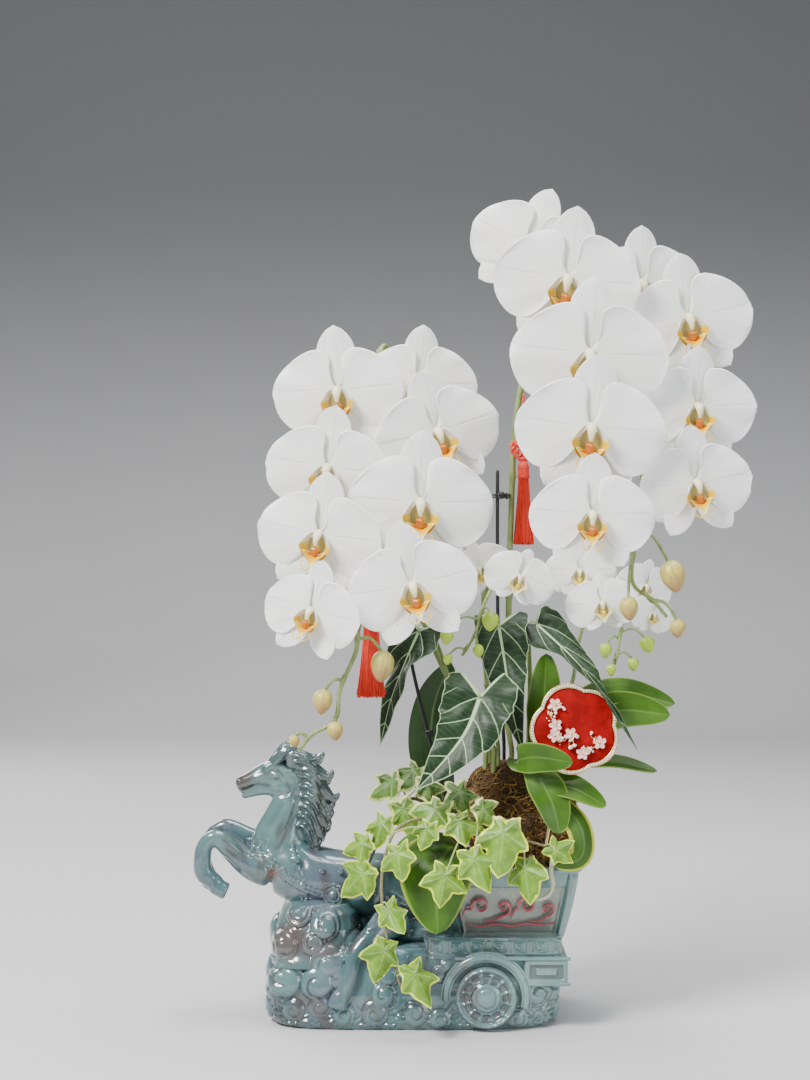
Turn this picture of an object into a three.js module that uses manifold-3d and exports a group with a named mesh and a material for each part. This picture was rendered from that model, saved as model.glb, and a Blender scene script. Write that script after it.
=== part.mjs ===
// A potted moth orchid: two arching flower spikes and two small ones, their blooms and buds, strap leaves,
// arrow-shaped leaves with pale veins and a variegated ivy, all growing in a glazed planter shaped as a
// rearing horse that pulls a cart over clouds. Two red tassels and a red plaque with pearls hang in it.
// Millimetres, +Z up, and the front faces -Y. The origin is the middle of the planter's flat foot.
import * as THREE from "three";
import { mergeVertices } from "three/addons/utils/BufferGeometryUtils.js";
import Module from "manifold-3d";

const wasm = await Module();
wasm.setup();

// Driving dimensions
const EYE = { x: -8, y: -1400, z: 375 }; // the eye of the front view
const GAP = 0.3; // clearance between pieces that touch
const BLADE = 1.1; // thickness of petals and leaves
const FOOT_DEPTH = 132; // front to back of the planter's foot
const RIM_Z = 122; // top of the cart's tub
const TUB_X = 73; // middle of the tub
const TUB_WALL = 6;
const SOIL_Z = 112; // top of the potting soil
const SPIKE_RADIUS = 2.6;
const PEDICEL_RADIUS = 1.5;

// Small helpers
const vec = (x, y, z) => new THREE.Vector3(x, y, z);
const rad = THREE.MathUtils.degToRad;
const lerp = THREE.MathUtils.lerp;

// The point at a depth y that the front view shows over (x, z) of the plane through the planter's middle.
function seen(x, z, y) {
  const share = (y - EYE.y) / -EYE.y;
  return vec(EYE.x + (x - EYE.x) * share, y, EYE.z + (z - EYE.z) * share);
}

// Rows of [x, z, y] as seen from the front, made points in space.
const route = (rows) => rows.map(([x, z, y]) => seen(x, z, y));

// A closed solid from shared vertices and triangles. Triangles that have shrunk to a line are left out.
function closed(positions, triangles) {
  const kept = [];
  for (let i = 0; i < triangles.length; i += 3) {
    const [a, b, c] = [triangles[i], triangles[i + 1], triangles[i + 2]];
    if (a !== b && b !== c && c !== a) kept.push([a, b, c]);
  }
  const make = (faces) =>
    new wasm.Manifold(
      new wasm.Mesh({
        numProp: 3,
        vertProperties: new Float32Array(positions),
        triVerts: new Uint32Array(faces.flat()),
      }),
    );
  const made = make(kept);
  return made.volume() > 0 ? made : make(kept.map(([a, b, c]) => [a, c, b]));
}

// A three.js geometry as a closed solid, moved by a matrix where one is given.
function solidOf(geometry, matrix = null) {
  const bare = geometry.clone();
  bare.deleteAttribute("normal");
  bare.deleteAttribute("uv");
  if (matrix) bare.applyMatrix4(matrix);
  const merged = mergeVertices(bare, 1e-4);
  return closed(merged.attributes.position.array, merged.index.array);
}

function geometryOf(solid) {
  const mesh = solid.getMesh();
  const geometry = new THREE.BufferGeometry();
  const positions = new Float32Array(mesh.numVert * 3);
  for (let i = 0; i < mesh.numVert; i++)
    positions.set(mesh.vertProperties.subarray(i * mesh.numProp, i * mesh.numProp + 3), i * 3);
  geometry.setAttribute("position", new THREE.BufferAttribute(positions, 3));
  geometry.setIndex(new THREE.BufferAttribute(new Uint32Array(mesh.triVerts), 1));
  geometry.computeVertexNormals();
  return geometry;
}

// Joined solids. A hollow that joining seals is filled, and a loose scrap is dropped.
function join(solids) {
  const pieces = solids.reduce((a, b) => a.add(b)).decompose();
  return pieces.reduce((a, b) => (a.volume() > b.volume() ? a : b));
}

// A closed solid through rings of equally many points. Each end is closed by pairing the ring's first half
// with its second. The second half's squares are split the other way, so both faces of a blade split alike.
function loft(rings) {
  const n = rings[0].length;
  const positions = rings.flat().flatMap((p) => [p.x, p.y, p.z]);
  const triangles = [];
  for (let r = 0; r < rings.length - 1; r++)
    for (let i = 0; i < n; i++) {
      const [a, b] = [r * n + i, r * n + ((i + 1) % n)];
      const [c, d] = [a + n, b + n];
      if (i < n / 2) triangles.push(a, b, d, a, d, c);
      else triangles.push(a, b, c, b, d, c);
    }
  const last = (rings.length - 1) * n;
  for (let i = 0; i < n / 2 - 1; i++) {
    const [a, b, c, d] = [i, i + 1, n - 2 - i, n - 1 - i];
    triangles.push(a, c, b, a, d, c);
    triangles.push(last + a, last + b, last + c, last + a, last + c, last + d);
  }
  return closed(positions, triangles);
}

// Smooth points along a route, and the value of a list of numbers spread along it.
const along = (points, steps) => new THREE.CatmullRomCurve3(points, false, "centripetal").getPoints(steps);
function spread(values, t) {
  if (!Array.isArray(values)) return values;
  const at = t * (values.length - 1);
  const low = Math.min(Math.floor(at), values.length - 2);
  return lerp(values[low], values[low + 1], at - low);
}

// A limb or stem: oval rings along a route. across is the radius in the plane of the route's bend,
// deep the radius along the reference direction.
function limb(points, across, deep, sides, steps, reference = vec(0, 1, 0)) {
  const line = along(points, steps);
  const rings = line.map((point, i) => {
    const t = i / steps;
    const ahead = line[Math.min(i + 1, steps)].clone().sub(line[Math.max(i - 1, 0)]).normalize();
    const side = reference.clone().sub(ahead.clone().multiplyScalar(reference.dot(ahead))).normalize();
    const up = side.clone().cross(ahead);
    return Array.from({ length: sides }, (_, k) => {
      const angle = (2 * Math.PI * k) / sides;
      return point
        .clone()
        .addScaledVector(up, Math.cos(angle) * spread(across, t))
        .addScaledVector(side, Math.sin(angle) * spread(deep, t));
    });
  });
  return loft(rings);
}
const stem = (points, radius, sides, steps, reference) => limb(points, radius, radius, sides, steps,
  reference);

// A blade along a spine: flat rings, half as wide as halfWidth(t) says, with a midrib. fold lifts the
// blade's two edges, and wave moves them up and down along the length.
function strap(points, halfWidth, facing, { fold = 0, wave = () => 0, steps }) {
  const line = along(points, steps);
  const rings = line.map((point, i) => {
    const t = i / steps;
    const ahead = line[Math.min(i + 1, steps)].clone().sub(line[Math.max(i - 1, 0)]).normalize();
    const normal = spreadVector(facing, t);
    const across = ahead.clone().cross(normal).normalize();
    normal.copy(across).cross(ahead).normalize();
    const row = (side, order) =>
      order.map((j) => {
        const u = j - 1;
        const lift = fold * Math.abs(u) * halfWidth(t) + wave(t, u) + (side * BLADE) / 2;
        return point.clone().addScaledVector(across, u * halfWidth(t)).addScaledVector(normal, lift);
      });
    return [...row(1, [0, 1, 2]), ...row(-1, [2, 1, 0])];
  });
  return loft(rings);
}
function spreadVector(vectors, t) {
  if (!Array.isArray(vectors)) return vectors.clone();
  const at = t * (vectors.length - 1);
  const low = Math.min(Math.floor(at), vectors.length - 2);
  return vectors[low].clone().lerp(vectors[low + 1], at - low);
}

// A thin blade fanned round its middle point, and thickened along its normal.
function fan(outline, middle, normal, thick = BLADE) {
  const half = normal.clone().normalize().multiplyScalar(thick / 2);
  const n = outline.length;
  const upper = [...outline, middle].map((p) => p.clone().add(half));
  const lower = [...outline, middle].map((p) => p.clone().sub(half));
  const positions = [...upper, ...lower].flatMap((p) => [p.x, p.y, p.z]);
  const triangles = [];
  for (let i = 0; i < n; i++) {
    const j = (i + 1) % n;
    triangles.push(i, j, n, n + 1 + j, n + 1 + i, 2 * n + 1);
    triangles.push(i, n + 1 + i, n + 1 + j, i, n + 1 + j, j);
  }
  return closed(positions, triangles);
}

// A solid of revolution round the line from one point towards another. The profile is rows of [radius,
// distance].
function turned(profile, from, towards, sides) {
  const points = profile.map(([r, h]) => new THREE.Vector2(r, h));
  const turn = new THREE.Quaternion().setFromUnitVectors(vec(0, 1, 0),
    towards.clone().sub(from).normalize());
  const matrix = new THREE.Matrix4().compose(from, turn, vec(1, 1, 1));
  return solidOf(new THREE.LatheGeometry(points, sides), matrix);
}

function box(low, high) {
  const size = high.clone().sub(low);
  const middle = low.clone().add(high).multiplyScalar(0.5);
  const matrix = new THREE.Matrix4().makeTranslation(middle.x, middle.y, middle.z);
  return solidOf(new THREE.BoxGeometry(size.x, size.y, size.z), matrix);
}

// A ball stretched along the three axes.
function lump(x, y, z, rx, ry, rz, sides = 8, rows = 5) {
  const matrix = new THREE.Matrix4().compose(vec(x, y, z), new THREE.Quaternion(), vec(rx, ry, rz));
  return solidOf(new THREE.SphereGeometry(1, sides, rows), matrix);
}

// Materials
const finish = (color, roughness, metalness = 0) =>
  new THREE.MeshStandardMaterial({ color, roughness, metalness });
const materials = {
  glaze: finish(0x567f86, 0.15),
  soil: finish(0x3d2c20, 0.95),
  coir: finish(0x5d4128, 0.95),
  leaf: finish(0x4f7a24, 0.35),
  darkLeaf: finish(0x1f3d22, 0.3),
  ivy: finish(0x8fb052, 0.5),
  petal: finish(0xf2f2ee, 0.5),
  spike: finish(0x71853a, 0.45),
  mini: finish(0x9db84a, 0.45),
  root: finish(0xc9cfae, 0.5),
  black: finish(0x151515, 0.35),
  red: finish(0xd6150f, 0.6),
  plaque: finish(0xb80f0c, 0.7),
  gold: finish(0xe0c078, 0.3, 0.8),
};

const plant = new THREE.Group();
function addNode(name, solid, material, parent = plant) {
  const mesh = new THREE.Mesh(geometryOf(solid), material);
  mesh.name = name;
  parent.add(mesh);
  return mesh;
}

// The planter

// A level outline of the rock or tub: a box with round corners, as wide as the half sizes say.
function levelRing(x, y, z, halfX, halfY, sides, squareness) {
  return Array.from({ length: sides }, (_, k) => {
    const angle = (2 * Math.PI * (k + 0.5)) / sides;
    const [c, s] = [Math.cos(angle), Math.sin(angle)];
    const power = 2 / squareness;
    return vec(
      x + halfX * Math.sign(c) * Math.abs(c) ** power,
      y + halfY * Math.sign(s) * Math.abs(s) ** power,
      z,
    );
  });
}
const levelBlock = (levels, sides, squareness) =>
  loft(levels.map(([x, z, halfX, halfY]) => levelRing(x, 0, z, halfX, halfY, sides, squareness)));

// A cloud curl: a round boss with a sunk middle, turned to face the front or the back.
function curl(x, z, radius, face, side) {
  const rise = radius * 0.38;
  const profile = [[0, -6], [radius, -6], [radius * 0.8, rise], [0, rise * 0.45]];
  const sides = side < 0 && radius > 9 ? 7 : 5;
  return turned(profile, vec(x, side * face, z), vec(x, side * (face + 1), z), sides);
}

// The cart's wheel: rim, sunk face, hub and mudguard, and the spokes of the front one.
function wheel(x, z, radius, face, side) {
  const profile = [
    [0, -4],
    [radius, -4],
    [radius, 5],
    [radius * 0.8, 5],
    [radius * 0.76, 2.2],
    [radius * 0.4, 2.2],
    [radius * 0.34, 6],
    [0, 8],
  ];
  const hub = turned(profile, vec(x, side * face, z), vec(x, side * (face + 1), z), 10);
  const spokes = Array.from({ length: side < 0 ? 4 : 0 }, (_, i) => {
    const angle = rad(45 * i + 20);
    const reach = vec(Math.cos(angle), 0, Math.sin(angle)).multiplyScalar(radius * 0.82);
    const middle = vec(x, side * (face + 3), z);
    return limb([middle.clone().sub(reach), middle, middle.clone().add(reach)], 1.3, 1.6, 4, 1);
  });
  const guardPoints = Array.from({ length: 7 }, (_, i) => {
    const angle = rad(-10 + 31 * i);
    return vec(x + Math.cos(angle) * radius * 1.32, side * (face + 0.5),
      z + Math.sin(angle) * radius * 1.32);
  });
  return [hub, ...spokes, limb(guardPoints, 3.4, 4.5, 4, 7)];
}

// [x, z, radius] of the cloud curls on the front, the first of which stand on the back too.
const CURLS = [
  [-94, 68, 12],
  [-66, 62, 13],
  [-104, 45, 12],
  [-56, 36, 13],
  [-100, 22, 15],
  [22, 56, 12],
  [-78, 43, 10],
  [-68, 15, 12],
  [-18, 34, 10],
  [-12, 52, 8],
  [-22, 10, 9],
  [4, 12, 8],
  [98, 20, 10],
];
const BACK_CURLS = 6;

const rock = [
  levelBlock(
    [
      [-2, 0, 106, 60],
      [-2, 5, 114, FOOT_DEPTH / 2],
      [-2, 26, 116, FOOT_DEPTH / 2 - 1],
      [-2, 50, 112, 61],
      [0, 60, 108, 56],
    ],
    24,
    5,
  ),
  levelBlock(
    [
      [-76, 48, 38, 60],
      [-76, 74, 37, 54],
      [-76, 84, 30, 42],
    ],
    14,
    3.2,
  ),
];
const curls = CURLS.flatMap(([x, z, radius], i) => {
  const face = z > 55 ? 54 : 61;
  return [curl(x, z, radius, face, -1), ...(i < BACK_CURLS ? [curl(x, z, radius, face, 1)] : [])];
});

const WHEEL = { x: 57, z: 28, radius: 23 };
const cart = [
  box(vec(8, -58, 54), vec(112, 58, 68)),
  box(vec(82, -66, 36), vec(117, 66, 55)),
  ...wheel(WHEEL.x, WHEEL.z, WHEEL.radius, 64, -1),
  ...wheel(WHEEL.x, WHEEL.z, WHEEL.radius, 64, 1),
];
const TUB_SQUARENESS = 5;
const tub = levelBlock(
  [
    [TUB_X, 62, 43, 40],
    [TUB_X, 112, 55, 52],
    [TUB_X, RIM_Z, 57, 54],
  ],
  20,
  TUB_SQUARENESS,
);
const TUB_FLOOR_Z = 74;
const tubInside = (inset) =>
  levelBlock(
    [
      [TUB_X, TUB_FLOOR_Z + inset, 45 - TUB_WALL - inset, 42 - TUB_WALL - inset],
      [TUB_X, RIM_Z + 1, 57 - TUB_WALL - inset, 54 - TUB_WALL - inset],
    ],
    20,
    TUB_SQUARENESS,
  );

// The horse: rows of [x, z, y] as seen from the front.
const horse = [
  limb(
    route([[-127, 114, -8], [-112, 117, -8], [-84, 106, -8], [-52, 98, -6], [-20, 92, -4], [6, 84, 0],
      [16, 80, 2]]),
    [9, 24, 26, 24, 25, 27, 14],
    [9, 22, 26, 26, 27, 26, 12],
    8,
    7,
  ),
  limb(
    route([[-104, 112, -8], [-108, 136, -8], [-103, 156, -8], [-95, 174, -8], [-98, 196, -8]]),
    [26, 23, 16, 12.5, 9],
    [19, 16, 12.5, 10.5, 8],
    8,
    5,
  ),
  limb(
    route([[-92, 188, -8], [-103, 188, -8], [-116, 186, -8], [-131, 180, -8], [-139, 177, -8]]),
    [10, 15, 13, 9, 6],
    [7, 10.5, 9, 7.5, 5],
    8,
    6,
  ),
  ...[-1, 1].map((side) =>
    limb(
      route([[-100, 202, -8 + side * 6], [-101, 210, -8 + side * 7], [-103, 218, -8 + side * 7]]),
      [4.5, 4, 0.8],
      [3, 2.6, 0.8],
      5,
      2,
    ),
  ),
  // the near foreleg, then the far one
  limb(
    route([[-112, 110, -22], [-136, 117, -24], [-160, 137, -26], [-170, 126, -26], [-170, 110, -26],
      [-158, 97, -26], [-151, 90, -26]]),
    [15, 13.5, 8.5, 7, 6, 7, 5.5],
    [12, 10, 7.5, 6.5, 6, 6.5, 5],
    6,
    9,
  ),
  limb(
    route([[-114, 122, 6], [-134, 136, 8], [-153, 147, 8], [-163, 133, 8], [-163, 117, 8], [-152, 106, 8]]),
    [14, 11, 8, 6.5, 6, 5],
    [11, 9, 7, 6, 6, 5],
    6,
    8,
  ),
  // hind legs, half sunk in the clouds
  ...[-1, 1].map((side) =>
    limb(
      [[-12, 30, 84], [-32, 50, 70], [-46, 58, 56], [-50, 61, 40], [-57, 62, 24]].map(([x, y, z]) =>
        vec(x, side * y, z)),
      [18, 12, 8.5, 6.5, 7],
      [14, 10, 8, 7, 6],
      6,
      5,
    ),
  ),
];

// The mane's locks: [x, z] at the neck and at the tip, as seen from the front.
const LOCKS = [
  [-97, 204, -77, 204],
  [-92, 198, -67, 190],
  [-90, 188, -62, 176],
  [-92, 174, -66, 161],
  [-92, 159, -70, 147],
  [-90, 144, -72, 132],
];
const mane = [
  ...LOCKS.map(([x, z, tipX, tipZ], i) => {
    const [midX, midZ] = [(x + tipX) / 2 + 4, (z + tipZ) / 2 + 3];
    const aside = i % 2;
    const line = [[x - 10, z, -8], [x + 3, z + 4, -10 + aside * 6], [midX, midZ, -12 + aside * 9],
      [tipX, tipZ, -8]];
    return limb(route(line), [7, 7.5, 6, 1.5], [9, 8, 6, 1.5], 4, 4);
  }),
  limb(route([[-100, 205, -8], [-110, 207, -12], [-116, 196, -15]]), [5, 5.5, 2], [6, 5, 2], 4, 3),
];

const tail = limb(
  [vec(16, 0, 92), vec(22, 34, 84), vec(12, 52, 66), vec(0, 60, 48), vec(-6, 64, 30)],
  [9, 10, 9, 6, 3], [9, 10, 8, 6, 4], 6, 6,
);

const planter = join([...rock, ...curls, ...cart, tub, ...horse, ...mane, tail]).subtract(tubInside(0));
addNode("horse_cart_planter", planter, materials.glaze);

// Soil and root ball

// The coir root ball: [height, radius] of its rings, whose reach is roughened by a formula.
const BALL_X = 84;
const BALL_LEVELS = [[84, 26], [108, 32], [124, 36], [150, 43], [176, 42], [190, 34], [198, 20]];
function ballSolid(extra) {
  const sides = 12;
  return loft(
    BALL_LEVELS.map(([z, radius], level) =>
      Array.from({ length: sides }, (_, k) => {
        const angle = (2 * Math.PI * k) / sides;
        const reach = radius * (1 + 0.045 * Math.sin(3.1 * k + 2.3 * level)) + extra;
        return vec(BALL_X + Math.cos(angle) * reach, Math.sin(angle) * reach * 0.9, level ? z : z - extra);
      }),
    ),
  );
}
const soilRaw = tubInside(GAP)
  .subtract(box(vec(0, -80, SOIL_Z), vec(160, 80, SOIL_Z + 40)))
  .subtract(ballSolid(GAP * 1.4));

// Where each stem enters: plain straight holes, cut in the ball or the soil.
const [HOLE_SIDES, HOLE_ABOVE] = [5, 30];
const holes = { ball: [], soil: [] };
function foot(where, x, y, z, radius) {
  const depth = where === "ball" ? 26 : 16;
  const bottom = vec(x, y, z - depth);
  const top = vec(x, y, z + HOLE_ABOVE);
  const room = (radius + GAP * 1.1) / Math.cos(Math.PI / HOLE_SIDES);
  const profile = [[0, -GAP], [room, -GAP], [room, depth + HOLE_ABOVE], [0, depth + HOLE_ABOVE]];
  holes[where].push(turned(profile, bottom, top, HOLE_SIDES));
  return [bottom, vec(x, y, z - depth / 2), vec(x, y, z), vec(x, y, z + 8)];
}

// Blooms

// A closed solid from loops of points round one axis, each joined to the next, whatever their numbers are.
function loopSolid(loops) {
  const positions = loops.flat().flatMap((p) => [p.x, p.y, p.z]);
  const triangles = [];
  const starts = loops.map((_, i) => loops.slice(0, i).reduce((sum, loop) => sum + loop.length, 0));
  for (let i = 0; i < loops.length - 1; i++) {
    const [a, b] = [loops[i], loops[i + 1]];
    const share = (loop, k) => (k + 0.5) / loop.length;
    const turnOf = (p) => (Math.atan2(p.x, p.z) + 2 * Math.PI + 0.02) % (2 * Math.PI);
    const byTurn = a.length !== b.length;
    const turnAt = (loop, k) => (k < loop.length ? turnOf(loop[k]) : 7 + share(loop, k));
    const order = byTurn ? turnAt : share;
    let [j, k] = [0, 0];
    while (j < a.length || k < b.length) {
      const [ja, kb] = [starts[i] + (j % a.length), starts[i + 1] + (k % b.length)];
      if (k === b.length || (j < a.length && order(a, j + 1) <= order(b, k + 1))) {
        triangles.push(ja, kb, starts[i] + ((j + 1) % a.length));
        j++;
      } else {
        triangles.push(ja, kb, starts[i + 1] + ((k + 1) % b.length));
        k++;
      }
    }
  }
  const cap = (start, count, flip) => {
    for (let k = 1; k < count - 1; k++)
      triangles.push(start, ...(flip ? [start + k, start + k + 1] : [start + k + 1, start + k]));
  };
  cap(starts[0], loops[0].length, true);
  cap(starts.at(-1), loops.at(-1).length, false);
  return closed(positions, triangles);
}

// A bloom in its own frame: x right, z up, facing -y, with its heart at the origin, and sizes as shares
// of its span. Three sepals lie behind two broad petals, and a lip of three lobes hangs before them under
// a column. The edges run clockwise from the top, as [x, z], and those of the petals and the lip are given
// for the right half.
const NECK = 0.06; // how far the neck reaches behind the heart
const PETAL_EDGE = [[0.06, 0.25], [0.17, 0.315], [0.37, 0.225], [0.5, 0], [0.43, -0.19], [0.26, -0.285],
  [0.12, -0.15]];
const PETAL_EDGE_SMALL = [[0.08, 0.27], [0.3, 0.27], [0.5, 0], [0.34, -0.25], [0.13, -0.16]];
const SEPAL_EDGE = [[-0.13, 0.22], [-0.07, 0.46], [0.07, 0.46], [0.13, 0.22]];
const SEPAL_EDGE_SMALL = [[-0.105, 0.2], [-0.06, 0.39], [0.06, 0.39], [0.105, 0.2]];
const LIP_EDGE = [[0.02, -0.03, -0.04], [0.13, -0.1, -0.03], [0.06, -0.115, -0.16], [0, -0.15, -0.27]];
const SEPAL_ANGLES = [0, 146, 214]; // a notch parts the lower two

function bloomSolid(width, small = false) {
  const at = (x, y, z) => vec(x, y, z).multiplyScalar(width);
  const half = BLADE / width / 2;
  const ring = (radius, y, z = 0) =>
    Array.from({ length: 4 }, (_, k) => {
      const angle = (Math.PI * k) / 2 + 0.01;
      return at(Math.sin(angle) * radius, y, z + Math.cos(angle) * radius);
    });
  const edge = small ? PETAL_EDGE_SMALL : PETAL_EDGE;
  const mirrored = edge.slice().reverse().map(([x, z]) => [-x, z]);
  const petals = (y) =>
    [[0.004, 0.07], ...edge, [0, -0.06], ...mirrored].map(([x, z]) =>
      at(x, y + 0.07 * x * x - 0.16 * z * z, z));
  const sepalEdge = small ? SEPAL_EDGE_SMALL : SEPAL_EDGE;
  const sepals = (y) =>
    SEPAL_ANGLES.flatMap((angle, i) => {
      const turn = rad(angle);
      const [c, s] = [Math.cos(turn), Math.sin(turn)];
      const tips = sepalEdge.map(([u, v]) => at(u * c + v * s, y + 0.1 * v * v, v * c - u * s));
      return i === 1 ? [...tips, at(0, y, -0.06)] : tips;
    });
  // the dorsal sepal's left half closes the turn
  const fromTop = (loop) => [...loop.slice(2), ...loop.slice(0, 2)];
  const [petalY, sepalY] = [0.006, 0.036];
  const body = loopSolid([
    ring(0.02, NECK),
    ring(0.045, sepalY + half),
    fromTop(sepals(sepalY + half)),
    fromTop(sepals(sepalY - half)),
    ring(0.045, sepalY - half),
    ring(0.045, petalY + half),
    petals(petalY + half),
    petals(petalY - half),
    ring(0.045, petalY - half),
    ring(0.02, -0.11, -0.08),
  ]);
  const right = small ? [...LIP_EDGE.slice(0, 2), LIP_EDGE.at(-1)] : LIP_EDGE;
  const left = right.slice(0, -1).reverse().map(([x, y, z]) => [-x, y, z]);
  const lip = [...right, ...left].map(([x, y, z]) => at(x, y, z));
  return join([body, fan(lip, at(0, -0.085, -0.11), vec(0, 1, 0.2))]);
}

// Each bloom: heart at (x, z) as seen from the front and depth y, petal span, lean to the right, turn to
// the right and nod down in degrees.
const BLOOMS = {
  bloom_left_1: { x: -62, z: 494, y: 4, span: 106, lean: -3, turn: -6, nod: 6 },
  bloom_left_2: { x: 4, z: 500, y: 22, span: 96, lean: 3, turn: 8, nod: 4 },
  bloom_left_3: { x: 18, z: 461, y: -6, span: 104, lean: -16, turn: 12, nod: 5 },
  bloom_left_4: { x: -70, z: 432, y: -20, span: 101, lean: 8, turn: -8, nod: 5 },
  bloom_left_5: { x: -77, z: 379, y: -46, span: 99, lean: 10, turn: -10, nod: 3 },
  bloom_left_6: { x: 4, z: 404, y: -36, span: 115, lean: 2, turn: 4, nod: 4 },
  bloom_left_7: { x: -2, z: 338, y: -66, span: 101, lean: -12, turn: 3, nod: 2 },
  bloom_left_8: { x: -83, z: 318, y: -74, span: 80, lean: 14, turn: -20, nod: 0 },
  bloom_right_1: { x: 90, z: 610, y: 30, span: 100, lean: 26, turn: -16, nod: 8 },
  bloom_right_2: { x: 122, z: 583, y: -12, span: 117, lean: 8, turn: -4, nod: 8 },
  bloom_right_3: { x: 182, z: 580, y: 23, span: 94, lean: -3, turn: 8, nod: 8 },
  bloom_right_4: { x: 219, z: 552, y: 6, span: 106, lean: -10, turn: 4, nod: 8 },
  bloom_right_5: { x: 140, z: 523, y: -34, span: 124, lean: 4, turn: -2, nod: 7 },
  bloom_right_6: { x: 141, z: 464, y: -60, span: 116, lean: 6, turn: -2, nod: 5 },
  bloom_right_7: { x: 226, z: 481, y: -12, span: 98, lean: 0, turn: 8, nod: 6 },
  bloom_right_8: { x: 225, z: 420, y: -38, span: 93, lean: -8, turn: 10, nod: 4 },
  bloom_right_9: { x: 142, z: 395, y: -86, span: 94, lean: 2, turn: -3, nod: 3 },
  mini_bloom_left_1: { x: 84, z: 345, y: -22, span: 58, lean: 20, turn: 4, nod: 4 },
  mini_bloom_left_2: { x: 52, z: 352, y: 28, span: 58, lean: -20, turn: -12, nod: 6 },
  mini_bloom_right_1: { x: 132, z: 350, y: 16, span: 58, lean: 0, turn: -8, nod: 0 },
  mini_bloom_right_2: { x: 150, z: 324, y: -6, span: 60, lean: -6, turn: -4, nod: 0 },
  mini_bloom_right_3: { x: 184, z: 338, y: 10, span: 54, lean: 12, turn: 24, nod: 4 },
  mini_bloom_right_4: { x: 190, z: 316, y: -10, span: 44, lean: 10, turn: 30, nod: 0 },
};
const bloomNecks = {};
for (const [name, { x, z, y, span, lean, turn, nod }] of Object.entries(BLOOMS)) {
  const mesh = addNode(name, bloomSolid(span, name.startsWith("mini")), materials.petal);
  mesh.position.copy(seen(x, z, y));
  mesh.rotation.set(rad(nod), rad(lean), rad(turn), "ZXY");
  const back = vec(0, 1, 0).applyEuler(mesh.rotation);
  bloomNecks[name] = { end: mesh.position.clone().addScaledVector(back, NECK * span + GAP), back };
}

// Flower spikes

// The stalk of a bloom: from a point on the spike to just behind the bloom's neck, meeting it square.
function pedicel(start, name, via = null, radius = PEDICEL_RADIUS) {
  const { end, back } = bloomNecks[name];
  const away = end.clone().addScaledVector(back, 8);
  const middle = via ? seen(...via) : start.clone().lerp(away, 0.5).addScaledVector(vec(0, 0, 1), 2);
  return stem([start, middle, away, end], radius, 3, via ? 5 : 3, vec(0.1, 0.2, 1));
}
// A bud: an egg on its own stalk, with its tip down.
const BUD_PROFILE = [[0, 0], [0.95, 0.26], [0.85, 0.7], [0, 1]];
function bud(start, at, points, length, radius) {
  const profile = BUD_PROFILE.map(([r, h]) => [r * radius, h * length]);
  const end = at.clone().addScaledVector(points, length * 0.15);
  const stalk = stem([start, end], PEDICEL_RADIUS * 0.85, 3, 1, vec(0.1, 1, 0.2));
  return join([turned(profile, at, at.clone().add(points), 5), stalk]);
}
const onLine = (line, t) => new THREE.CatmullRomCurve3(line, false, "centripetal").getPointAt(t);

// A spike: the way it goes, its blooms as [name, how far along, a point to pass], and its buds as
// [how far along, x, z, y, length, radius, lean to the right].
function spike(line, radii, sides, steps, blooms, buds) {
  return join([
    stem(line, radii, sides, steps, vec(0.15, 1, 0.1)),
    ...blooms.map(([name, t, via]) => pedicel(onLine(line, t), name, via)),
    ...buds.map(([t, x, z, y, length, radius, aside]) =>
      bud(onLine(line, t), seen(x, z, y), vec(aside, -0.15, -1).normalize(), length, radius)),
  ]);
}
const SPIKE_RADII = [2.6, 2.6, 2.5, 2.4, 2.3, 2.2, 2, 1.8, 1.4];
const [LEFT_STEPS, RIGHT_STEPS] = [23, 24];

const leftLine = [
  ...foot("ball", 60, 12, 202, SPIKE_RADIUS),
  ...route([[28, 262, 26], [4, 320, 44], [-10, 380, 58], [-16, 450, 66], [-18, 505, 64], [-24, 530, 52],
    [-30, 520, 38],
    [-32, 480, 24], [-33, 430, 6], [-35, 380, -14], [-40, 330, -38], [-46, 300, -52], [-47, 287, -56],
      [-60, 255, -60],
    [-64, 231, -60], [-84, 218, -60], [-92, 207, -60]]),
];
addNode("flower_spike_left", spike(leftLine, SPIKE_RADII, 4, LEFT_STEPS,
  [["bloom_left_1", 0.6], ["bloom_left_2", 0.53], ["bloom_left_3", 0.64], ["bloom_left_4", 0.67],
    ["bloom_left_5", 0.74], ["bloom_left_6", 0.71], ["bloom_left_7", 0.79], ["bloom_left_8", 0.81]],
  [[0.865, -25, 287, -60, 25, 9.5, -0.1], [0.91, -73, 256, -62, 20, 8, -0.1],
    [0.945, -65, 230, -62, 15, 6.5, 0.15],
    [0.985, -98, 219, -60, 10, 4.5, 0.3]]), materials.spike);

const rightLine = [
  ...foot("ball", 84, -6, 202, SPIKE_RADIUS),
  ...route([[76, 262, 22], [75, 330, 46], [77, 400, 60], [80, 463, 60], [88, 510, 57], [106, 560, 58],
    [132, 594, 60],
    [158, 604, 58], [178, 592, 52], [188, 560, 42], [190, 530, 32], [188, 490, 15], [184, 440, -12],
      [178, 400, -34],
    [175, 370, -50], [175, 339, -58], [190, 327, -60], [201, 314, -60]]),
];
addNode("flower_spike_right", spike(rightLine, SPIKE_RADII, 4, RIGHT_STEPS,
  [["bloom_right_1", 0.56], ["bloom_right_2", 0.55, [125, 556, 28]], ["bloom_right_3", 0.69],
    ["bloom_right_4", 0.75, [203, 534, 28]],
    ["bloom_right_5", 0.76], ["bloom_right_6", 0.81], ["bloom_right_7", 0.79], ["bloom_right_8", 0.845],
    ["bloom_right_9", 0.87]],
  [[0.9, 203, 359, -66, 26, 10, 0.25], [0.93, 170, 330, -72, 19, 7.5, 0.1],
    [0.98, 210, 312, -60, 15, 6.5, 0]]),
  materials.spike);

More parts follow.
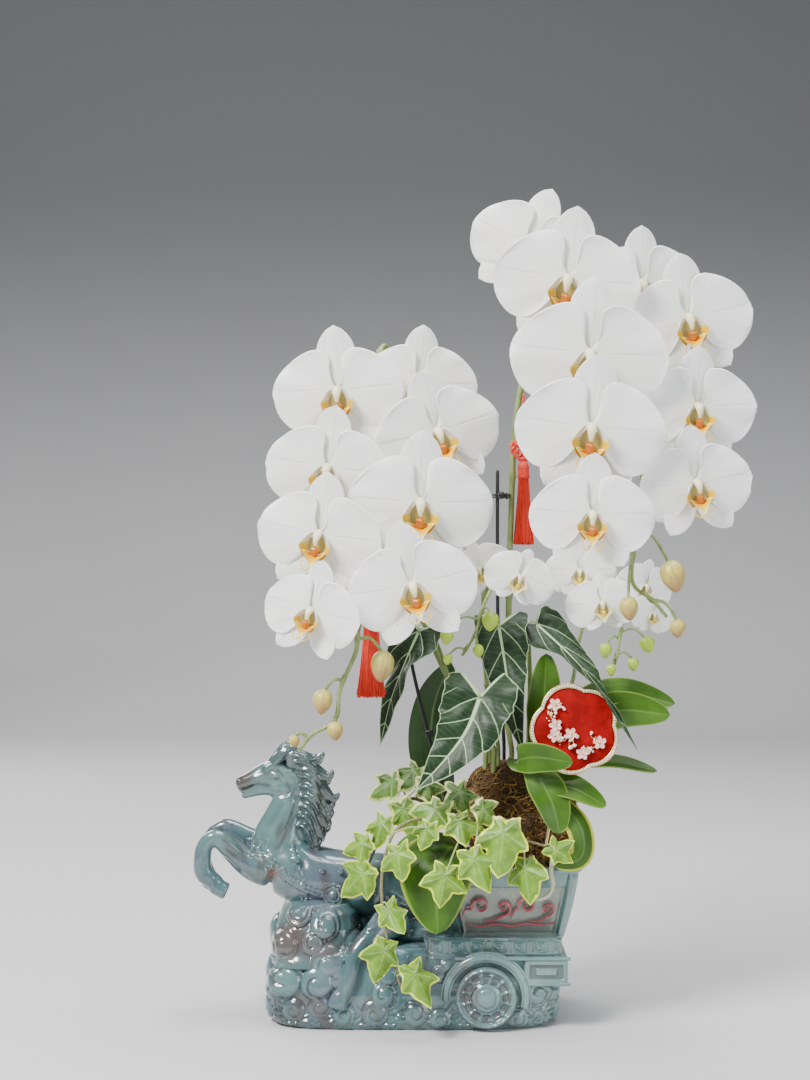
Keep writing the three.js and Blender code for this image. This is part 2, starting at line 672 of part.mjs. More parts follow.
// The small-flowered spikes
const miniLeftLine = [
  ...foot("ball", 66, -12, 202, 1.8),
  ...route([[58, 256, -2], [54, 300, 10], [56, 332, 18], [64, 344, 10], [60, 334, -10], [53, 318, -24],
    [50, 305, -30],
    [46, 296, -32], [38, 283, -34]]),
];
addNode("mini_spike_left", spike(miniLeftLine, [1.8, 1.7, 1.6, 1.4, 1.1], 4, 12,
  [["mini_bloom_left_1", 0.68], ["mini_bloom_left_2", 0.54, [54, 326, 34]]],
  [[0.85, 61, 318, -36, 16, 7, -0.1], [0.88, 26, 304, -36, 13, 5.5, -0.1],
    [0.93, 50, 292, -38, 11, 4.6, 0.1],
    [0.98, 27, 284, -36, 9, 4, -0.2]]), materials.mini);

const miniRightLine = [
  ...foot("ball", 102, -4, 202, 1.8),
  ...route([[126, 262, 16], [130, 290, 30], [140, 320, 42], [158, 340, 42], [168, 330, 24], [166, 312, 6],
    [164, 298, -6],
    [162, 286, -12], [160, 276, -14]]),
];
addNode("mini_spike_right", spike(miniRightLine, [1.8, 1.7, 1.6, 1.4, 1.1], 4, 12,
  [["mini_bloom_right_1", 0.58], ["mini_bloom_right_2", 0.78], ["mini_bloom_right_3", 0.68],
    ["mini_bloom_right_4", 0.84]],
  [[0.9, 184, 298, -14, 14, 6.5, 0.3], [0.92, 153, 293, -14, 13, 5.2, -0.1],
    [0.97, 174, 281, -16, 11, 5, 0.1],
    [0.98, 157, 276, -18, 10, 4, 0]]), materials.mini);

// Strap leaves of the orchids
const strapWidth = (half, slimness = 0.55, tip = 0.16) => (t) =>
  half * Math.max(0.3 * (1 - t), Math.sin(Math.PI * Math.min(0.05 + 0.95 * t, 1) ** 1.15) ** slimness,
    t > 0.5 ? tip : 0);
// Each leaf: its spine as seen from the front, half its width, and the way its face looks.
function strapLeaf({ spine, half, facing, fold = 0.25, slimness = 0.55 }) {
  return strap(route(spine), strapWidth(half, slimness), facing, { fold, steps: half > 12 ? 4 : 3 });
}
const RIGHT_LEAVES = [
  {
    spine: [[90, 196, -34], [98, 215, -32], [103, 245, -26], [105, 284, -20]],
    half: 14, facing: vec(0.1, -1, 0.1),
  },
  {
    spine: [[94, 204, -30], [124, 232, -10], [160, 250, -2], [208, 238, 0]],
    half: 15, facing: vec(-0.3, -0.5, 1),
  },
  {
    spine: [[94, 200, -30], [128, 214, -18], [160, 227, -18], [200, 226, -22]],
    half: 12, facing: vec(-0.1, -0.8, 1),
  },
  {
    spine: [[94, 196, -30], [126, 196, -28], [160, 197, -30], [194, 190, -34]],
    half: 9, facing: vec(-0.1, -0.5, 1),
  },
  {
    spine: [[90, 190, -40], [90, 190, -62], [102, 200, -82], [130, 198, -88]],
    half: 10, facing: vec(-0.3, -0.9, 1),
  },
  {
    spine: [[92, 195, -40], [108, 182, -58], [130, 174, -70], [152, 163, -76]],
    half: 12, facing: vec(0, -0.8, 1),
  },
  {
    spine: [[88, 196, -42], [100, 184, -64], [110, 164, -76], [116, 140, -78]],
    half: 13, facing: vec(0.2, -1, 0.5),
  },
];
function crown(x, y, z, radius, height) {
  const profile = [[0, 0], [radius * 0.6, 0], [radius, height * 0.45], [radius * 0.75, height],
    [0, height]];
  return turned(profile, vec(x, y, z), vec(x, y, z + 1), 6);
}
const leafFoot = (where, x, y, z) => {
  const line = foot(where, x, y, z, 4);
  return stem([line[0], line[2].clone().add(vec(0, 0, 8))], 4, 6, 1, vec(1, 0, 0));
};
addNode("orchid_leaves_right", join([
  crown(90, -33, 191, 8, 19), leafFoot("ball", 90, -31, 194),
  ...RIGHT_LEAVES.map(strapLeaf),
]), materials.leaf);

const LEFT_LEAVES = [
  {
    spine: [[38, 126, -32], [30, 131, -54], [18, 112, -76], [18, 60, -78]],
    half: 33, facing: vec(0, -1, 0.9), fold: -0.08, slimness: 1,
  },
  {
    spine: [[36, 127, -30], [18, 134, -46], [-2, 130, -58], [-18, 116, -66]],
    half: 12, facing: vec(-0.4, -0.9, 0.8), fold: 0.1,
  },
];
addNode("orchid_leaves_left", join([
  crown(38, -31, SOIL_Z + 1, 7, 18), leafFoot("soil", 38, -31, SOIL_Z),
  ...LEFT_LEAVES.map(strapLeaf),
]), materials.leaf);

// Arrow-shaped leaves: a waved blade with a long tip, two lobes behind the stalk, and the stalk itself.
function arrowLeaf({ where, base, stalk, spine, lobes, half, facing }) {
  const bladeWidth = (t) => half * Math.max(0.07, Math.sin(Math.PI * (0.3 + 0.7 * t)) ** 0.8);
  const wave = (t, u) => half * 0.13 * Math.sin(t * 17) * u * u;
  const blade = strap(route(spine), bladeWidth, facing, { fold: 0.12, wave, steps: 6 });
  const heart = route([spine[0]])[0];
  const lobeWidth = (t) => half * (0.2 + 0.42 * Math.sin(Math.PI * Math.min(0.25 + 0.75 * t, 0.93)));
  const sides = lobes.map((rows) =>
    strap([heart, ...route(rows)], lobeWidth, facing, { fold: 0.1, steps: 2 }));
  const petiole = stem([...foot(where, ...base, 2.2), ...route(stalk), heart], [2.2, 2.1, 1.9, 1.6], 4, 6,
    vec(0.9, 0.3, 0.1));
  return join([blade, ...sides, petiole]);
}
const ARROW_LEAVES = {
  arrow_leaf_front: {
    where: "ball", base: [62, -20, 202], stalk: [[48, 232, -22], [41, 262, -42]],
    spine: [[53, 255, -52], [38, 230, -64], [20, 202, -72], [3, 173, -74]],
    half: 30, facing: vec(-0.2, -1, 0.35),
    lobes: [[[40, 270, -50], [26, 272, -54]], [[64, 268, -50], [68, 284, -48]]],
  },
  arrow_leaf_middle: {
    where: "ball", base: [76, -20, 202], stalk: [[68, 260, -8], [65, 306, -8]],
    spine: [[63, 307, -14], [67, 280, -28], [75, 246, -42], [86, 208, -54]],
    half: 20, facing: vec(0.1, -1, 0.15),
    lobes: [[[54, 318, -10], [47, 314, -12]], [[76, 318, -12], [86, 310, -14]]],
  },
  arrow_leaf_right: {
    where: "ball", base: [92, 16, 202], stalk: [[92, 260, 14], [90, 310, 8]],
    spine: [[96, 310, -2], [122, 284, -22], [142, 250, -40], [180, 204, -48]], half: 18,
    facing: [vec(0.3, -1, 0.4), vec(0.8, -0.6, 0.6), vec(0.9, 0.2, 0.9)],
    lobes: [[[96, 324, 0], [110, 322, -4]], [[90, 300, -4], [94, 288, -8]]],
  },
  arrow_leaf_left: {
    where: "ball", base: [56, -8, 202], stalk: [[30, 256, 14], [14, 298, 20]],
    spine: [[3, 302, 16], [-8, 275, 6], [-18, 245, 4], [-28, 209, 6]],
    half: 20, facing: vec(-0.1, -1, 0.3),
    lobes: [[[-8, 312, 14], [-20, 304, 10]], [[14, 312, 14], [22, 300, 12]]],
  },
};
for (const [name, leaf] of Object.entries(ARROW_LEAVES)) addNode(name, arrowLeaf(leaf), materials.darkLeaf);

// Two broad upright leaves behind
function backLeaf(where, base, spine, half) {
  const line = foot(where, ...base, 2.4);
  const heel = line[2].clone().add(vec(0, 0, 20));
  return join([
    strap([heel, ...route(spine)], strapWidth(half), vec(-0.2, -1, 0.1), { fold: 0.2, steps: 5 }),
    stem([...line, heel.clone().add(vec(0, 0, 4))], 2.4, 5, 3, vec(1, 0, 0)),
  ]);
}
addNode("back_leaf_left", backLeaf("soil", [38, 31, SOIL_Z],
  [[27, 165, 42], [20, 212, 48], [25, 272, 46]], 16),
  materials.darkLeaf);

// Variegated ivy

// An ivy leaf: five pointed lobes, as [angle, reach] from the middle.
const IVY_REACH = [[0, 1], [33, 0.55], [66, 0.86], [104, 0.52], [145, 0.66], [215, 0.66], [256, 0.52],
  [294, 0.86], [327, 0.55]];
function ivyLeaf(middle, size, points, facing) {
  const normal = facing.clone().normalize();
  const ahead = points.clone().sub(normal.clone().multiplyScalar(points.dot(normal))).normalize();
  const across = ahead.clone().cross(normal);
  const outline = IVY_REACH.map(([angle, reach], i) => {
    const a = rad(angle);
    return middle.clone()
      .addScaledVector(ahead, Math.cos(a) * reach * size)
      .addScaledVector(across, Math.sin(a) * reach * size)
      .addScaledVector(normal, (i % 2 ? 0.07 : -0.06) * size);
  });
  return fan(outline, middle, normal, 0.9);
}
// A vine: a stem with leaves, each as [how far along, x, z, y, size, degrees from straight down].
function vine(line, radius, leaves) {
  const steps = line.length;
  return join([
    stem(line, [radius, radius, radius * 0.6], 4, steps, vec(0.3, 0.2, 1)),
    ...leaves.flatMap(([t, x, z, y, size, angle]) => {
      const middle = seen(x, z, y);
      const points = vec(Math.sin(rad(angle)), -0.35, -Math.cos(rad(angle)));
      const facing = vec(0.25 * Math.sin(rad(angle)), -1, 0.55);
      const start = onLine(line, t);
      const heel = middle.clone().addScaledVector(points.clone().normalize(), -size * 0.15);
      const stalk = stem([start, heel], 1, 3, 1, vec(0.3, 0.5, 1));
      return [ivyLeaf(middle, size, points, facing), stalk];
    }),
  ]);
}
addNode("ivy_vine_left", vine(
  [...foot("soil", 34, 4, SOIL_Z, 1.5), ...route([[20, 152, 2], [0, 168, -4], [-14, 160, -16],
    [-26, 140, -28],
    [-36, 118, -38], [-40, 104, -42]])], 1.5,
  [[0.5, -2, 191, -6, 18, -30], [0.55, -19, 182, -14, 18, -70], [0.6, 10, 180, -16, 16, 20],
    [0.72, -9, 160, -32, 19, 30], [0.78, -27, 148, -40, 17, -20], [0.85, -42, 132, -46, 17, -80],
    [0.98, -42, 108, -56, 20, -60]]),
  materials.ivy);
addNode("ivy_vine_right", vine(
  [...foot("soil", 34, -7, SOIL_Z, 1.5),
    ...route([[30, 150, -26], [40, 156, -46], [58, 148, -62], [78, 138, -70],
    [98, 132, -72], [112, 128, -72]])], 1.5,
  [[0.5, 36, 174, -50, 18, 20], [0.55, 16, 160, -58, 21, -30], [0.6, 36, 150, -70, 19, 10],
    [0.68, 55, 160, -70, 16, 60], [0.75, 71, 141, -86, 25, -10], [0.85, 88, 112, -82, 21, 5],
    [0.95, 113, 127, -82, 15, 60], [0.62, 48, 120, -92, 20, 25], [0.57, 24, 106, -93, 21, -10]]),
  materials.ivy);
addNode("ivy_vine_trailing", vine(
  [...foot("soil", 35, -17, SOIL_Z, 1.4),
    ...route([[22, 148, -36], [4, 152, -56], [-16, 142, -72], [-26, 110, -78],
    [-26, 80, -80], [-20, 44, -82], [-10, 14, -82]])], 1.4,
  [[0.5, 9, 144, -78, 15, -20], [0.6, -14, 124, -86, 19, 10], [0.72, -20, 79, -88, 17, 30],
    [0.86, -24, 46, -88, 20, -15], [0.95, 1, 28, -90, 20, 25]]), materials.ivy);

// A pale aerial root that hooks over the rim
addNode("aerial_root", join([
  stem([...foot("soil", 110, -30, SOIL_Z, 1.8), vec(109, -42, 128), vec(108, -54, 130),
    vec(107, -60, 120), vec(94, -61, 100)], [1.8, 1.9, 1.9, 1.3], 5, 10, vec(0.9, 0.1, 0.3)),
]), materials.root);

// Stakes and clips
const STAKE_RADIUS = 1.5;
const stakeLeftLine = [
  ...foot("soil", 37, 16, SOIL_Z, STAKE_RADIUS),
  ...route([[14, 207, 26], [-4, 283, 40], [-14, 360, 54], [-20, 430, 62]]),
];
const STAKE_STEPS = 8;
addNode("stake_left", stem(stakeLeftLine, STAKE_RADIUS, 4, STAKE_STEPS, vec(1, 0.2, 0)), materials.black);
const stakeRightLine = [...foot("ball", 72, 14, 202, STAKE_RADIUS),
  ...route([[67, 280, 34], [66, 350, 48], [66, 430, 58]])];
addNode("stake_right", stem(stakeRightLine, STAKE_RADIUS, 4, STAKE_STEPS, vec(1, 0.2, 0)), materials.black);

// A clip: a block round what it holds, with a bead on its front. Each held line leaves its own hole.
function clip(middle, held, half) {
  const block = join([
    box(middle.clone().sub(half), middle.clone().add(half)),
    lump(middle.x, middle.y - half.y - 1.6, middle.z + 0.5, 3.2, 3, 3.2, 6, 4),
  ]);
  const cutFor = ([line, radius, steps, aside]) => stem(line, (radius + GAP) / Math.cos(Math.PI / 6), 6,
    steps, aside);
  return join([held.reduce((solid, one) => solid.subtract(cutFor(one)), block)]);
}
const rising = (line, z) => along(line, 240).find((point) => point.z >= z);
const falling = (line, z) => along(line, 240).findLast((point) => point.z >= z);
addNode("clip_left", clip(rising(stakeLeftLine, 214),
  [[stakeLeftLine, STAKE_RADIUS, STAKE_STEPS, vec(1, 0.2, 0)]],
  vec(4.5, 3.4, 2)), materials.black);
const rightClipAt = rising(stakeRightLine, 410).lerp(rising(rightLine, 410), 0.25);
addNode("clip_right", clip(rightClipAt, [[stakeRightLine, STAKE_RADIUS, STAKE_STEPS, vec(1, 0.2, 0)],
  [rightLine, SPIKE_RADIUS, RIGHT_STEPS, vec(0.15, 1, 0.1)]], vec(7.7, 4.6, 2)), materials.black);

// Tassels

// A woven knot: a plump square standing on a corner, with a loop at each side.
function knot(at, size) {
  const half = size / 2;
  const pad = loft([[-1, 0.15], [-0.45, 0.75], [0.45, 0.75], [1, 0.15]].map(([h, w]) =>
    [[1, 0], [0.4, 0.3], [-0.4, 0.3], [-1, 0], [-0.4, -0.3], [0.4, -0.3]].map(([x, y]) =>
      at.clone().add(vec(x * half * w, y * half, h * half)))));
  const loops = [-1, 1].map((side) => {
    const ring = Array.from({ length: 5 }, (_, i) => {
      const a = rad(-130 + 65 * i);
      const [out, up] = [Math.cos(a) * size * 0.2, Math.sin(a) * size * 0.2];
      return at.clone().add(vec(side * (half + out), 0, up));
    });
    return limb(ring, 1, 1, 3, 4);
  });
  return join([pad, ...loops]);
}
// The tassel: a bound cap, then a skirt whose fluted threads spread towards the hem.
function tassel(top, length, half) {
  const sides = 10;
  const levels = [[0, 0.32], [0.08, 0.42], [0.1, 0.34], [0.16, 0.52], [1, 1]];
  return loft(levels.map(([h, r]) =>
    Array.from({ length: sides }, (_, k) => {
      const angle = (2 * Math.PI * k) / sides;
      const reach = half * r * (h > 0.1 && k % 2 ? 0.84 : 1);
      return top.clone().add(vec(Math.cos(angle) * reach, Math.sin(angle) * reach * 0.8, -h * length));
    })));
}
const CORD_RADIUS = 1.1;
const [CORD_SIDES, CORD_STEPS] = [8, 6];
// A cord's tube: a round section carried along its route.
function tube(points) {
  const corners = Array.from({ length: CORD_SIDES }, (_, k) => {
    const angle = (2 * Math.PI * k) / CORD_SIDES;
    return new THREE.Vector2(Math.cos(angle), Math.sin(angle)).multiplyScalar(CORD_RADIUS);
  });
  const extrudePath = new THREE.CatmullRomCurve3(points);
  return solidOf(new THREE.ExtrudeGeometry(new THREE.Shape(corners), { steps: CORD_STEPS, extrudePath }));
}
function hungTassel(side, hang, cordLength, knotSize, length, half) {
  const knotTop = hang.clone().add(vec(0, 0, -cordLength));
  const middle = knotTop.clone().add(vec(0, 0, -knotSize / 2 - GAP));
  const tasselTop = middle.clone().add(vec(0, 0, -knotSize / 2 - GAP));
  addNode("tassel_cord_" + side, tube([hang, knotTop]), materials.red);
  addNode("tassel_knot_" + side, knot(middle, knotSize), materials.red);
  addNode("tassel_" + side, tassel(tasselTop, length, half), materials.red);
}
// The right one hangs before its spike, and the left one behind its own.
const beside = (point, angle) =>
  point.addScaledVector(vec(Math.sin(rad(angle)), -Math.cos(rad(angle)), 0),
    SPIKE_RADIUS + CORD_RADIUS + GAP);
hungTassel("right", beside(rising(rightLine, 494), 48), 34, 20, 70, 9);
hungTassel("left", beside(falling(leftLine, 374), 180), 34, 20, 64, 12);

// The plaque: a five-lobed red plate in a beaded frame, with sprays of beads and blossoms, on a pick.
const PLAQUE = { x: 128, z: 224, y: -60, radius: 35, lean: 14 };
const plaqueFrame = new THREE.Group();
plaqueFrame.position.copy(seen(PLAQUE.x, PLAQUE.z, PLAQUE.y));
plaqueFrame.rotation.set(rad(-6), rad(PLAQUE.lean), rad(4), "ZXY");
plant.add(plaqueFrame);
function lobedRing(radius, y, sides) {
  return Array.from({ length: sides }, (_, k) => {
    const angle = (2 * Math.PI * k) / sides;
    const reach = radius * (0.88 + 0.12 * Math.abs(Math.cos(2.5 * angle + Math.PI / 4)));
    return vec(Math.cos(angle) * reach, y, Math.sin(angle) * reach);
  });
}
const lobedPlate = (radius, front, back, sides = 20) =>
  loft([lobedRing(radius, front, sides), lobedRing(radius, back, sides)]);
const [PLATE_FRONT, PLATE_BACK] = [-1.5, 2.5];
const plateCore = lobedPlate(PLAQUE.radius * 0.93 - GAP, PLATE_FRONT, PLATE_BACK);
addNode("plaque_plate", plateCore, materials.plaque, plaqueFrame);
const frameRing = lobedPlate(PLAQUE.radius, -3, 3).subtract(lobedPlate(PLAQUE.radius * 0.93, -5, 5));
addNode("plaque_frame", frameRing, materials.gold, plaqueFrame);

// The pick: a rod from the soil to the plate's back, which it meets square.
plaqueFrame.updateMatrixWorld(true);
const onPlaque = (x, y, z) => plaqueFrame.localToWorld(vec(x, y, z));
const pickLine = [...foot("soil", 99, -36, SOIL_Z, 1.4), vec(103, -43, 150), vec(109, -46, 192),
  onPlaque(-6, 12, -12), onPlaque(-6, PLATE_BACK + GAP, -12)];
addNode("plaque_pick", stem(pickLine, 1.4, 4, 8, vec(1, 0.1, 0)), materials.gold);

// Each spray: beads on a curved wire, as [x, z] on the plate.
const SPRAYS = [
  [[-16, -1], [-21, 6], [-20, 14], [-13, 13]],
  [[-15, -9], [-7, -11], [-3, -5], [2, -14]],
  [[9, -17], [15, -12], [20, -6], [13, -3]],
];
const BEAD_RADIUS = 2.5;
const beadLevel = PLATE_FRONT - GAP - BEAD_RADIUS;
SPRAYS.forEach((spots, i) => {
  const wire = stem(spots.map(([x, z]) => vec(x, beadLevel, z)), 0.9, 3, 3);
  const beads = spots.map(([x, z]) => lump(x, beadLevel, z, BEAD_RADIUS, BEAD_RADIUS, BEAD_RADIUS, 4, 3));
  addNode("plaque_spray_" + (i + 1), join([wire, ...beads]), materials.gold, plaqueFrame);
});

// Soil and root ball, cut where the stems stand in them
addNode("root_ball", holes.ball.reduce((solid, hole) => solid.subtract(hole), ballSolid(0)),
  materials.coir);
addNode("potting_soil", holes.soil.reduce((solid, hole) => solid.subtract(hole), soilRaw), materials.soil);

export default plant;
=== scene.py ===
"""Potted moth orchid: the looks of the plant, its glazed horse-and-cart planter, the tassels and the plaque.

Laid out as an add-on: one settings group, one operator for each group of like pieces, one panel.
Shapes are worked out in millimetres as numpy grids and written to meshes in metres.
"""
import math

import bmesh
import bpy
import numpy as np
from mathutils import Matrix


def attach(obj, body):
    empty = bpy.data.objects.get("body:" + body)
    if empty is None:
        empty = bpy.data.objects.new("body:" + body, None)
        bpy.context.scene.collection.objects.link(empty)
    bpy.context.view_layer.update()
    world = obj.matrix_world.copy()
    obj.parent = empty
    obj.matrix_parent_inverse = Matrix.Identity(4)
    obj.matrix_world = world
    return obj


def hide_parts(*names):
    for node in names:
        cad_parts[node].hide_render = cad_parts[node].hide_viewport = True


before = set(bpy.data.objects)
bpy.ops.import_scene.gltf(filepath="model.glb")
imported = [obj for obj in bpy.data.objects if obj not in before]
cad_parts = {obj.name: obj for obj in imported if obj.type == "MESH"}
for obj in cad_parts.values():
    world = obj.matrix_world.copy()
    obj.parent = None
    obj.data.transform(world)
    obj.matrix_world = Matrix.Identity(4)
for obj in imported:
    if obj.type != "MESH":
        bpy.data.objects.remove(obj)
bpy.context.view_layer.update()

bl_info = {
    "name": "Potted Moth Orchid",
    "version": (1, 0, 0),
    "blender": (4, 5, 0),
    "location": "View3D > Sidebar > Orchid",
    "description": "Builds the blooms, leaves, planter and ornaments of a potted moth orchid",
    "category": "Object",
}

METRE = 0.001
ROUND = 2 * math.pi

# Viewpoint of the photograph, and the sizes that several pieces share, in millimetres
EYE = np.array([-8.0, -1400.0, 375.0])
LENS = 58.33
TUB_X = 73.0
SOIL_Z, SOIL_DEPTH = 112.0, 16.0
BALL_X, BALL_TOP, BALL_DEPTH = 84.0, 202.0, 26.0
SPIKE_RADIUS = 2.6
PEDICEL_RADIUS = 1.5
CORD_RADIUS = 1.1
CORD_LENGTH = 34.0


# Vectors and lines

def unit(vectors):
    """Each vector divided by its length."""
    vectors = np.asarray(vectors, float)
    return vectors / np.maximum(np.linalg.norm(vectors, axis=-1, keepdims=True), 1e-9)


def joined(*columns):
    """Arrays of like or stretchable shapes, side by side as the last axis."""
    return np.stack(np.broadcast_arrays(*columns), -1)


def circle(count, shift=0.0):
    """Even angles round a circle, the last one step before the first."""
    return np.linspace(0, ROUND, count, endpoint=False) + shift


def read_off(shares, rows):
    """Values in each column of rows at shares from 0 to 1 of the way down, on straight lines between rows."""
    rows = np.asarray(rows, float)
    return np.stack([np.interp(shares, np.linspace(0, 1, len(rows)), column) for column in rows.T], -1)


def seen(rows):
    """Points given as they are seen: x and z where the sight line crosses y = 0, then their true depth y."""
    x, z, y = np.moveaxis(np.asarray(rows, float), -1, 0)
    share = (y - EYE[1]) / -EYE[1]
    return np.stack([EYE[0] + (x - EYE[0]) * share, y, EYE[2] + (z - EYE[2]) * share], -1)


def foot(depth, x, y, z):
    """Points that lead a stem out of what it stands in: two below the surface, one on it, one above."""
    return np.array([[x, y, z - depth], [x, y, z - depth / 2], [x, y, z], [x, y, z + 8.0]])


def rooted(depth, x, y, z, rows):
    """A stem's line from its foot through points given as they are seen."""
    return np.vstack([foot(depth, x, y, z), seen(rows)])


class Line:
    """A smooth line through points, as a centripetal Catmull-Rom curve measured along its length.

    Each stretch is a cubic whose end slopes come from the neighbouring points, with knots spaced by
    the square root of the distances.
    """

    def __init__(self, points):
        points = np.asarray(points, float)
        padded = np.vstack([2 * points[0] - points[1], points, 2 * points[-1] - points[-2]])
        a, b, c, d = padded[:-3], padded[1:-2], padded[2:-1], padded[3:]
        gaps = np.maximum(np.linalg.norm(np.diff(padded, axis=0), axis=1) ** 0.5, 1e-4)[:, None]
        before, here, after = gaps[:-2], gaps[1:-1], gaps[2:]
        start = ((b - a) / before - (c - a) / (before + here) + (c - b) / here) * here
        stop = ((c - b) / here - (d - b) / (here + after) + (d - c) / after) * here
        s = (np.arange(24) / 24)[None, :, None]
        b, c, start, stop = (v[:, None, :] for v in (b, c, start, stop))
        dense = ((2 * s ** 3 - 3 * s ** 2 + 1) * b + (s ** 3 - 2 * s ** 2 + s) * start
                 + (3 * s ** 2 - 2 * s ** 3) * c + (s ** 3 - s ** 2) * stop)
        self.points = np.vstack([dense.reshape(-1, points.shape[1]), points[-1]])
        steps = np.linalg.norm(np.diff(self.points, axis=0), axis=1)
        self.reach = np.concatenate([[0.0], np.cumsum(steps)])
        self.length = self.reach[-1]

    def at(self, share):
        """Point or points at shares of the length from 0 to 1."""
        where = np.asarray(share, float) * self.length
        return np.stack([np.interp(where, self.reach, column) for column in self.points.T], -1)

    def even(self, count):
        """Points at even steps along the whole line."""
        return self.at(np.linspace(0, 1, count))

    def at_height(self, z, falling=False):
        """First point at or above a height, or with falling the last one at or above it."""
        found = np.nonzero(self.points[:, 2] >= z)[0]
        return self.points[found[-1] if falling else found[0]]


def frames(path, first=None):
    """Unit vectors ahead, across and up at each point of a path, carried along it without twist."""
    ahead = unit(np.gradient(path, axis=0))
    if first is None:
        first = np.eye(3)[np.argmin(np.abs(ahead[0]))]
    across = np.empty_like(path)
    carried = np.asarray(first, float)
    for i, direction in enumerate(ahead):
        carried = carried - direction * (direction @ carried)
        carried = carried / np.linalg.norm(carried)
        across[i] = carried
    return ahead, across, np.cross(ahead, across)


def turned(points, turn=0.0, nod=0.0, lean=0.0):
    """Points turned by lean about y, then nod about x, then turn about z, all in degrees."""
    t, n, r = np.radians([turn, nod, lean])
    about_z = np.array([[math.cos(t), -math.sin(t), 0], [math.sin(t), math.cos(t), 0], [0, 0, 1]])
    about_x = np.array([[1, 0, 0], [0, math.cos(n), -math.sin(n)], [0, math.sin(n), math.cos(n)]])
    about_y = np.array([[math.cos(r), 0, math.sin(r)], [0, 1, 0], [-math.sin(r), 0, math.cos(r)]])
    return np.asarray(points) @ (about_z @ about_x @ about_y).T


def bump(x, middle=0.0, width=1.0):
    """A bell curve of height 1."""
    return np.exp(-((x - middle) / width) ** 2)


def step(low, high, x):
    """0 below low, 1 above high, and a smooth rise between them."""
    t = np.clip((np.asarray(x, float) - low) / (high - low), 0, 1)
    return t * t * (3 - 2 * t)


def waves(points, seed, scale, count=24):
    """Smooth random relief from -1 to 1: a sum of sine waves in random directions."""
    draw = np.random.default_rng(seed)
    ways = unit(draw.normal(size=(count, 3))) * draw.uniform(0.5, 1.6, (count, 1)) / scale
    shifts = draw.uniform(0, ROUND, count)
    total = np.sin(np.asarray(points) @ ways.T * 2 * math.pi + shifts).sum(-1)
    return total / math.sqrt(count)


# Shapes and pieces

def quads_of(rows, columns, wrap=False):
    """The four corners of each face of a grid."""
    i, j = np.meshgrid(np.arange(rows - 1), np.arange(columns if wrap else columns - 1), indexing="ij")
    k = (j + 1) % columns
    corners = [i * columns + j, i * columns + k, (i + 1) * columns + k, (i + 1) * columns + j]
    return np.stack(corners, -1).reshape(-1, 4)


def round_marks(rows, a):
    """Marks for a tube or a turned shape: the share along, and the cosine and sine of the angle round."""
    return joined(rows[:, None], np.cos(a)[None], np.sin(a)[None])


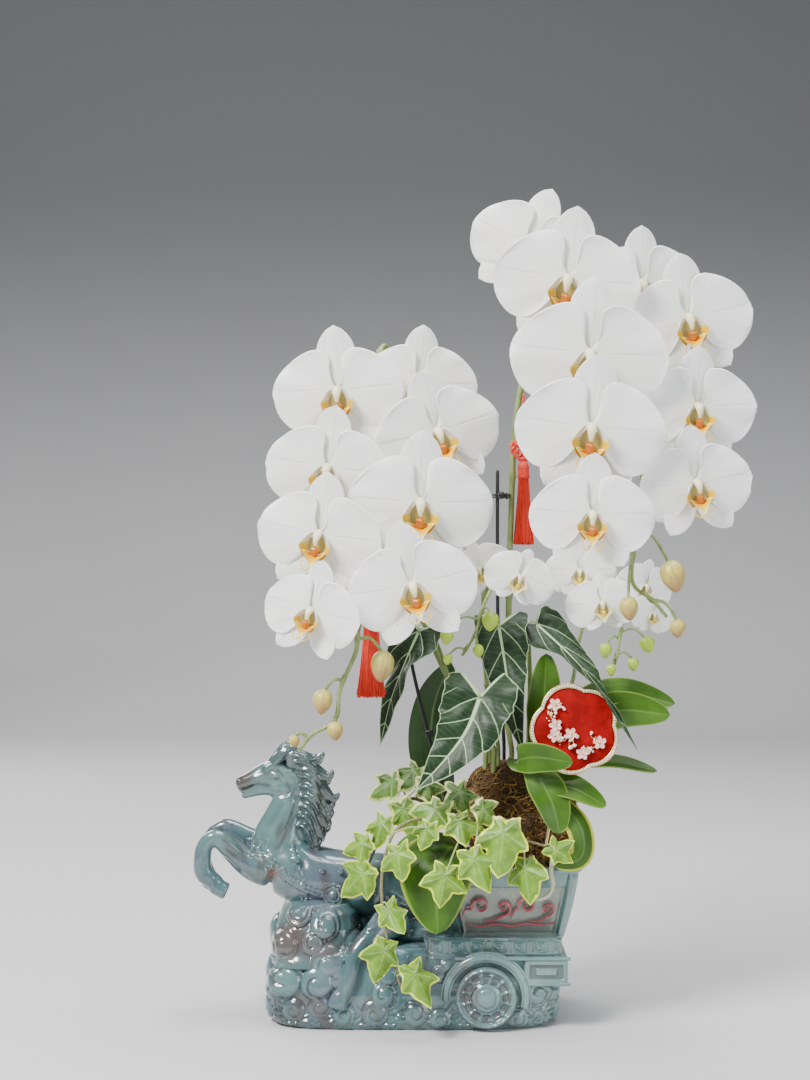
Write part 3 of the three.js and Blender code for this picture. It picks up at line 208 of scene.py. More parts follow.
class Shape:
    """Collects grids of points, in millimetres, into one mesh with two marks on each point.

    place is a vector of pattern coordinates and tone a single number, both read by the finishes.
    """

    def __init__(self):
        self.points, self.faces, self.place, self.tone = [], [], [], []
        self.count = 0

    def _add(self, points, faces, place, tone):
        """Keeps a stack of like grids, all with the same faces. A face's fourth corner is below 0 in a fan."""
        copies, size = points.shape[:2]
        shift = (self.count + np.arange(copies) * size)[:, None, None]
        self.points.append(points.reshape(-1, 3))
        self.faces.append(np.where(faces < 0, -1 << 40, faces + shift).reshape(-1, 4))
        self.place.append(place.reshape(-1, 3))
        self.tone.append(tone.reshape(-1))
        self.count += copies * size

    def surface(self, points, wrap=False, caps=False, place=0.0, tone=0.0):
        """A grid of points, or a stack of like grids. wrap joins its last column to its first, and caps
        close its first and last rows with a fan around their middle."""
        points = np.asarray(points, float)
        stack = points.reshape(-1, *points.shape[-3:])
        copies, rows, columns = stack.shape[:3]
        marks = [stack.reshape(copies, -1, 3), np.broadcast_to(place, stack.shape).reshape(copies, -1, 3),
                 np.broadcast_to(tone, stack.shape[:-1]).reshape(copies, -1)]
        faces = quads_of(rows, columns, wrap)
        if caps:
            marks = [np.concatenate([mark, mark[:, :columns].mean(1, keepdims=True),
                                     mark[:, -columns:].mean(1, keepdims=True)], 1) for mark in marks]
            ring, none = np.arange(columns), np.full(columns, -1)
            after = (ring + 1) % columns
            middle, last = np.full(columns, rows * columns), (rows - 1) * columns
            faces = np.concatenate([faces, np.stack([middle, after, ring, none], -1),
                                    np.stack([middle + 1, last + ring, last + after, none], -1)])
        self._add(marks[0], faces, marks[1], marks[2])
        return self

    def blade(self, front, thick, place=0.0, tone=0.0, back_tone=None):
        """A thin closed leaf: a front grid and a back one, thick apart in the middle and one at the rim."""
        stack = np.asarray(front, float)[None]
        rows, columns = stack.shape[1:3]
        normal = unit(np.cross(np.gradient(stack, axis=2), np.gradient(stack, axis=1)))
        rim = np.zeros((rows, columns), bool)
        rim[[0, -1], :] = True
        rim[:, [0, -1]] = True
        back = stack - normal * (np.broadcast_to(thick, (rows, columns)) * ~rim)[None, :, :, None]
        inner = np.nonzero(~rim.reshape(-1))[0]
        mirror = np.arange(rows * columns)
        mirror[inner] = rows * columns + np.arange(len(inner))
        quads = quads_of(rows, columns)
        place = np.broadcast_to(place, stack.shape).reshape(1, -1, 3)
        tone = np.broadcast_to(tone, stack.shape[:-1]).reshape(1, -1)
        rear = tone[:, inner] if back_tone is None else np.full((1, len(inner)), float(back_tone))
        self._add(np.concatenate([stack.reshape(1, -1, 3), back.reshape(1, -1, 3)[:, inner]], 1),
                  np.concatenate([quads, mirror[quads][:, ::-1]]),
                  np.concatenate([place, place[:, inner]], 1), np.concatenate([tone, rear], 1))
        return self

    def tube(self, path, radii, sides=12, flat=1.0, first=None, tone=0.0, swell=None):
        """A ring carried along a path: point = path + radius (cos a across + flat sin a up). Its ends are
        rounded by rings that shrink on a quarter circle. swell multiplies the radius at each ring point."""
        path = np.asarray(path, float)
        shares = np.linspace(0, 1, len(path))
        radii = np.interp(shares, np.linspace(0, 1, np.size(radii)), np.atleast_1d(radii))
        ahead, across, up = frames(path, first)
        a = circle(sides)
        ring = np.cos(a)[:, None] * across[:, None] + flat * np.sin(a)[:, None] * up[:, None]
        ring = ring * radii[:, None, None] * (1.0 if swell is None else swell[..., None])
        quarter = np.radians([65.0, 35.0])[:, None, None]
        bulge = 0.8 * np.sin(quarter)
        begin = path[0] + ring[:1] * np.cos(quarter) - ahead[0] * radii[0] * bulge
        end = path[-1] + ring[-1:] * np.cos(quarter[::-1]) + ahead[-1] * radii[-1] * bulge[::-1]
        if np.ndim(tone) > 0:
            tone = np.concatenate([tone[:1], tone[:1], tone, tone[-1:], tone[-1:]])
        return self.surface(np.concatenate([begin, path[:, None] + ring, end]), wrap=True, caps=True,
                            place=round_marks(np.concatenate([[0, 0], shares, [1, 1]]), a), tone=tone)

    def lathe(self, profile, axis_at, axis=(0, 0, 1), sides=32, place=None, tone=0.0, swell=1.0):
        """A profile of radius and height turned about an axis. swell multiplies the radius by column."""
        profile = np.asarray(profile, float)
        axis = unit(axis)
        first = np.eye(3)[np.argmin(np.abs(axis))]
        across = unit(first - axis * (axis @ first))
        a = circle(sides)
        ring = np.cos(a)[:, None] * across + np.sin(a)[:, None] * np.cross(axis, across)
        radius = profile[:, :1, None] * np.asarray(swell)[..., None]
        grid = np.asarray(axis_at, float) + radius * ring[None] + profile[:, 1, None, None] * axis
        if place is None:
            place = round_marks(np.linspace(0, 1, len(profile)), a)
        return self.surface(grid, wrap=True, caps=True, place=place, tone=tone)

    def mesh(self, name):
        """The collected grids as a mesh in metres, with doubles merged and faces turned outwards."""
        points = np.concatenate(self.points) * METRE
        faces = np.concatenate(self.faces)
        three = faces[:, 3] < 0
        corners = np.concatenate([faces[~three].reshape(-1), faces[three][:, :3].reshape(-1)])
        sizes = np.concatenate([np.full((~three).sum(), 4), np.full(three.sum(), 3)])
        mesh = bpy.data.meshes.new(name)
        mesh.vertices.add(len(points))
        mesh.vertices.foreach_set("co", points.astype(np.float32).reshape(-1))
        mesh.loops.add(len(corners))
        mesh.loops.foreach_set("vertex_index", corners.astype(np.int32))
        mesh.polygons.add(len(sizes))
        mesh.polygons.foreach_set("loop_start", (np.cumsum(sizes) - sizes).astype(np.int32))
        mesh.update(calc_edges=True)
        for key, kind, field, values in (("place", "FLOAT_VECTOR", "vector", self.place),
                                         ("tone", "FLOAT", "value", self.tone)):
            mark = mesh.attributes.new(key, kind, "POINT")
            mark.data.foreach_set(field, np.concatenate(values).astype(np.float32).reshape(-1))
        tidy_mesh(mesh)
        return mesh


def tidy_mesh(mesh):
    """Merges points that coincide and turns the faces of each closed part outwards."""
    work = bmesh.new()
    work.from_mesh(mesh)
    bmesh.ops.remove_doubles(work, verts=work.verts, dist=2e-6)
    bmesh.ops.dissolve_degenerate(work, edges=work.edges, dist=1e-7)
    bmesh.ops.recalc_face_normals(work, faces=work.faces)
    work.to_mesh(mesh)
    work.free()


def add_object(name, data):
    """A new object in the scene's own collection."""
    obj = bpy.data.objects.new(name, data)
    bpy.context.scene.collection.objects.link(obj)
    return obj


def piece(name, shape, finish, node, sharp=40.0):
    """Makes a shape or mesh into a piece that rides on the part and stands for a node."""
    mesh = shape.mesh(name) if isinstance(shape, Shape) else shape
    mesh.polygons.foreach_set("use_smooth", np.ones(len(mesh.polygons), bool))
    mesh.set_sharp_from_angle(angle=math.radians(sharp))
    mesh.materials.append(finish)
    obj = add_object(name, mesh)
    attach(obj, "root")
    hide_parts(node)
    return obj


# Finishes

class Value:
    """A socket of a shader, which adds Math nodes when it is used in an expression."""

    def __init__(self, finish, socket):
        self.finish, self.socket = finish, socket

    def _math(self, operation, *others):
        return self.finish.value("ShaderNodeMath", {"operation": operation}, dict(enumerate((self,) + others)))

    def __add__(self, other):
        return self._math("ADD", other)

    __radd__ = __add__

    def __sub__(self, other):
        return self._math("SUBTRACT", other)

    def __rsub__(self, other):
        return self.finish.value("ShaderNodeMath", {"operation": "SUBTRACT"}, {0: other, 1: self})

    def __mul__(self, other):
        return self._math("MULTIPLY", other)

    __rmul__ = __mul__

    def __truediv__(self, other):
        return self._math("DIVIDE", other)

    def __pow__(self, other):
        return self._math("POWER", other)

    def sine(self):
        return self._math("SINE")

    def size(self):
        return self._math("ABSOLUTE")

    def fraction(self):
        return self._math("FRACT")

    def top(self, other):
        return self._math("MAXIMUM", other)

    def share(self, low, high):
        """0 where the value is low, 1 where it is high, held within 0 and 1."""
        return self.finish.value("ShaderNodeMapRange", {"clamp": True, "interpolation_type": "SMOOTHSTEP"},
                                 {"Value": self, "From Min": low, "From Max": high})


class Finish:
    """A material with one Principled shader. Constants are set on its own sockets."""

    def __init__(self, name, **constants):
        self.material = bpy.data.materials.new(name)
        self.material.use_nodes = True
        self.tree = self.material.node_tree
        self.shader = self.tree.nodes["Principled BSDF"]
        for socket, value in constants.items():
            self.set(self.shader, socket.replace("_", " "), value)

    def set(self, node, name, value):
        """Links a value to a socket, or sets it there."""
        socket = node.inputs[name]
        if isinstance(value, Value):
            self.tree.links.new(value.socket, socket)
        elif socket.type == "RGBA" and len(value) == 3:
            socket.default_value = (*value, 1.0)
        else:
            socket.default_value = value

    def node(self, kind, settings=None, inputs=None):
        """Adds a node: its type, its settings first, then the values or links of its sockets."""
        node = self.tree.nodes.new(kind)
        for key, value in (settings or {}).items():
            if key == "stops":
                ramp = node.color_ramp
                while len(ramp.elements) < len(value):
                    ramp.elements.new(0.5)
                for element, (position, colour) in zip(ramp.elements, value):
                    element.position = position
                    element.color = (*colour, 1.0)
            else:
                setattr(node, key, value)
        for name, value in (inputs or {}).items():
            self.set(node, name, value)
        return node

    def value(self, kind, settings=None, inputs=None, out=0):
        """Adds a node and gives one of its outputs."""
        return Value(self, self.node(kind, settings, inputs).outputs[out])

    def mark(self):
        """The tone kept on the piece's points."""
        return self.value("ShaderNodeAttribute", {"attribute_name": "tone"}, out="Fac")

    def place(self):
        """The three pattern coordinates kept on the piece's points."""
        return self.parts(self.value("ShaderNodeAttribute", {"attribute_name": "place"}, out="Vector"))

    def parts(self, vector):
        node = self.node("ShaderNodeSeparateXYZ", None, {"Vector": vector})
        return [Value(self, socket) for socket in node.outputs]

    def vector(self, x, y, z):
        return self.value("ShaderNodeCombineXYZ", None, {"X": x, "Y": y, "Z": z})

    def where(self, scale=(1.0, 1.0, 1.0)):
        """The piece's own coordinates in metres, scaled."""
        spot = self.value("ShaderNodeTexCoord", out="Object")
        return self.value("ShaderNodeMapping", None, {"Vector": spot, "Scale": scale})

    def noise(self, scale, detail=3.0, where=None, rough=0.55, twist=0.0):
        """Soft noise over the piece's own coordinates, or over others."""
        where = self.where() if where is None else where
        inputs = {"Vector": where, "Scale": scale, "Detail": detail, "Roughness": rough, "Distortion": twist}
        return self.value("ShaderNodeTexNoise", None, inputs, "Fac")

    def mix(self, share, first, second):
        """A colour between two colours."""
        return self.value("ShaderNodeMix", {"data_type": "RGBA"}, {0: share, 6: first, 7: second}, 2)

    def tints(self, value, *stops):
        """A colour read off a ramp of (position, colour) stops."""
        return self.value("ShaderNodeValToRGB", {"stops": stops}, {"Fac": value}, "Color")

    def layers(self, base, *coats):
        """The base colour with (share, colour) coats mixed over it in turn, sent to the shader."""
        for share, colour in coats:
            base = self.mix(share, base, colour)
        self.colour(base)

    def colour(self, value):
        self.set(self.shader, "Base Color", value)

    def relief(self, height, strength=0.3, distance=0.001):
        """Bumps from a height, sent to the shader. Gives the finished material."""
        made = self.value("ShaderNodeBump", None, {"Height": height, "Strength": strength, "Distance": distance})
        self.set(self.shader, "Normal", made)
        return self.material

    def rough(self, value):
        self.set(self.shader, "Roughness", value)


def shade(colour, factor):
    """A colour made darker or lighter by a factor."""
    return tuple(min(1.0, channel * factor) for channel in colour)


# Settings

def colour_setting(name, description, default):
    return bpy.props.FloatVectorProperty(name=name, description=description, default=default,
                                         size=3, min=0.0, max=1.0, subtype="COLOR")


def length_setting(name, description, default):
    return bpy.props.FloatProperty(name=name, description=description, default=default, min=0.0,
                                   subtype="DISTANCE", unit="LENGTH")


class OrchidSettings(bpy.types.PropertyGroup):
    """Sizes and colours that a user would change."""

    petal_white: colour_setting("Petal white", "Colour of the petals and sepals", (0.95, 0.95, 0.93))
    lip_yellow: colour_setting("Lip yellow", "Colour of the lip's edges", (0.86, 0.6, 0.0))
    lip_orange: colour_setting("Lip orange", "Colour of the stripes at the flower's heart", (0.5, 0.12, 0.01))
    stem_green: colour_setting("Stem green", "Colour of the flower spikes", (0.2, 0.27, 0.08))
    bud_tan: colour_setting("Bud tan", "Colour of the large buds", (0.56, 0.5, 0.1))
    strap_green: colour_setting("Strap leaf green", "Colour of the orchids' own leaves", (0.045, 0.12, 0.006))
    arrow_green: colour_setting("Arrow leaf green", "Dark colour between the pale veins", (0.008, 0.022, 0.008))
    vein_pale: colour_setting("Vein colour", "Pale veins and margin of the arrow leaves", (0.36, 0.5, 0.27))
    ivy_green: colour_setting("Ivy green", "Middle of the ivy leaves", (0.075, 0.19, 0.02))
    ivy_cream: colour_setting("Ivy margin", "Margin of the ivy leaves", (0.64, 0.67, 0.28))
    glaze_teal: colour_setting("Glaze", "Main colour of the planter's glaze", (0.06, 0.14, 0.157))
    glaze_brown: colour_setting("Glaze breaks", "Colour of the glaze where it runs thin", (0.065, 0.05, 0.048))
    tassel_red: colour_setting("Tassel red", "Colour of the cords, knots and tassels", (0.72, 0.025, 0.008))
    velvet_red: colour_setting("Velvet red", "Colour of the plaque's plate", (0.31, 0.001, 0.001))
    gilt: colour_setting("Gilt", "Colour of the plaque's frame", (0.86, 0.62, 0.3))
    leaf_thickness: length_setting("Leaf thickness", "Thickness of the strap and arrow leaves", 0.0011)
    petal_thickness: length_setting("Petal thickness", "Thickness of the petals", 0.0009)
    light_power: bpy.props.FloatProperty(name="Light", description="Strength of the studio lights",
                                         default=1.0, min=0.0, max=4.0)


def settings():
    """The sizes and colours as they are set now."""
    return bpy.context.scene.orchid


# Stage

# Each light: place, target, size, power and colour
LIGHTS = {
    "key_light": ((-1.1, -1.1, 1.75), (0.05, 0.0, 0.36), 0.7, 95, (1.0, 0.98, 0.95)),
    "fill_light": ((1.6, -1.3, 0.7), (0.05, 0.0, 0.3), 1.2, 20, (0.92, 0.96, 1.0)),
    "top_light": ((0.3, 0.1, 1.9), (0.05, 0.0, 0.4), 0.9, 38, (1.0, 1.0, 1.0)),
    "back_light": ((-1.0, 1.5, 1.2), (0.05, 0.0, 0.35), 0.9, 20, (1.0, 0.97, 0.93)),
}


def build_stage():
    """A pale floor that curves up on a quarter circle into a wall behind, its colour turning dark grey with height as
    painted shade for a wall that gets less light, soft lights, and the photograph's camera."""
    reach, near, back, bend, high = 6.0, -4.0, 1.9, 0.9, 5.0
    a = np.linspace(0, math.pi / 2, 24)
    curve = joined(back + bend * np.sin(a), bend * (1 - np.cos(a)))
    profile = np.vstack([[[near, 0.0]], [[back, 0.0]], curve[1:], [[back + bend, high]]])
    grid = joined(np.linspace(reach, -reach, 3)[None], profile[:, :1], profile[:, 1:])
    mesh = Shape().surface(grid / METRE).mesh("studio_floor")
    mesh.polygons.foreach_set("use_smooth", np.ones(len(mesh.polygons), bool))
    finish = Finish("studio floor", Roughness=0.85)
    drift = finish.noise(3.0, 2.0)
    height = finish.parts(finish.where())[2]
    # The floor colour darkens with height up the wall: painted shade standing in for less light on the wall.
    finish.layers((0.52, 0.52, 0.525), (drift, (0.56, 0.56, 0.56)), (height.share(0.0, 1.3), (0.15, 0.152, 0.158)))
    mesh.materials.append(finish.material)
    add_object("studio_floor", mesh)

    world = bpy.data.worlds.new("studio")
    world.use_nodes = True
    world.node_tree.nodes["Background"].inputs["Color"].default_value = (0.75, 0.79, 0.85, 1.0)
    world.node_tree.nodes["Background"].inputs["Strength"].default_value = 0.46
    bpy.context.scene.world = world
    for name, (place, target, size, power, colour) in LIGHTS.items():
        light = bpy.data.lights.new(name, "AREA")
        light.size, light.energy, light.color = size, power * settings().light_power, colour
        lamp = add_object(name, light)
        lamp.location = place
        away = np.asarray(place) - np.asarray(target)
        flat = math.hypot(away[0], away[1])
        lamp.rotation_euler = (math.atan2(flat, away[2]), 0.0, math.atan2(away[1], away[0]) + math.pi / 2)

    camera = bpy.data.cameras.new("camera")
    camera.sensor_fit = "VERTICAL"
    camera.sensor_height, camera.sensor_width = 36.0, 27.0
    camera.lens = LENS
    camera.clip_start, camera.clip_end = 0.05, 30.0
    seat = add_object("camera", camera)
    seat.location = EYE * METRE
    seat.rotation_euler = (math.pi / 2, 0.0, 0.0)
    bpy.context.scene.camera = seat


# Blooms

# Each bloom: the heart's seen x and z, its depth, the span, and how it leans, turns and nods
BLOOMS = {
    "bloom_left_1": (-62, 494, 4, 106, -3, -6, 6),
    "bloom_left_2": (4, 500, 22, 96, 3, 8, 4),
    "bloom_left_3": (18, 461, -6, 104, -16, 12, 5),
    "bloom_left_4": (-70, 432, -20, 101, 8, -8, 5),
    "bloom_left_5": (-77, 379, -46, 99, 10, -10, 3),
    "bloom_left_6": (4, 404, -36, 115, 2, 4, 4),
    "bloom_left_7": (-2, 338, -66, 101, -12, 3, 2),
    "bloom_left_8": (-83, 318, -74, 80, 14, -20, 0),
    "bloom_right_1": (90, 610, 30, 100, 26, -16, 8),
    "bloom_right_2": (122, 583, -12, 117, 8, -4, 8),
    "bloom_right_3": (182, 580, 23, 94, -3, 8, 8),
    "bloom_right_4": (219, 552, 6, 106, -10, 4, 8),
    "bloom_right_5": (140, 523, -34, 124, 4, -2, 7),
    "bloom_right_6": (141, 464, -60, 116, 6, -2, 5),
    "bloom_right_7": (226, 481, -12, 98, 0, 8, 6),
    "bloom_right_8": (225, 420, -38, 93, -8, 10, 4),
    "bloom_right_9": (142, 395, -86, 94, 2, -3, 3),
    "mini_bloom_left_1": (84, 345, -22, 58, 20, 4, 4),
    "mini_bloom_left_2": (52, 352, 28, 58, -20, -12, 6),
    "mini_bloom_right_1": (132, 350, 16, 58, 0, -8, 0),
    "mini_bloom_right_2": (150, 324, -6, 60, -6, -4, 0),
    "mini_bloom_right_3": (184, 338, 10, 54, 12, 24, 4),
    "mini_bloom_right_4": (190, 316, -10, 44, 10, 30, 0),
}

# A petal's upper and lower edges from the heart to its outer tip, in shares of the span
PETAL_TOP = [[0.0, 0.02], [0.036, 0.08], [0.05, 0.17], [0.052, 0.25], [0.085, 0.305], [0.16, 0.322],
             [0.27, 0.288], [0.37, 0.222], [0.46, 0.118], [0.505, 0.0]]
PETAL_FOOT = [[0.0, -0.02], [0.055, -0.075], [0.13, -0.19], [0.24, -0.285], [0.36, -0.272],
              [0.46, -0.165], [0.505, 0.0]]
SEPAL_ANGLES = [0, 146, 214]
# A sepal's half width and length, by whether the bloom is small and whether the sepal is a low one
SEPAL_SIZES = {(False, False): (0.148, 0.485), (False, True): (0.136, 0.47),
               (True, False): (0.112, 0.4), (True, True): (0.118, 0.385)}
NECK = 0.06


def petal(side, seed):
    """One broad petal, in shares of the span: rows join like shares of its two edges, and columns lie closer
    near the edges. Depth: a roof along the midline, whose two slopes fall back from it, folds that fan out
    from the heart and grow outwards, a rolled rim, and slow random waves."""
    draw = np.random.default_rng(seed)
    u, v = np.linspace(0, 1, 23)[:, None], np.sin(np.linspace(-1, 1, 17) * math.pi / 2)[None]
    upper, lower = (Line(edge).at(u[:, 0])[:, None] for edge in (PETAL_TOP, PETAL_FOOT))
    x, z = np.moveaxis((upper + lower) / 2 + (upper - lower) / 2 * v[..., None], -1, 0)
    angle = np.arctan2(z - 0.01, x + 0.02)
    reach = np.hypot(x, z) / 0.5
    rim = np.maximum(np.abs(v), u) ** 8
    roof = np.sqrt((z - 0.05 * x) ** 2 + 0.0006) - 0.0245
    folds = np.sin(angle * 7 + draw.uniform(0, 6)) * 0.6 + np.sin(angle * 13 + draw.uniform(0, 6)) * 0.4
    y = 0.002 + 0.1 * x ** 2 + 0.075 * roof * step(0.02, 0.3, x) - 0.1 * np.maximum(z, 0) ** 2
    y += 0.012 * folds * reach ** 2 + rim * 0.02 * np.sin(angle * 5 + draw.uniform(0, 6))
    y += 0.014 * np.sin(3.1 * x / 0.5 + draw.uniform(0, 6)) * v * reach
    points, place = joined(x * side, y, z), joined(angle, reach, rim)
    return (points, place) if side > 0 else (points[:, ::-1], place[:, ::-1])


def sepal(angle, seed, small):
    """One oval sepal that stands behind the petals. Half its width: a power of a half sine, wider for the
    dorsal one. Depth: a keel, the sides bent back, and the tip bent forward."""
    draw = np.random.default_rng(seed)
    t = np.linspace(0, 1, 15)[:, None]
    v = np.sin(np.linspace(-1, 1, 11) * math.pi / 2)[None]
    widest, length = SEPAL_SIZES[small, angle != 0]
    x = widest * np.sin(math.pi * np.clip(0.05 + 0.95 * t, 0, 1) ** 1.3) ** 0.66 * v
    z = 0.015 + length * t
    y = 0.036 + 0.8 * x ** 2 - 0.03 * t ** 3 - 0.007 * bump(v, 0, 0.15) * (1 - t)
    y = y + 0.009 * np.sin(6 * t + draw.uniform(0, 6)) * v
    turn = math.radians(angle)
    points = joined(x * math.cos(turn) + z * math.sin(turn), y, -x * math.sin(turn) + z * math.cos(turn))
    return points[:, ::-1], joined(v * 0.9, t, np.abs(v) ** 8)[:, ::-1]


def side_lobe(side):
    """One of the lip's two upright lobes, which stand like brackets round the hollow. It runs from an inner
    edge beside the hollow to a front edge that flares out, both bowed by a half sine of the height."""
    s = np.linspace(0, 1, 14)[:, None]
    t = np.linspace(0, 1, 8)[None]
    bow = np.sin(math.pi * (0.08 + 0.82 * s)) ** 0.8
    inner = 0.012 + 0.05 * bow
    outer = 0.03 + 0.082 * bow + 0.012 * step(0.25, 0.5, s) * (1 - step(0.5, 0.8, s))
    x = inner + (outer - inner) * t ** 0.8
    z = -0.17 + 0.19 * s - 0.012 * t - 0.02 * t * (1 - s)
    y = -0.012 - (0.03 + 0.075 * bow) * t * (1 - 0.2 * t)
    tone = (1 - step(0.45, 0.68, s)) * (0.3 + 0.7 * step(0.1, 0.55, t))
    return joined(x * side, y, z)[:, ::side], joined(s, t, 0 * s)[:, ::side], tone[:, ::side]


def front_lobe():
    """The lip's front lobe: a shallow cup at its foot, wide as a crescent with raised pale horns, that draws
    in to a tongue along a line which bends down and forward."""
    s = np.linspace(0, 1, 16)[:, None]
    v = np.linspace(-1, 1, 11)[None]
    path = Line([[0, -0.04, -0.155], [0, -0.085, -0.178], [0, -0.115, -0.2], [0, -0.14, -0.25]]).at(s[:, 0])
    half = np.interp(s, [0, 0.1, 0.3, 0.5, 0.75, 1], [0.035, 0.075, 0.1, 0.07, 0.03, 0.008])
    raised = 0.05 * np.abs(v) ** 2.0 * (half / 0.1)
    points = joined(half * v, path[:, 1:2] - raised * 0.3, path[:, 2:3] + raised)
    tone = 0.95 - 0.9 * step(0.82, 1.0, np.abs(v)) - 0.7 * step(0.5, 0.95, s) + 0.3 * (1 - step(0.0, 0.2, s))
    return points[:, ::-1], joined(s, v, 0)[:, ::-1], tone[:, ::-1]


def hollow():
    """A shallow oval dish behind the column, coloured khaki as painted shade for the shadowed space there. Depth: the
    square of the share from its middle, so that its rim comes forward to the side lobes."""
    r, a = np.linspace(0.02, 1, 5)[:, None], circle(20)[None]
    return joined(0.066 * r * np.sin(a), -0.008 - 0.012 * r ** 2, -0.085 + 0.088 * r * np.cos(a))[:, ::-1]


CALLUS = [[0.001, -0.036], [0.022, -0.034], [0.03, -0.018], [0.026, 0.004], [0.03, 0.024], [0.018, 0.036],
          [0.001, 0.03]]
COLUMN = [[0, 0.01, 0.022], [0, -0.03, 0.016], [0, -0.062, -0.004], [0, -0.08, -0.04], [0, -0.078, -0.075]]
TENDRIL = [[0.004, -0.138, -0.246], [0.028, -0.15, -0.27], [0.062, -0.145, -0.262], [0.082, -0.13, -0.228],
           [0.07, -0.12, -0.2]]
FLAP = [[0.01, -0.055, -0.16], [0.035, -0.06, -0.148], [0.055, -0.07, -0.15]]


def bloom_parts(span, small, seed):
    """The white parts and the lip of one bloom, at the heart, facing -y. The lip's pieces are its side and
    front lobes, the hollow, a ridged callus, two tendrils and two flaps, and the column."""
    white, lip = Shape(), Shape()
    thick = settings().petal_thickness / METRE
    strength = 0.3 if small else 1.0
    for i, side in enumerate((-1, 1)):
        points, place = petal(side, seed * 10 + i)
        white.blade(points * span, thick, place)
    for i, angle in enumerate(SEPAL_ANGLES):
        points, place = sepal(angle, seed * 10 + 5 + i, small)
        white.blade(points * span, thick, place, 1.0 if i else 0.4)
    neck = Line([[0, NECK + 0.004, -0.004], [0, 0.03, -0.002], [0, 0.0, 0.0]]).even(5) * span
    white.tube(neck, np.array([0.02, 0.035, 0.03]) * span, 10, tone=1.0)

    for side in (-1, 1):
        points, place, tone = side_lobe(side)
        lip.blade(points * span, 0.8, place, tone * 0.4 * strength)
        if not small:
            tone = np.linspace(0.1, 0.36, 12)[:, None] + np.zeros(5)
            lip.tube(Line(np.array(TENDRIL) * [side, 1, 1]).even(12) * span,
                     np.array([0.009, 0.0065, 0.004]) * span, 5, tone=tone)
        lip.tube(Line(np.array(FLAP) * [side, 1, 1]).even(8) * span, np.array([0.012, 0.012, 0.004]) * span, 6,
                 tone=0.8 * strength)
    points, place, tone = front_lobe()
    lip.blade(points * span, 0.9, place, tone * 0.4 * strength)
    # The hollow dish, marked by place z = 1, is coloured khaki: painted shade behind the column.
    lip.surface(hollow() * span, wrap=True, caps=True, place=(0.0, 0.0, 1.0))
    ridges = 1 + 0.2 * np.cos(5 * circle(15))[None] * np.linspace(0.2, 1, len(CALLUS))[:, None]
    lip.lathe(np.array(CALLUS) * span, np.array([0, -0.062, -0.128]) * span, (0, -0.25, 1), 15,
              tone=0.78 * strength, swell=ridges)
    lip.tube(Line(COLUMN).even(10) * span, np.array([0.03, 0.033, 0.034, 0.024, 0.012]) * span, 12, flat=0.8,
             first=(1, 0, 0), tone=0.05)
    return white, lip


def petal_finish():
    """Satin white with painted grey-blue shade in the creases and along the midline fold, faintly green at the heart,
    with fine veins that fan out.
    """
    white = settings().petal_white
    finish = Finish("petal", Subsurface_Weight=0.12, Subsurface_Radius=(1.0, 0.95, 0.85),
                    Subsurface_Scale=0.003, Sheen_Weight=0.15, Sheen_Roughness=0.5)
    angle, reach, _ = finish.place()
    veins = finish.noise(1.0, 3.0, finish.vector(angle * 22.0, reach * 1.6, 0.0), 0.6)
    # Crease noise: it raises the bumps, and it is also painted a cooler grey as painted shade in the creases.
    creases_and_shade = finish.noise(1.0, 2.0, finish.vector(angle * 7.0, reach * 0.7, 3.0), 0.5)
    wander = finish.noise(90.0)
    # A band along the midline crease: sunk in the bumps, and painted grey as painted shade along the fold.
    fold = (1.0 - (angle - 0.03).size().share(0.0, 0.05)) * reach.share(0.12, 0.35) * (1.0 - reach.share(0.8, 1.0))
    finish.layers(white, (veins.share(0.4, 0.66) * 0.35, shade(white, 0.9)),
                  (creases_and_shade.share(0.5, 0.75) * 0.3, (0.7, 0.72, 0.74)),
                  (fold * 0.4, (0.66, 0.69, 0.72)),
                  ((1.0 - reach.share(0.05, 0.42)) * 0.5, (0.72, 0.77, 0.6)),
                  (finish.mark() * (1.0 - reach.share(0.0, 0.9)) * 0.35, (0.78, 0.8, 0.58)),
                  (wander.share(0.45, 0.75) * 0.12, (0.8, 0.83, 0.9)))
    finish.rough(0.38 + wander * 0.14)
    return finish.relief(veins * 0.7 + creases_and_shade * 0.8 + wander * 0.15 - fold * 0.9, 0.35, 0.0009)


def lip_finish():
    """White to yellow to orange-brown by tone, with red-brown stripes at the foot of the side lobes and on the callus,
    and khaki painted shade in the hollow behind the column."""
    own = settings()
    finish = Finish("petal lip", Roughness=0.4, Subsurface_Weight=0.03, Subsurface_Scale=0.002)
    tone = finish.mark()
    s, t, inside = finish.place()
    grain = finish.noise(900.0, 2.0)
    colour = finish.tints(tone + (grain - 0.5) * 0.06, (0.0, (0.88, 0.85, 0.8)), (0.1, (0.86, 0.78, 0.3)),
                          (0.26, own.lip_yellow), (0.52, (0.78, 0.3, 0.0)), (0.85, (0.5, 0.12, 0.0)))
    stripes = (s * 70.0).sine().share(0.2, 0.9) * (1.0 - t.share(0.2, 0.5)) * tone.share(0.02, 0.1)
    streaks = finish.noise(1400.0, 2.0, finish.where((1.0, 1.0, 0.3))).share(0.5, 0.6)
    # The last coat, khaki where place z is 1 on the hollow dish, is painted shade for the shadowed space behind the
    # column.
    finish.layers(colour, (stripes * 0.5, (0.35, 0.06, 0.02)),
                  (streaks * tone.share(0.6, 0.75) * 0.7, own.lip_orange),
                  (inside.share(0.5, 0.9) * (1.0 - tone.share(0.0, 0.02)), (0.44, 0.38, 0.12)))
    return finish.relief(grain, 0.25, 0.0003)


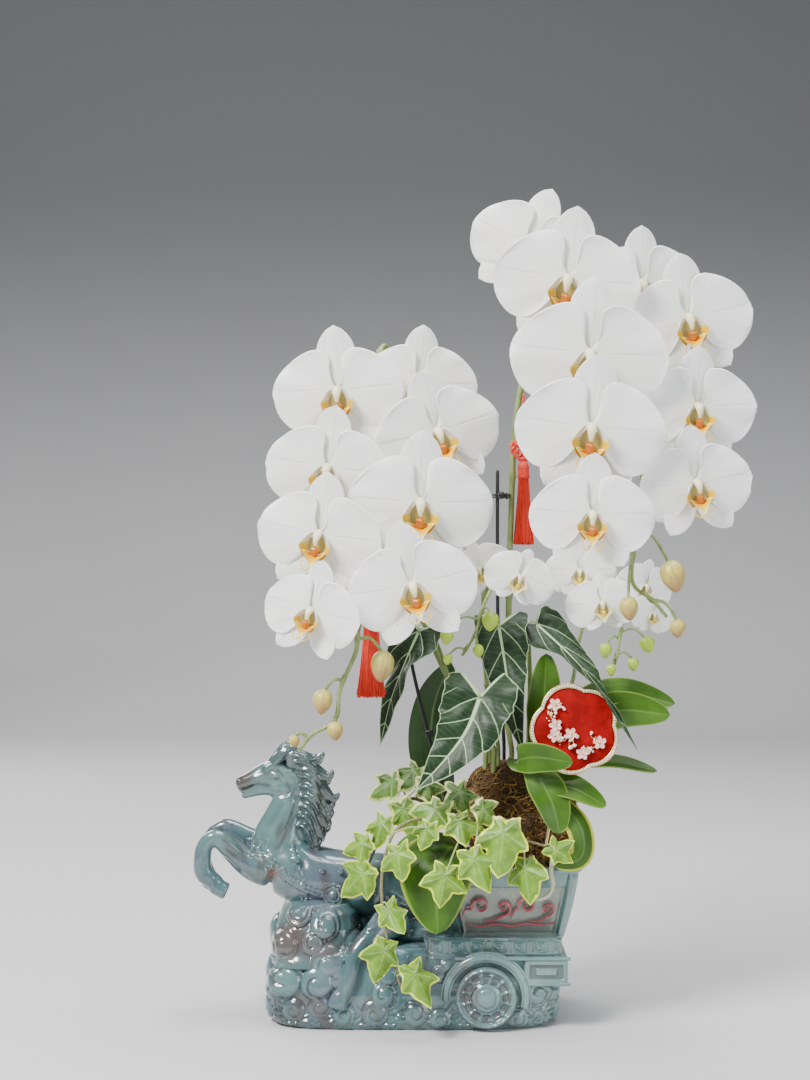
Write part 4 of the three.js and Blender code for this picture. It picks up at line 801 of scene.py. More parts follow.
def build_blooms():
    """Each bloom's white parts and lip, turned and set at the heart."""
    looks = petal_finish(), lip_finish()
    for seed, (name, (x, z, y, span, lean, turn, nod)) in enumerate(BLOOMS.items()):
        parts = bloom_parts(span, name.startswith("mini"), seed)
        for part, shape, look in zip(("_petals", "_lip"), parts, looks):
            shape.points = [turned(points, turn, nod, lean) + seen([x, z, y]) for points in shape.points]
            piece(name + part, shape, look, name)


# Flower spikes

LEFT_SPIKE = rooted(BALL_DEPTH, 60, 12, BALL_TOP, [
    [28, 262, 26], [4, 320, 44], [-10, 380, 58], [-16, 450, 66], [-18, 505, 64], [-24, 530, 52], [-30, 520, 38],
    [-32, 480, 24], [-33, 430, 6], [-35, 380, -14], [-40, 330, -38], [-46, 300, -52], [-47, 287, -56],
    [-60, 255, -60], [-64, 231, -60], [-84, 218, -60], [-92, 207, -60]])
RIGHT_SPIKE = rooted(BALL_DEPTH, 84, -6, BALL_TOP, [
    [76, 262, 22], [75, 330, 46], [77, 400, 60], [80, 463, 60], [88, 510, 57], [106, 560, 58], [132, 594, 60],
    [158, 604, 58], [178, 592, 52], [188, 560, 42], [190, 530, 32], [188, 490, 15], [184, 440, -12],
    [178, 400, -34], [175, 370, -50], [175, 339, -58], [190, 327, -60], [201, 314, -60]])
LEFT_MINI = rooted(BALL_DEPTH, 66, -12, BALL_TOP, [
    [58, 256, -2], [54, 300, 10], [56, 332, 18], [64, 344, 10], [60, 334, -10], [53, 318, -24], [50, 305, -30],
    [46, 296, -32], [38, 283, -34]])
RIGHT_MINI = rooted(BALL_DEPTH, 102, -4, BALL_TOP, [
    [126, 262, 16], [130, 290, 30], [140, 320, 42], [158, 340, 42], [168, 330, 24], [166, 312, 6],
    [164, 298, -6], [162, 286, -12], [160, 276, -14]])
SPIKE_RADII = [2.6, 2.6, 2.5, 2.4, 2.3, 2.2, 2.0, 1.8, 1.4]
MINI_RADII = [1.8, 1.7, 1.6, 1.4, 1.1]
# Shares along each spike of the nodes that bear no bloom or bud, and points that three stalks pass
BARE_NODES = [0.2, 0.32, 0.43]
PASSED = {"bloom_right_2": (125, 556, 28), "bloom_right_4": (203, 534, 28), "mini_bloom_left_2": (54, 326, 34)}

# Each spike: its line, its radii, the first words of its blooms' names, the share along of each bloom, and
# its buds as (share along, seen x, z and depth, length, radius, lean to the right)
SPIKES = {
    "flower_spike_left": (LEFT_SPIKE, SPIKE_RADII, "bloom_left_", [0.6, 0.53, 0.64, 0.67, 0.74, 0.71, 0.79, 0.81], [
        (0.865, -25, 287, -60, 25, 9.5, -0.1), (0.91, -73, 256, -62, 20, 8, -0.1),
        (0.945, -65, 230, -62, 15, 6.5, 0.15), (0.985, -98, 219, -60, 10, 4.5, 0.3)]),
    "flower_spike_right": (RIGHT_SPIKE, SPIKE_RADII, "bloom_right_",
                           [0.56, 0.55, 0.69, 0.75, 0.76, 0.81, 0.79, 0.845, 0.87], [
        (0.9, 203, 359, -66, 26, 10, 0.25), (0.93, 170, 330, -72, 19, 7.5, 0.1), (0.98, 210, 312, -60, 15, 6.5, 0.0)]),
    "mini_spike_left": (LEFT_MINI, MINI_RADII, "mini_bloom_left_", [0.68, 0.54], [
        (0.85, 61, 318, -36, 16, 7, -0.1), (0.88, 26, 304, -36, 13, 5.5, -0.1), (0.93, 50, 292, -38, 11, 4.6, 0.1),
        (0.98, 27, 284, -36, 9, 4, -0.2)]),
    "mini_spike_right": (RIGHT_MINI, MINI_RADII, "mini_bloom_right_", [0.58, 0.78, 0.68, 0.84], [
        (0.9, 184, 298, -14, 14, 6.5, 0.3), (0.92, 153, 293, -14, 13, 5.2, -0.1), (0.97, 174, 281, -16, 11, 5, 0.1),
        (0.98, 157, 276, -18, 10, 4, 0.0)]),
}


def bloom_neck(name):
    """The point at the back of a bloom that its stalk reaches, and the way from the heart to it."""
    x, z, y, span, lean, turn, nod = BLOOMS[name]
    back = turned(np.array([0.0, 1.0, 0.0]), turn, nod, lean)
    return seen([x, z, y]) + back * (NECK * span + 0.3), back


def spike_shape(line, radii, stem, shares, buds):
    """A stem that thickens a little at each node, with a scale there, and a stalk to each bloom and bud."""
    shape = Shape()
    way = Line(line)
    along = np.linspace(0, 1, max(120, int(way.length / 3)))
    nodes = sorted(shares + [row[0] for row in buds] + BARE_NODES)
    radius = np.interp(along, np.linspace(0, 1, len(radii)), radii)
    swelling = sum(bump(along, t, 3.2 / way.length) for t in nodes)
    shape.tube(way.at(along), radius * (1 + 0.3 * swelling), 12)
    for i, t in enumerate(nodes):
        scale_leaf(shape, way, t, np.interp(t, along, radius), i)
    thin = PEDICEL_RADIUS if radii is SPIKE_RADII else PEDICEL_RADIUS * 0.7
    for i, t in enumerate(shares):
        name = stem + str(i + 1)
        end, back = bloom_neck(name)
        start, away = way.at(t), end + back * 8
        middle = seen(PASSED[name]) if name in PASSED else (start + away) / 2 + [0, 0, 2]
        shape.tube(Line([start, middle, away, end]).even(16), [thin * 1.25, thin, thin, thin * 1.15], 8, tone=0.3)
    for t, x, z, y, length, _, aside in buds:
        start, at = way.at(t), seen([x, z, y])
        middle = (start + at) / 2 + np.array([0.0, 0.0, 1.0]) * min(6.0, 0.2 * np.linalg.norm(at - start))
        path = Line([start, middle, at + unit([aside, -0.15, -1.0]) * length * 0.12]).even(12)
        shape.tube(path, [thin, thin * 0.8, thin * 0.85], 8, tone=0.3)
    return shape


def scale_leaf(shape, way, t, radius, seed):
    """The small pointed scale that wraps the stem below each node."""
    at, ahead = way.at(t - 4.5 / way.length), unit(way.at(min(1, t + 0.01)) - way.at(t - 0.01))
    across = unit(np.cross(ahead, [0.3, 1.0, 0.2]))
    up = np.cross(ahead, across)
    s = np.linspace(0, 1, 8)[:, None]
    a = (np.linspace(-1.3, 1.3, 9)[None]) * (1 - s ** 1.6) + (0.6 if seed % 2 else 3.6)
    out = radius * (1.06 + 0.35 * s * s)
    ring = np.cos(a)[..., None] * across + np.sin(a)[..., None] * up
    grid = at + ahead * (s * 7.0)[..., None] + out[..., None] * ring
    shape.blade(grid[:, ::-1], 0.5, joined(s, a, 0), 0.8)


def bud_shape(buds):
    """Eggs with three flat sides and a seam between each."""
    shape = Shape()
    h, a = np.linspace(0, 1, 18)[:, None], circle(30)[None]
    for i, (_, x, z, y, length, size, aside) in enumerate(buds):
        outline = size * (np.sin(math.pi * h ** 0.82) ** 0.62) * (1.0 - 0.08 * h)
        outline[[0, -1]] = 0.01
        seam = np.abs(np.cos(1.5 * a + i))
        swell = 1.0 - 0.07 * (1 - seam) ** 6 * np.sin(math.pi * h) - 0.05 * seam ** 2 * h
        shape.lathe(np.hstack([outline, h * length]), seen([x, z, y]), (aside, -0.15, -1.0), a.size,
                    place=joined(h, a / math.pi, seam), swell=swell)
    return shape


def stem_finish():
    """Olive green stems, browner at the nodes and in long flecks."""
    green = settings().stem_green
    finish = Finish("stem", Subsurface_Weight=0.05, Subsurface_Scale=0.002)
    along = finish.noise(260.0, 3.0, finish.where((1.0, 1.0, 0.25)))
    flecks = finish.noise(900.0, 2.0)
    finish.layers(shade(green, 1.25), (along.share(0.35, 0.7), shade(green, 0.75)),
                  (flecks.share(0.58, 0.72) * 0.5, (0.16, 0.1, 0.06)),
                  (finish.mark().share(0.5, 0.9) * 0.55, (0.3, 0.27, 0.12)))
    finish.rough(0.35 + flecks * 0.2)
    return finish.relief(along, 0.3, 0.0006)


def bud_finish(name, colour, flush):
    """Striped buds: fine lines from the foot to the tip, a flush at the tip and darker seams."""
    finish = Finish(name, Roughness=0.4, Subsurface_Weight=0.08, Subsurface_Scale=0.003)
    height, around, seam = finish.place()
    lines = finish.noise(1.0, 3.0, finish.vector(around * 26.0, height * 2.0, 0.0))
    finish.layers(colour, (height.share(0.3, 1.0) * 0.65, flush), (lines.share(0.45, 0.62) * 0.45, shade(flush, 0.62)),
                  ((1.0 - height.share(0.0, 0.28)) * 0.6, (0.3, 0.36, 0.12)),
                  ((1.0 - seam.share(0.0, 0.2)) * 0.5, shade(colour, 0.55)))
    return finish.relief(lines, 0.25, 0.0005)


def build_spikes():
    """Stems and stalks in one piece and buds in another, for each spike."""
    stems = stem_finish()
    tan = bud_finish("spike bud", settings().bud_tan, (0.4, 0.14, 0.1))
    lime = bud_finish("mini_spike bud", (0.38, 0.58, 0.03), (0.5, 0.6, 0.08))
    for name, row in SPIKES.items():
        small = name.startswith("mini")
        piece(name + "_stem", spike_shape(*row), stems, name)
        piece(name + "_buds", bud_shape(row[-1]), lime if small else tan, name)


# Tassels

TASSEL_GAP = 0.3
CORD_TAIL = 12.5
# Each tassel: the spike's line it hangs from, the height there, whether on the falling side, the angle
# round the stem, then the knot's size and the tassel's length and half width
TASSELS = {
    "right": (RIGHT_SPIKE, 494, False, 48, 20, 70, 9),
    "left": (LEFT_SPIKE, 374, True, 180, 20, 71, 12),
}


def hang_point(side):
    """The point beside the stem where a cord starts."""
    line, z, falling, angle = TASSELS[side][:4]
    point = Line(line).at_height(z, falling)
    a = math.radians(angle)
    return point + np.array([math.sin(a), -math.cos(a), 0]) * (SPIKE_RADIUS + CORD_RADIUS + TASSEL_GAP)


def cord_shape(path):
    """A cord of two twisted strands: the radius follows the cosine of twice the angle less the twist."""
    way = Line(path).even(60)
    a = circle(20)
    twist = np.linspace(0, 20, 60)[:, None]
    return Shape().tube(way, [CORD_RADIUS], 20, swell=0.9 + 0.1 * np.cos(2 * (a[None] - twist)))


def knot_shape(at, size):
    """A flat woven knot: two sets of cords that cross on the slant and pass over and under by a sine of the
    distance, each pair joined by a round loop outside the weave."""
    shape = Shape()
    lanes, radius, half = 4, size * 0.062, size * 0.3
    pitch = 2 * half / (lanes - 1)
    t = np.linspace(0, 1, 32)
    for way in (0, 1):
        for i in range(lanes):
            off = -half + i * pitch
            run = (t - 0.5) * 2 * (half + pitch * 0.35)
            weave = radius * 0.95 * np.cos(math.pi * (run + half) / pitch + math.pi * (i + way))
            u, v = (run, np.full_like(run, off)) if way == 0 else (np.full_like(run, off), run)
            flat = np.stack([(u + v) * math.sqrt(0.5), weave, (v - u) * math.sqrt(0.5)], -1)
            shape.tube(flat + at, [radius], 6)
    a = np.linspace(-0.15, math.pi + 0.15, 12)
    for way in (0, 1):
        for end in (-1, 1):
            for i in range(0, lanes - 1):
                middle = -half + (i + 0.5) * pitch
                out = (half + pitch * 0.35 + pitch * 0.5 * np.sin(a)) * end
                along = middle + pitch * 0.5 * np.cos(a)
                u, v = (out, along) if way == 0 else (along, out)
                rise = 0 * u + radius * 0.5 * np.cos(a)
                flat = np.stack([(u + v) * math.sqrt(0.5), rise, (v - u) * math.sqrt(0.5)], -1)
                shape.tube(flat + at, [radius * 0.92], 6)
    for end in (-1, 1):
        eye = [[0.001, -0.075], [0.1, -0.06], [0.125, 0.0], [0.1, 0.06], [0.001, 0.075]]
        shape.lathe(np.array(eye) * size, at + np.array([0, 0, end * size * 0.43]), (0, 0, 1), 16)
    return shape


def tassel_shape(top, length, half):
    """A bound head above a skirt of straight threads. Each thread falls from the head and spreads by a power
    of its height; its end is cut at the hem with a little spread of lengths."""
    draw = np.random.default_rng(int(length))
    shape = Shape()
    head, waist = length * 0.2, half * 0.52
    rings = np.linspace(0, 1, 40)
    round_head = waist * (0.25 + 0.75 * np.sin(math.pi * np.clip(rings * 1.15, 0, 0.62)) ** 0.7)
    wraps = 1 + 0.05 * np.abs(np.sin(rings * math.pi * 9))
    shape.lathe(np.stack([round_head * wraps, -rings * head], -1), top, (0, 0, 1), 28)
    count, steps, sides = 340, 8, 3
    t = np.linspace(0, 1, steps)[None, :, None]
    angle = draw.uniform(0, ROUND, (count, 1, 1))
    share = np.sqrt(draw.uniform(0.05, 1, (count, 1, 1)))
    foot_angle = angle + draw.normal(0, 0.1, (count, 1, 1)) * t
    reach = waist * 0.86 * share + (half * 0.96 - waist * 0.86) * share * (0.75 * t + 0.25 * t ** 3)
    reach = reach + 0.25 * np.sin(6 * t + angle * 7) * t
    drop = head * 0.92 + (length - head * 0.92) * t * (1 - 0.045 * draw.random((count, 1, 1)))
    path = np.concatenate([reach * np.cos(foot_angle), reach * np.sin(foot_angle), -drop], -1) + top
    ring = circle(sides) + 0.4
    section = np.stack([np.cos(ring), np.sin(ring), 0 * ring], -1) * 0.42
    grid = path[:, :, None] + section
    place = joined(t, draw.random((count, 1, 1)), 0 * t)
    shape.surface(grid, wrap=True, caps=True, place=place, tone=1.0)
    core = np.stack([np.linspace(waist * 0.8, half * 0.82, 12), -np.linspace(head * 0.9, length * 0.955, 12)], -1)
    shape.lathe(core, top, (0, 0, 1), 24, tone=1.0)
    band = [[waist * 0.9, -head * 1.06], [waist * 1.12, -head * 1.03], [waist * 1.16, -head * 0.95],
            [waist * 1.12, -head * 0.87], [waist * 0.9, -head * 0.84]]
    shape.lathe(band, top, (0, 0, 1), 28)
    return shape


def thread_finish():
    """Silky red thread: fine lines along the strands and a soft sheen."""
    red = settings().tassel_red
    finish = Finish("tassel thread", Roughness=0.48, Sheen_Weight=0.5, Sheen_Roughness=0.4,
                    Sheen_Tint=(1.0, 0.4, 0.3, 1.0))
    lines = finish.noise(1500.0, 2.0, finish.where((1.0, 1.0, 0.08)))
    drift = finish.noise(260.0, 2.0, finish.where((1.0, 1.0, 0.15)))
    base = finish.mix(lines.share(0.3, 0.7), shade(red, 0.72), shade(red, 1.12))
    finish.colour(finish.mix(drift.share(0.45, 0.75) * 0.35, base, (0.9, 0.09, 0.02)))
    return finish.relief(lines, 0.4, 0.0003)


def build_tassels():
    """Each side's cord, knot and tassel, one below the other."""
    look = thread_finish()
    for side, row in TASSELS.items():
        knot, length, half = row[4:]
        hang = hang_point(side)
        knot_top = hang - [0, 0, CORD_LENGTH]
        knot_middle = knot_top - [0, 0, knot / 2 + TASSEL_GAP]
        tassel_top = knot_middle - [0, 0, knot / 2 + TASSEL_GAP]
        path = np.linspace(hang, tassel_top - [0, 0, CORD_TAIL], 24)
        length_all = float(hang[2] - path[-1, 2])
        cord = piece(f"tassel_cord_{side}_strand", cord_shape(path), look, f"tassel_cord_{side}")
        tied = piece(f"tassel_knot_{side}_weave", knot_shape(knot_middle, knot), look,
                     f"tassel_knot_{side}")
        skirt = piece(f"tassel_{side}_threads", tassel_shape(tassel_top, length, half), look,
                      f"tassel_{side}")
        tuple(hang * METRE)


# Leaves

def ribbon(spine, facing, rows):
    """A spine's points, its shares, and the unit vectors across it and out of the face that it shows."""
    t = np.linspace(0, 1, rows)
    path = Line(spine).at(t)
    facing = np.atleast_2d(np.asarray(facing, float))
    looks = np.stack([np.interp(t, np.linspace(0, 1, len(facing)), column) for column in facing.T], -1)
    ahead = unit(np.gradient(path, axis=0))
    across = unit(np.cross(ahead, looks))
    return t, path, across, np.cross(across, ahead)


# The orchids' own leaves: spine as seen, half width, the way the face looks, fold and slimness
RIGHT_LEAVES = [
    ([[90, 196, -34], [98, 215, -32], [103, 245, -26], [105, 284, -20]], 14, (0.1, -1, 0.1), 0.25, 0.55),
    ([[94, 204, -30], [124, 234, -10], [160, 253, -2], [208, 244, 0]], 15, (-0.3, -0.8, 0.8), 0.25, 0.55),
    ([[94, 200, -30], [126, 220, -18], [160, 238, -16], [204, 235, -20]], 17, (-0.1, -1, 0.4), 0.2, 0.55),
    ([[94, 196, -30], [126, 196, -28], [160, 197, -30], [194, 190, -34]], 9, (-0.1, -0.5, 1), 0.25, 0.55),
    ([[84, 196, -40], [82, 199, -60], [98, 201, -78], [126, 197, -84]], 12,
     [(0, -0.4, 1), (-0.1, -1, 0.2), (0, -1, -0.1), (0.1, -1, -0.1)], 0.15, 0.55),
    ([[92, 195, -40], [108, 182, -58], [130, 175, -70], [153, 162, -76]], 12, (0, -0.9, 0.9), 0.2, 0.55),
    ([[88, 196, -42], [100, 184, -64], [110, 164, -76], [116, 140, -78]], 15, (0.2, -1, 0.4), 0.2, 0.55),
    ([[94, 190, -46], [116, 168, -66], [134, 142, -74], [133, 121, -76], [112, 114, -80]], 12,
     [(0.2, -0.6, 1), (0.7, -0.9, 0.5), (0.5, -1, 0), (-0.1, -1, -0.2)], -0.3, 0.55),
]
LEFT_LEAVES = [
    ([[38, 126, -32], [30, 131, -54], [18, 112, -76], [18, 60, -78]], 33, (0, -1, 0.9), -0.08, 1.0),
    ([[36, 127, -30], [18, 134, -46], [-2, 130, -58], [-18, 116, -66]], 12, (-0.4, -0.9, 0.8), 0.1, 0.55),
]


def strap_leaf(shape, spine, half, facing, fold, slimness, seed=0):
    """A thick strap: it widens from a narrow foot and closes at the tip on a quarter of a superellipse whose
    power is 1.3 over the slimness. The face folds up from a sunk midrib, and its sides rise and fall. A leaf
    that folds down shows a yellow margin."""
    rows, columns = 44, 17
    t, path, across, normal = ribbon(spine, facing, rows)
    closing = np.clip(1 - np.clip((t - 0.4) / 0.6, 0, 1) ** (1.3 / slimness), 0, 1) ** 0.55
    half_width = half * (0.36 + 0.64 * step(0.0, 0.55, t)) * np.maximum(closing, 0.01)
    u = np.sin(np.linspace(-1, 1, columns) * math.pi / 2)
    reach = np.sqrt(u * u + 0.008) - 0.09
    lift = fold * half_width[:, None] * reach[None]
    lift = lift + 0.05 * half * np.sin(7 * t[:, None] + 1.3 * seed + 1.2 * np.sign(u)) * u[None] ** 2
    lift = lift - 0.06 * half * bump(u, 0, 0.09)[None] * (1 - t[:, None])
    aside = u[None] * half_width[:, None]
    grid = path[:, None] + across[:, None] * aside[..., None] + normal[:, None] * lift[..., None]
    place = joined(t[:, None], u[None], step(0.0, 0.3, -fold) + 0 * lift)
    thick = settings().leaf_thickness / METRE * (1 + 0.9 * bump(u, 0, 0.3))
    shape.blade(grid, np.broadcast_to(thick, (rows, columns)), place=place, tone=0.0, back_tone=1.0)


def crown(shape, at, radius, height):
    """The sheath of overlapping leaf bases that the fan of leaves rises from."""
    profile = [[0.01, -16], [radius * 0.5, -16], [radius * 0.6, 0], [radius, height * 0.45], [radius * 0.7, height],
               [0.01, height + 2]]
    h = np.linspace(0, 1, 22)
    profile = np.stack([np.interp(h, np.linspace(0, 1, 6), column) for column in np.array(profile).T], -1)
    a = circle(40)
    swell = 1 + 0.12 * np.abs(np.cos(a[None] + 0.2 * h[:, None])) ** 3 - 0.04
    shape.lathe(profile, at, (0, 0, 1), 40, swell=swell, tone=0.3)


def build_strap_leaves():
    """The two fans of strap leaves, each with its sheath."""
    look = strap_finish()
    for side, leaves, at in (("right", RIGHT_LEAVES, (90, -33, 191)),
                             ("left", LEFT_LEAVES, (38, -31, SOIL_Z + 1))):
        shape = Shape()
        for seed, (spine, half, facing, fold, slimness) in enumerate(leaves):
            strap_leaf(shape, seen(spine), half, facing, fold, slimness, seed)
        crown(shape, at, 8, 18)
        piece(f"orchid_leaves_{side}_blades", shape, look, f"orchid_leaves_{side}")


def strap_finish():
    """Glossy green with long fine veins, a paler midrib and underside, and a margin that is yellow by place."""
    green = settings().strap_green
    finish = Finish("strap leaf", Roughness=0.34, Specular_IOR_Level=0.32)
    along, aside, yellow = finish.place()
    veins = finish.noise(1.0, 3.0, finish.vector(aside * 22.0, along * 1.2, yellow * 5.0))
    patches = finish.noise(38.0, 3.0)
    midrib = 1.0 - aside.size().share(0.0, 0.09)
    base = finish.mix(patches.share(0.35, 0.7), shade(green, 0.8), shade(green, 1.35))
    base = finish.mix(veins.share(0.4, 0.66) * 0.35, base, shade(green, 0.62))
    base = finish.mix(midrib * 0.3, base, (0.2, 0.34, 0.1))
    edge = finish.mix(yellow, (0.3, 0.42, 0.06), (0.62, 0.64, 0.03))
    base = finish.mix((aside.size() + yellow * 0.2).share(0.88, 1.05) * 0.8, base, edge)
    base = finish.mix((1.0 - along.share(0.02, 0.25)) * 0.35, base, (0.3, 0.4, 0.14))
    finish.colour(finish.mix(finish.mark() * 0.6, base, (0.16, 0.3, 0.1)))
    finish.rough(0.28 + patches * 0.2)
    return finish.relief(veins + patches * 0.4, 0.3, 0.0006)


# Arrow-shaped leaves: foot, stalk, spine, half width, facing and the tips of the two rear lobes, all as seen
ARROW_LEAVES = {
    "arrow_leaf_front": ((62, -20), [[48, 232, -22], [44, 258, -42]],
                         [[52, 249, -54], [41, 222, -66], [23, 198, -72], [0, 174, -74]], 27, (-0.2, -1, 0.3),
                         [[27, 272, -54], [66, 276, -48]]),
    "arrow_leaf_middle": ((76, -20), [[68, 260, -8], [66, 306, -8]],
                          [[67, 306, -14], [72, 276, -28], [77, 242, -42], [87, 203, -54]], 20, (0.1, -1, 0.15),
                          [[48, 316, -12], [90, 322, -14]]),
    "arrow_leaf_right": ((92, 16), [[92, 260, 14], [92, 308, 8]],
                         [[97, 308, -2], [122, 285, -24], [146, 258, -56], [163, 232, -72], [180, 204, -68]], 18,
                         [(0.3, -1, 0.4), (0.6, -0.8, 0.4), (0.9, -0.4, 0.5), (0.8, -0.5, 0.6)],
                         [[112, 324, -4], [90, 290, -8]]),
    "arrow_leaf_left": ((56, -8), [[30, 256, 14], [14, 298, 20]],
                        [[3, 302, 16], [-8, 277, 6], [-19, 248, 4], [-28, 210, 6]], 20,
                        [(-0.1, -1, 0.5), (-0.9, -0.45, 0.3), (-0.8, -0.6, 0.1), (-0.3, -1, 0.1)],
                        [[-20, 300, 10], [22, 304, 12]]),
}
# One side of the outline from the tip to the heart, in shares of the length and of the half width
ARROW_EDGE = [(0.95, 0.06), (0.86, 0.19), (0.72, 0.4), (0.54, 0.62), (0.36, 0.83), (0.2, 0.99), (0.05, 1.04)]
VEINS = 5.0


def vein_line(along, aside):
    """The lines that side veins follow: the share along less a power of the share across, in veins."""
    return (along - aside ** 1.2 * 0.3) * VEINS


def arrow_blade(shape, spine, half, facing, lobes, seed):
    """A shield in rings round its heart. Its outline is a smooth closed line, with a rear lobe on each side,
    waved by a sine; each point lies at its distance along the spine and across it. The fields between the
    veins bulge and the margin rises and falls. Place holds the share along, the share across and the
    distance from a lobe's own vein; tone holds the distance from the rim, both in half widths."""
    rows, columns = 16, 124
    t, path, across, normal = ribbon(seen(spine), facing, 60)
    heart, ahead = path[0], unit(path[1] - path[0])
    length = Line(path).length
    right = [(s * length, w * half) for s, w in ARROW_EDGE]
    flat = np.stack([ahead, across[0]], -1)
    rear = sorted(((seen(tip) - heart) @ flat for tip in lobes), key=lambda lobe: lobe[1])
    sides = []
    for sign, (back, aside) in zip((-1, 1), rear):
        back, aside = min(back, -0.6 * half), max(abs(aside), 0.45 * half)
        lobe = [(0.5 * back, max(0.94 * half, 1.05 * aside)), (0.92 * back, 1.08 * aside), (back, 0.75 * aside),
                (0.6 * back, 0.36 * aside)]
        sides.append([(s, w * sign) for s, w in right + lobe])
    edge = [(length, 0.0)] + sides[1] + [(-0.12 * half, 0.0)] + sides[0][::-1] + [(length, 0.0)]
    edge = Line(edge).even(columns + 1)
    slope = unit(np.gradient(edge, axis=0))[:-1]
    edge = edge[:-1]
    turn = np.arange(columns) / columns * 2 * math.pi
    waved = 1 - step(0.25, 0.7, edge[:, 0] / length)
    edge = edge * (1 + waved * (0.028 * np.sin(13 * turn + seed) + 0.018 * np.sin(29 * turn)))[:, None]
    inset = np.abs(edge[:, 0] * slope[:, 1] - edge[:, 1] * slope[:, 0])
    r = np.linspace(0, 1, rows)[:, None]
    along, aside = r * edge[:, 0] / length, r * edge[:, 1]
    far = np.clip(along, 0, 1)
    spot, out, up = (np.stack([np.interp(far, t, column) for column in v.T], -1) for v in (path, across, normal))
    share = np.abs(aside) / half
    line = vein_line(along, share)
    bulge = np.abs(np.sin(math.pi * line)) * step(0.03, 0.3, share) * (1 - r ** 8)
    wave = np.sin(along * 17 + seed + np.sign(aside)) * share ** 2
    lift = 0.1 * np.abs(aside) + 0.05 * half * bulge * (along > -0.02) + 0.16 * half * wave
    lift = lift - 0.012 * np.minimum(along * length, 0) ** 2
    front = spot + out * aside[..., None] + up * lift[..., None]
    front = front + ahead * np.minimum(along * length, 0)[..., None]
    apart = np.full(aside.shape, 9.0)
    for sign, (back, beside) in zip((-1, 1), rear):
        ray = unit([min(back, -0.6 * half), sign * max(abs(beside), 0.45 * half) * 0.75])
        ahead_of = along * length * ray[0] + aside * ray[1]
        off = np.where(ahead_of > 0, np.abs(along * length * ray[1] - aside * ray[0]), np.hypot(along * length, aside))
        apart = np.minimum(apart, off / half)
    place = np.stack([along, share, apart], -1)
    rim = (1 - r) * inset / half
    thick = settings().leaf_thickness / METRE * (1 - r ** 8) + 0.15
    back = front - up * thick[..., None]
    tone = np.concatenate([np.full((rows, columns), 2.0), rim[::-1]])
    shape.surface(np.concatenate([back, front[::-1]]), wrap=True, caps=True,
                  place=np.concatenate([place, place[::-1]]), tone=tone)


def arrow_finish():
    """Near-black green fields between pale veins, with a thin pale margin, and a dull brown-green back."""
    own = settings()
    dark, pale = own.arrow_green, own.vein_pale
    finish = Finish("arrow leaf", Roughness=0.36, Specular_IOR_Level=0.25)
    along, aside, apart = finish.place()
    rim = finish.mark()
    wander = finish.noise(120.0, 3.0)
    ahead = along.share(-0.03, 0.03)
    line = vein_line(along, aside) + (wander - 0.5) * 0.12
    gap = 0.5 - (line.fraction() - 0.5).size()
    side = (1.0 - gap.share(0.014, 0.046)) * ahead * (1.0 - aside.share(0.5, 1.0) * 0.5)
    fine = 0.5 - ((line * 4.0 + aside * 7.0).fraction() - 0.5).size()
    thin = (1.0 - fine.share(0.0, 0.12)) * 0.06
    midrib = (1.0 - (aside / (1.12 - along)).share(0.03, 0.07)) * ahead
    lobes = (1.0 - apart.share(0.02, 0.055)) * (1.0 - ahead)
    margin = 1.0 - rim.share(0.012, 0.036)
    mask = midrib.top(side * 0.85).top(lobes).top(margin * 0.8).top(thin)
    base = finish.mix(wander.share(0.3, 0.7), dark, shade(dark, 1.8))
    base = finish.mix(mask, base, pale)
    back = rim.share(1.3, 1.7)
    finish.colour(finish.mix(back * 0.85, base, (0.06, 0.07, 0.04)))
    finish.rough(0.3 + wander * 0.25)
    return finish.relief(mask * 0.8 + wander * 0.5, 0.4, 0.0009)


BACK_LEAF = [[23, 165, 42], [13, 212, 46], [16, 246, 48], [29, 277, 46]]


def build_arrow_leaves():
    """Four arrow-shaped leaves on their stalks, and the plain leaf behind them."""
    look, stems = arrow_finish(), stem_finish()
    for seed, (name, (base, stalk, spine, half, facing, lobes)) in enumerate(ARROW_LEAVES.items()):
        shape = Shape()
        arrow_blade(shape, spine, half, facing, lobes, seed)
        piece(name + "_blade", shape, look, name)
        way = Line(np.vstack([foot(BALL_DEPTH, *base, BALL_TOP), seen(stalk), seen([spine[0]])])).even(60)
        piece(name + "_stalk", Shape().tube(way, [2.2, 2.1, 1.9, 1.3], 14, tone=0.3), stems, name)
    shape = Shape()
    line = foot(SOIL_DEPTH, 38, 31, SOIL_Z)
    heel = line[2] + [0, 0, 20]
    strap_leaf(shape, np.vstack([[heel], seen(BACK_LEAF)]), 19, (-0.2, -1, 0.1), 0.2, 0.55, 3)
    shape.tube(Line(np.vstack([line, [heel + [0, 0, 4]]])).even(20), [2.4], 14, tone=0.3)
    piece("back_leaf_left_blade", shape, back_finish(), "back_leaf_left")


def back_finish():
    """Deep glossy green with a pale midrib and long veins."""
    finish = Finish("back leaf", Roughness=0.32)
    along, aside, _ = finish.place()
    veins = finish.noise(1.0, 3.0, finish.vector(aside * 18.0, along * 1.5, 0.0))
    base = finish.mix(veins.share(0.4, 0.65), (0.03, 0.07, 0.022), (0.05, 0.11, 0.03))
    finish.colour(finish.mix((1.0 - aside.size().share(0.02, 0.08)) * 0.6, base, (0.2, 0.32, 0.14)))
    return finish.relief(veins, 0.3, 0.0006)


# Ivy

IVY_LOBES = [(0, 1.08), (62, 0.84), (138, 0.6), (222, 0.6), (298, 0.84)]
IVY_WIDTHS = np.array([0.64, 0.56, 0.5, 0.5, 0.56])
IVY_SPREAD = 1.17
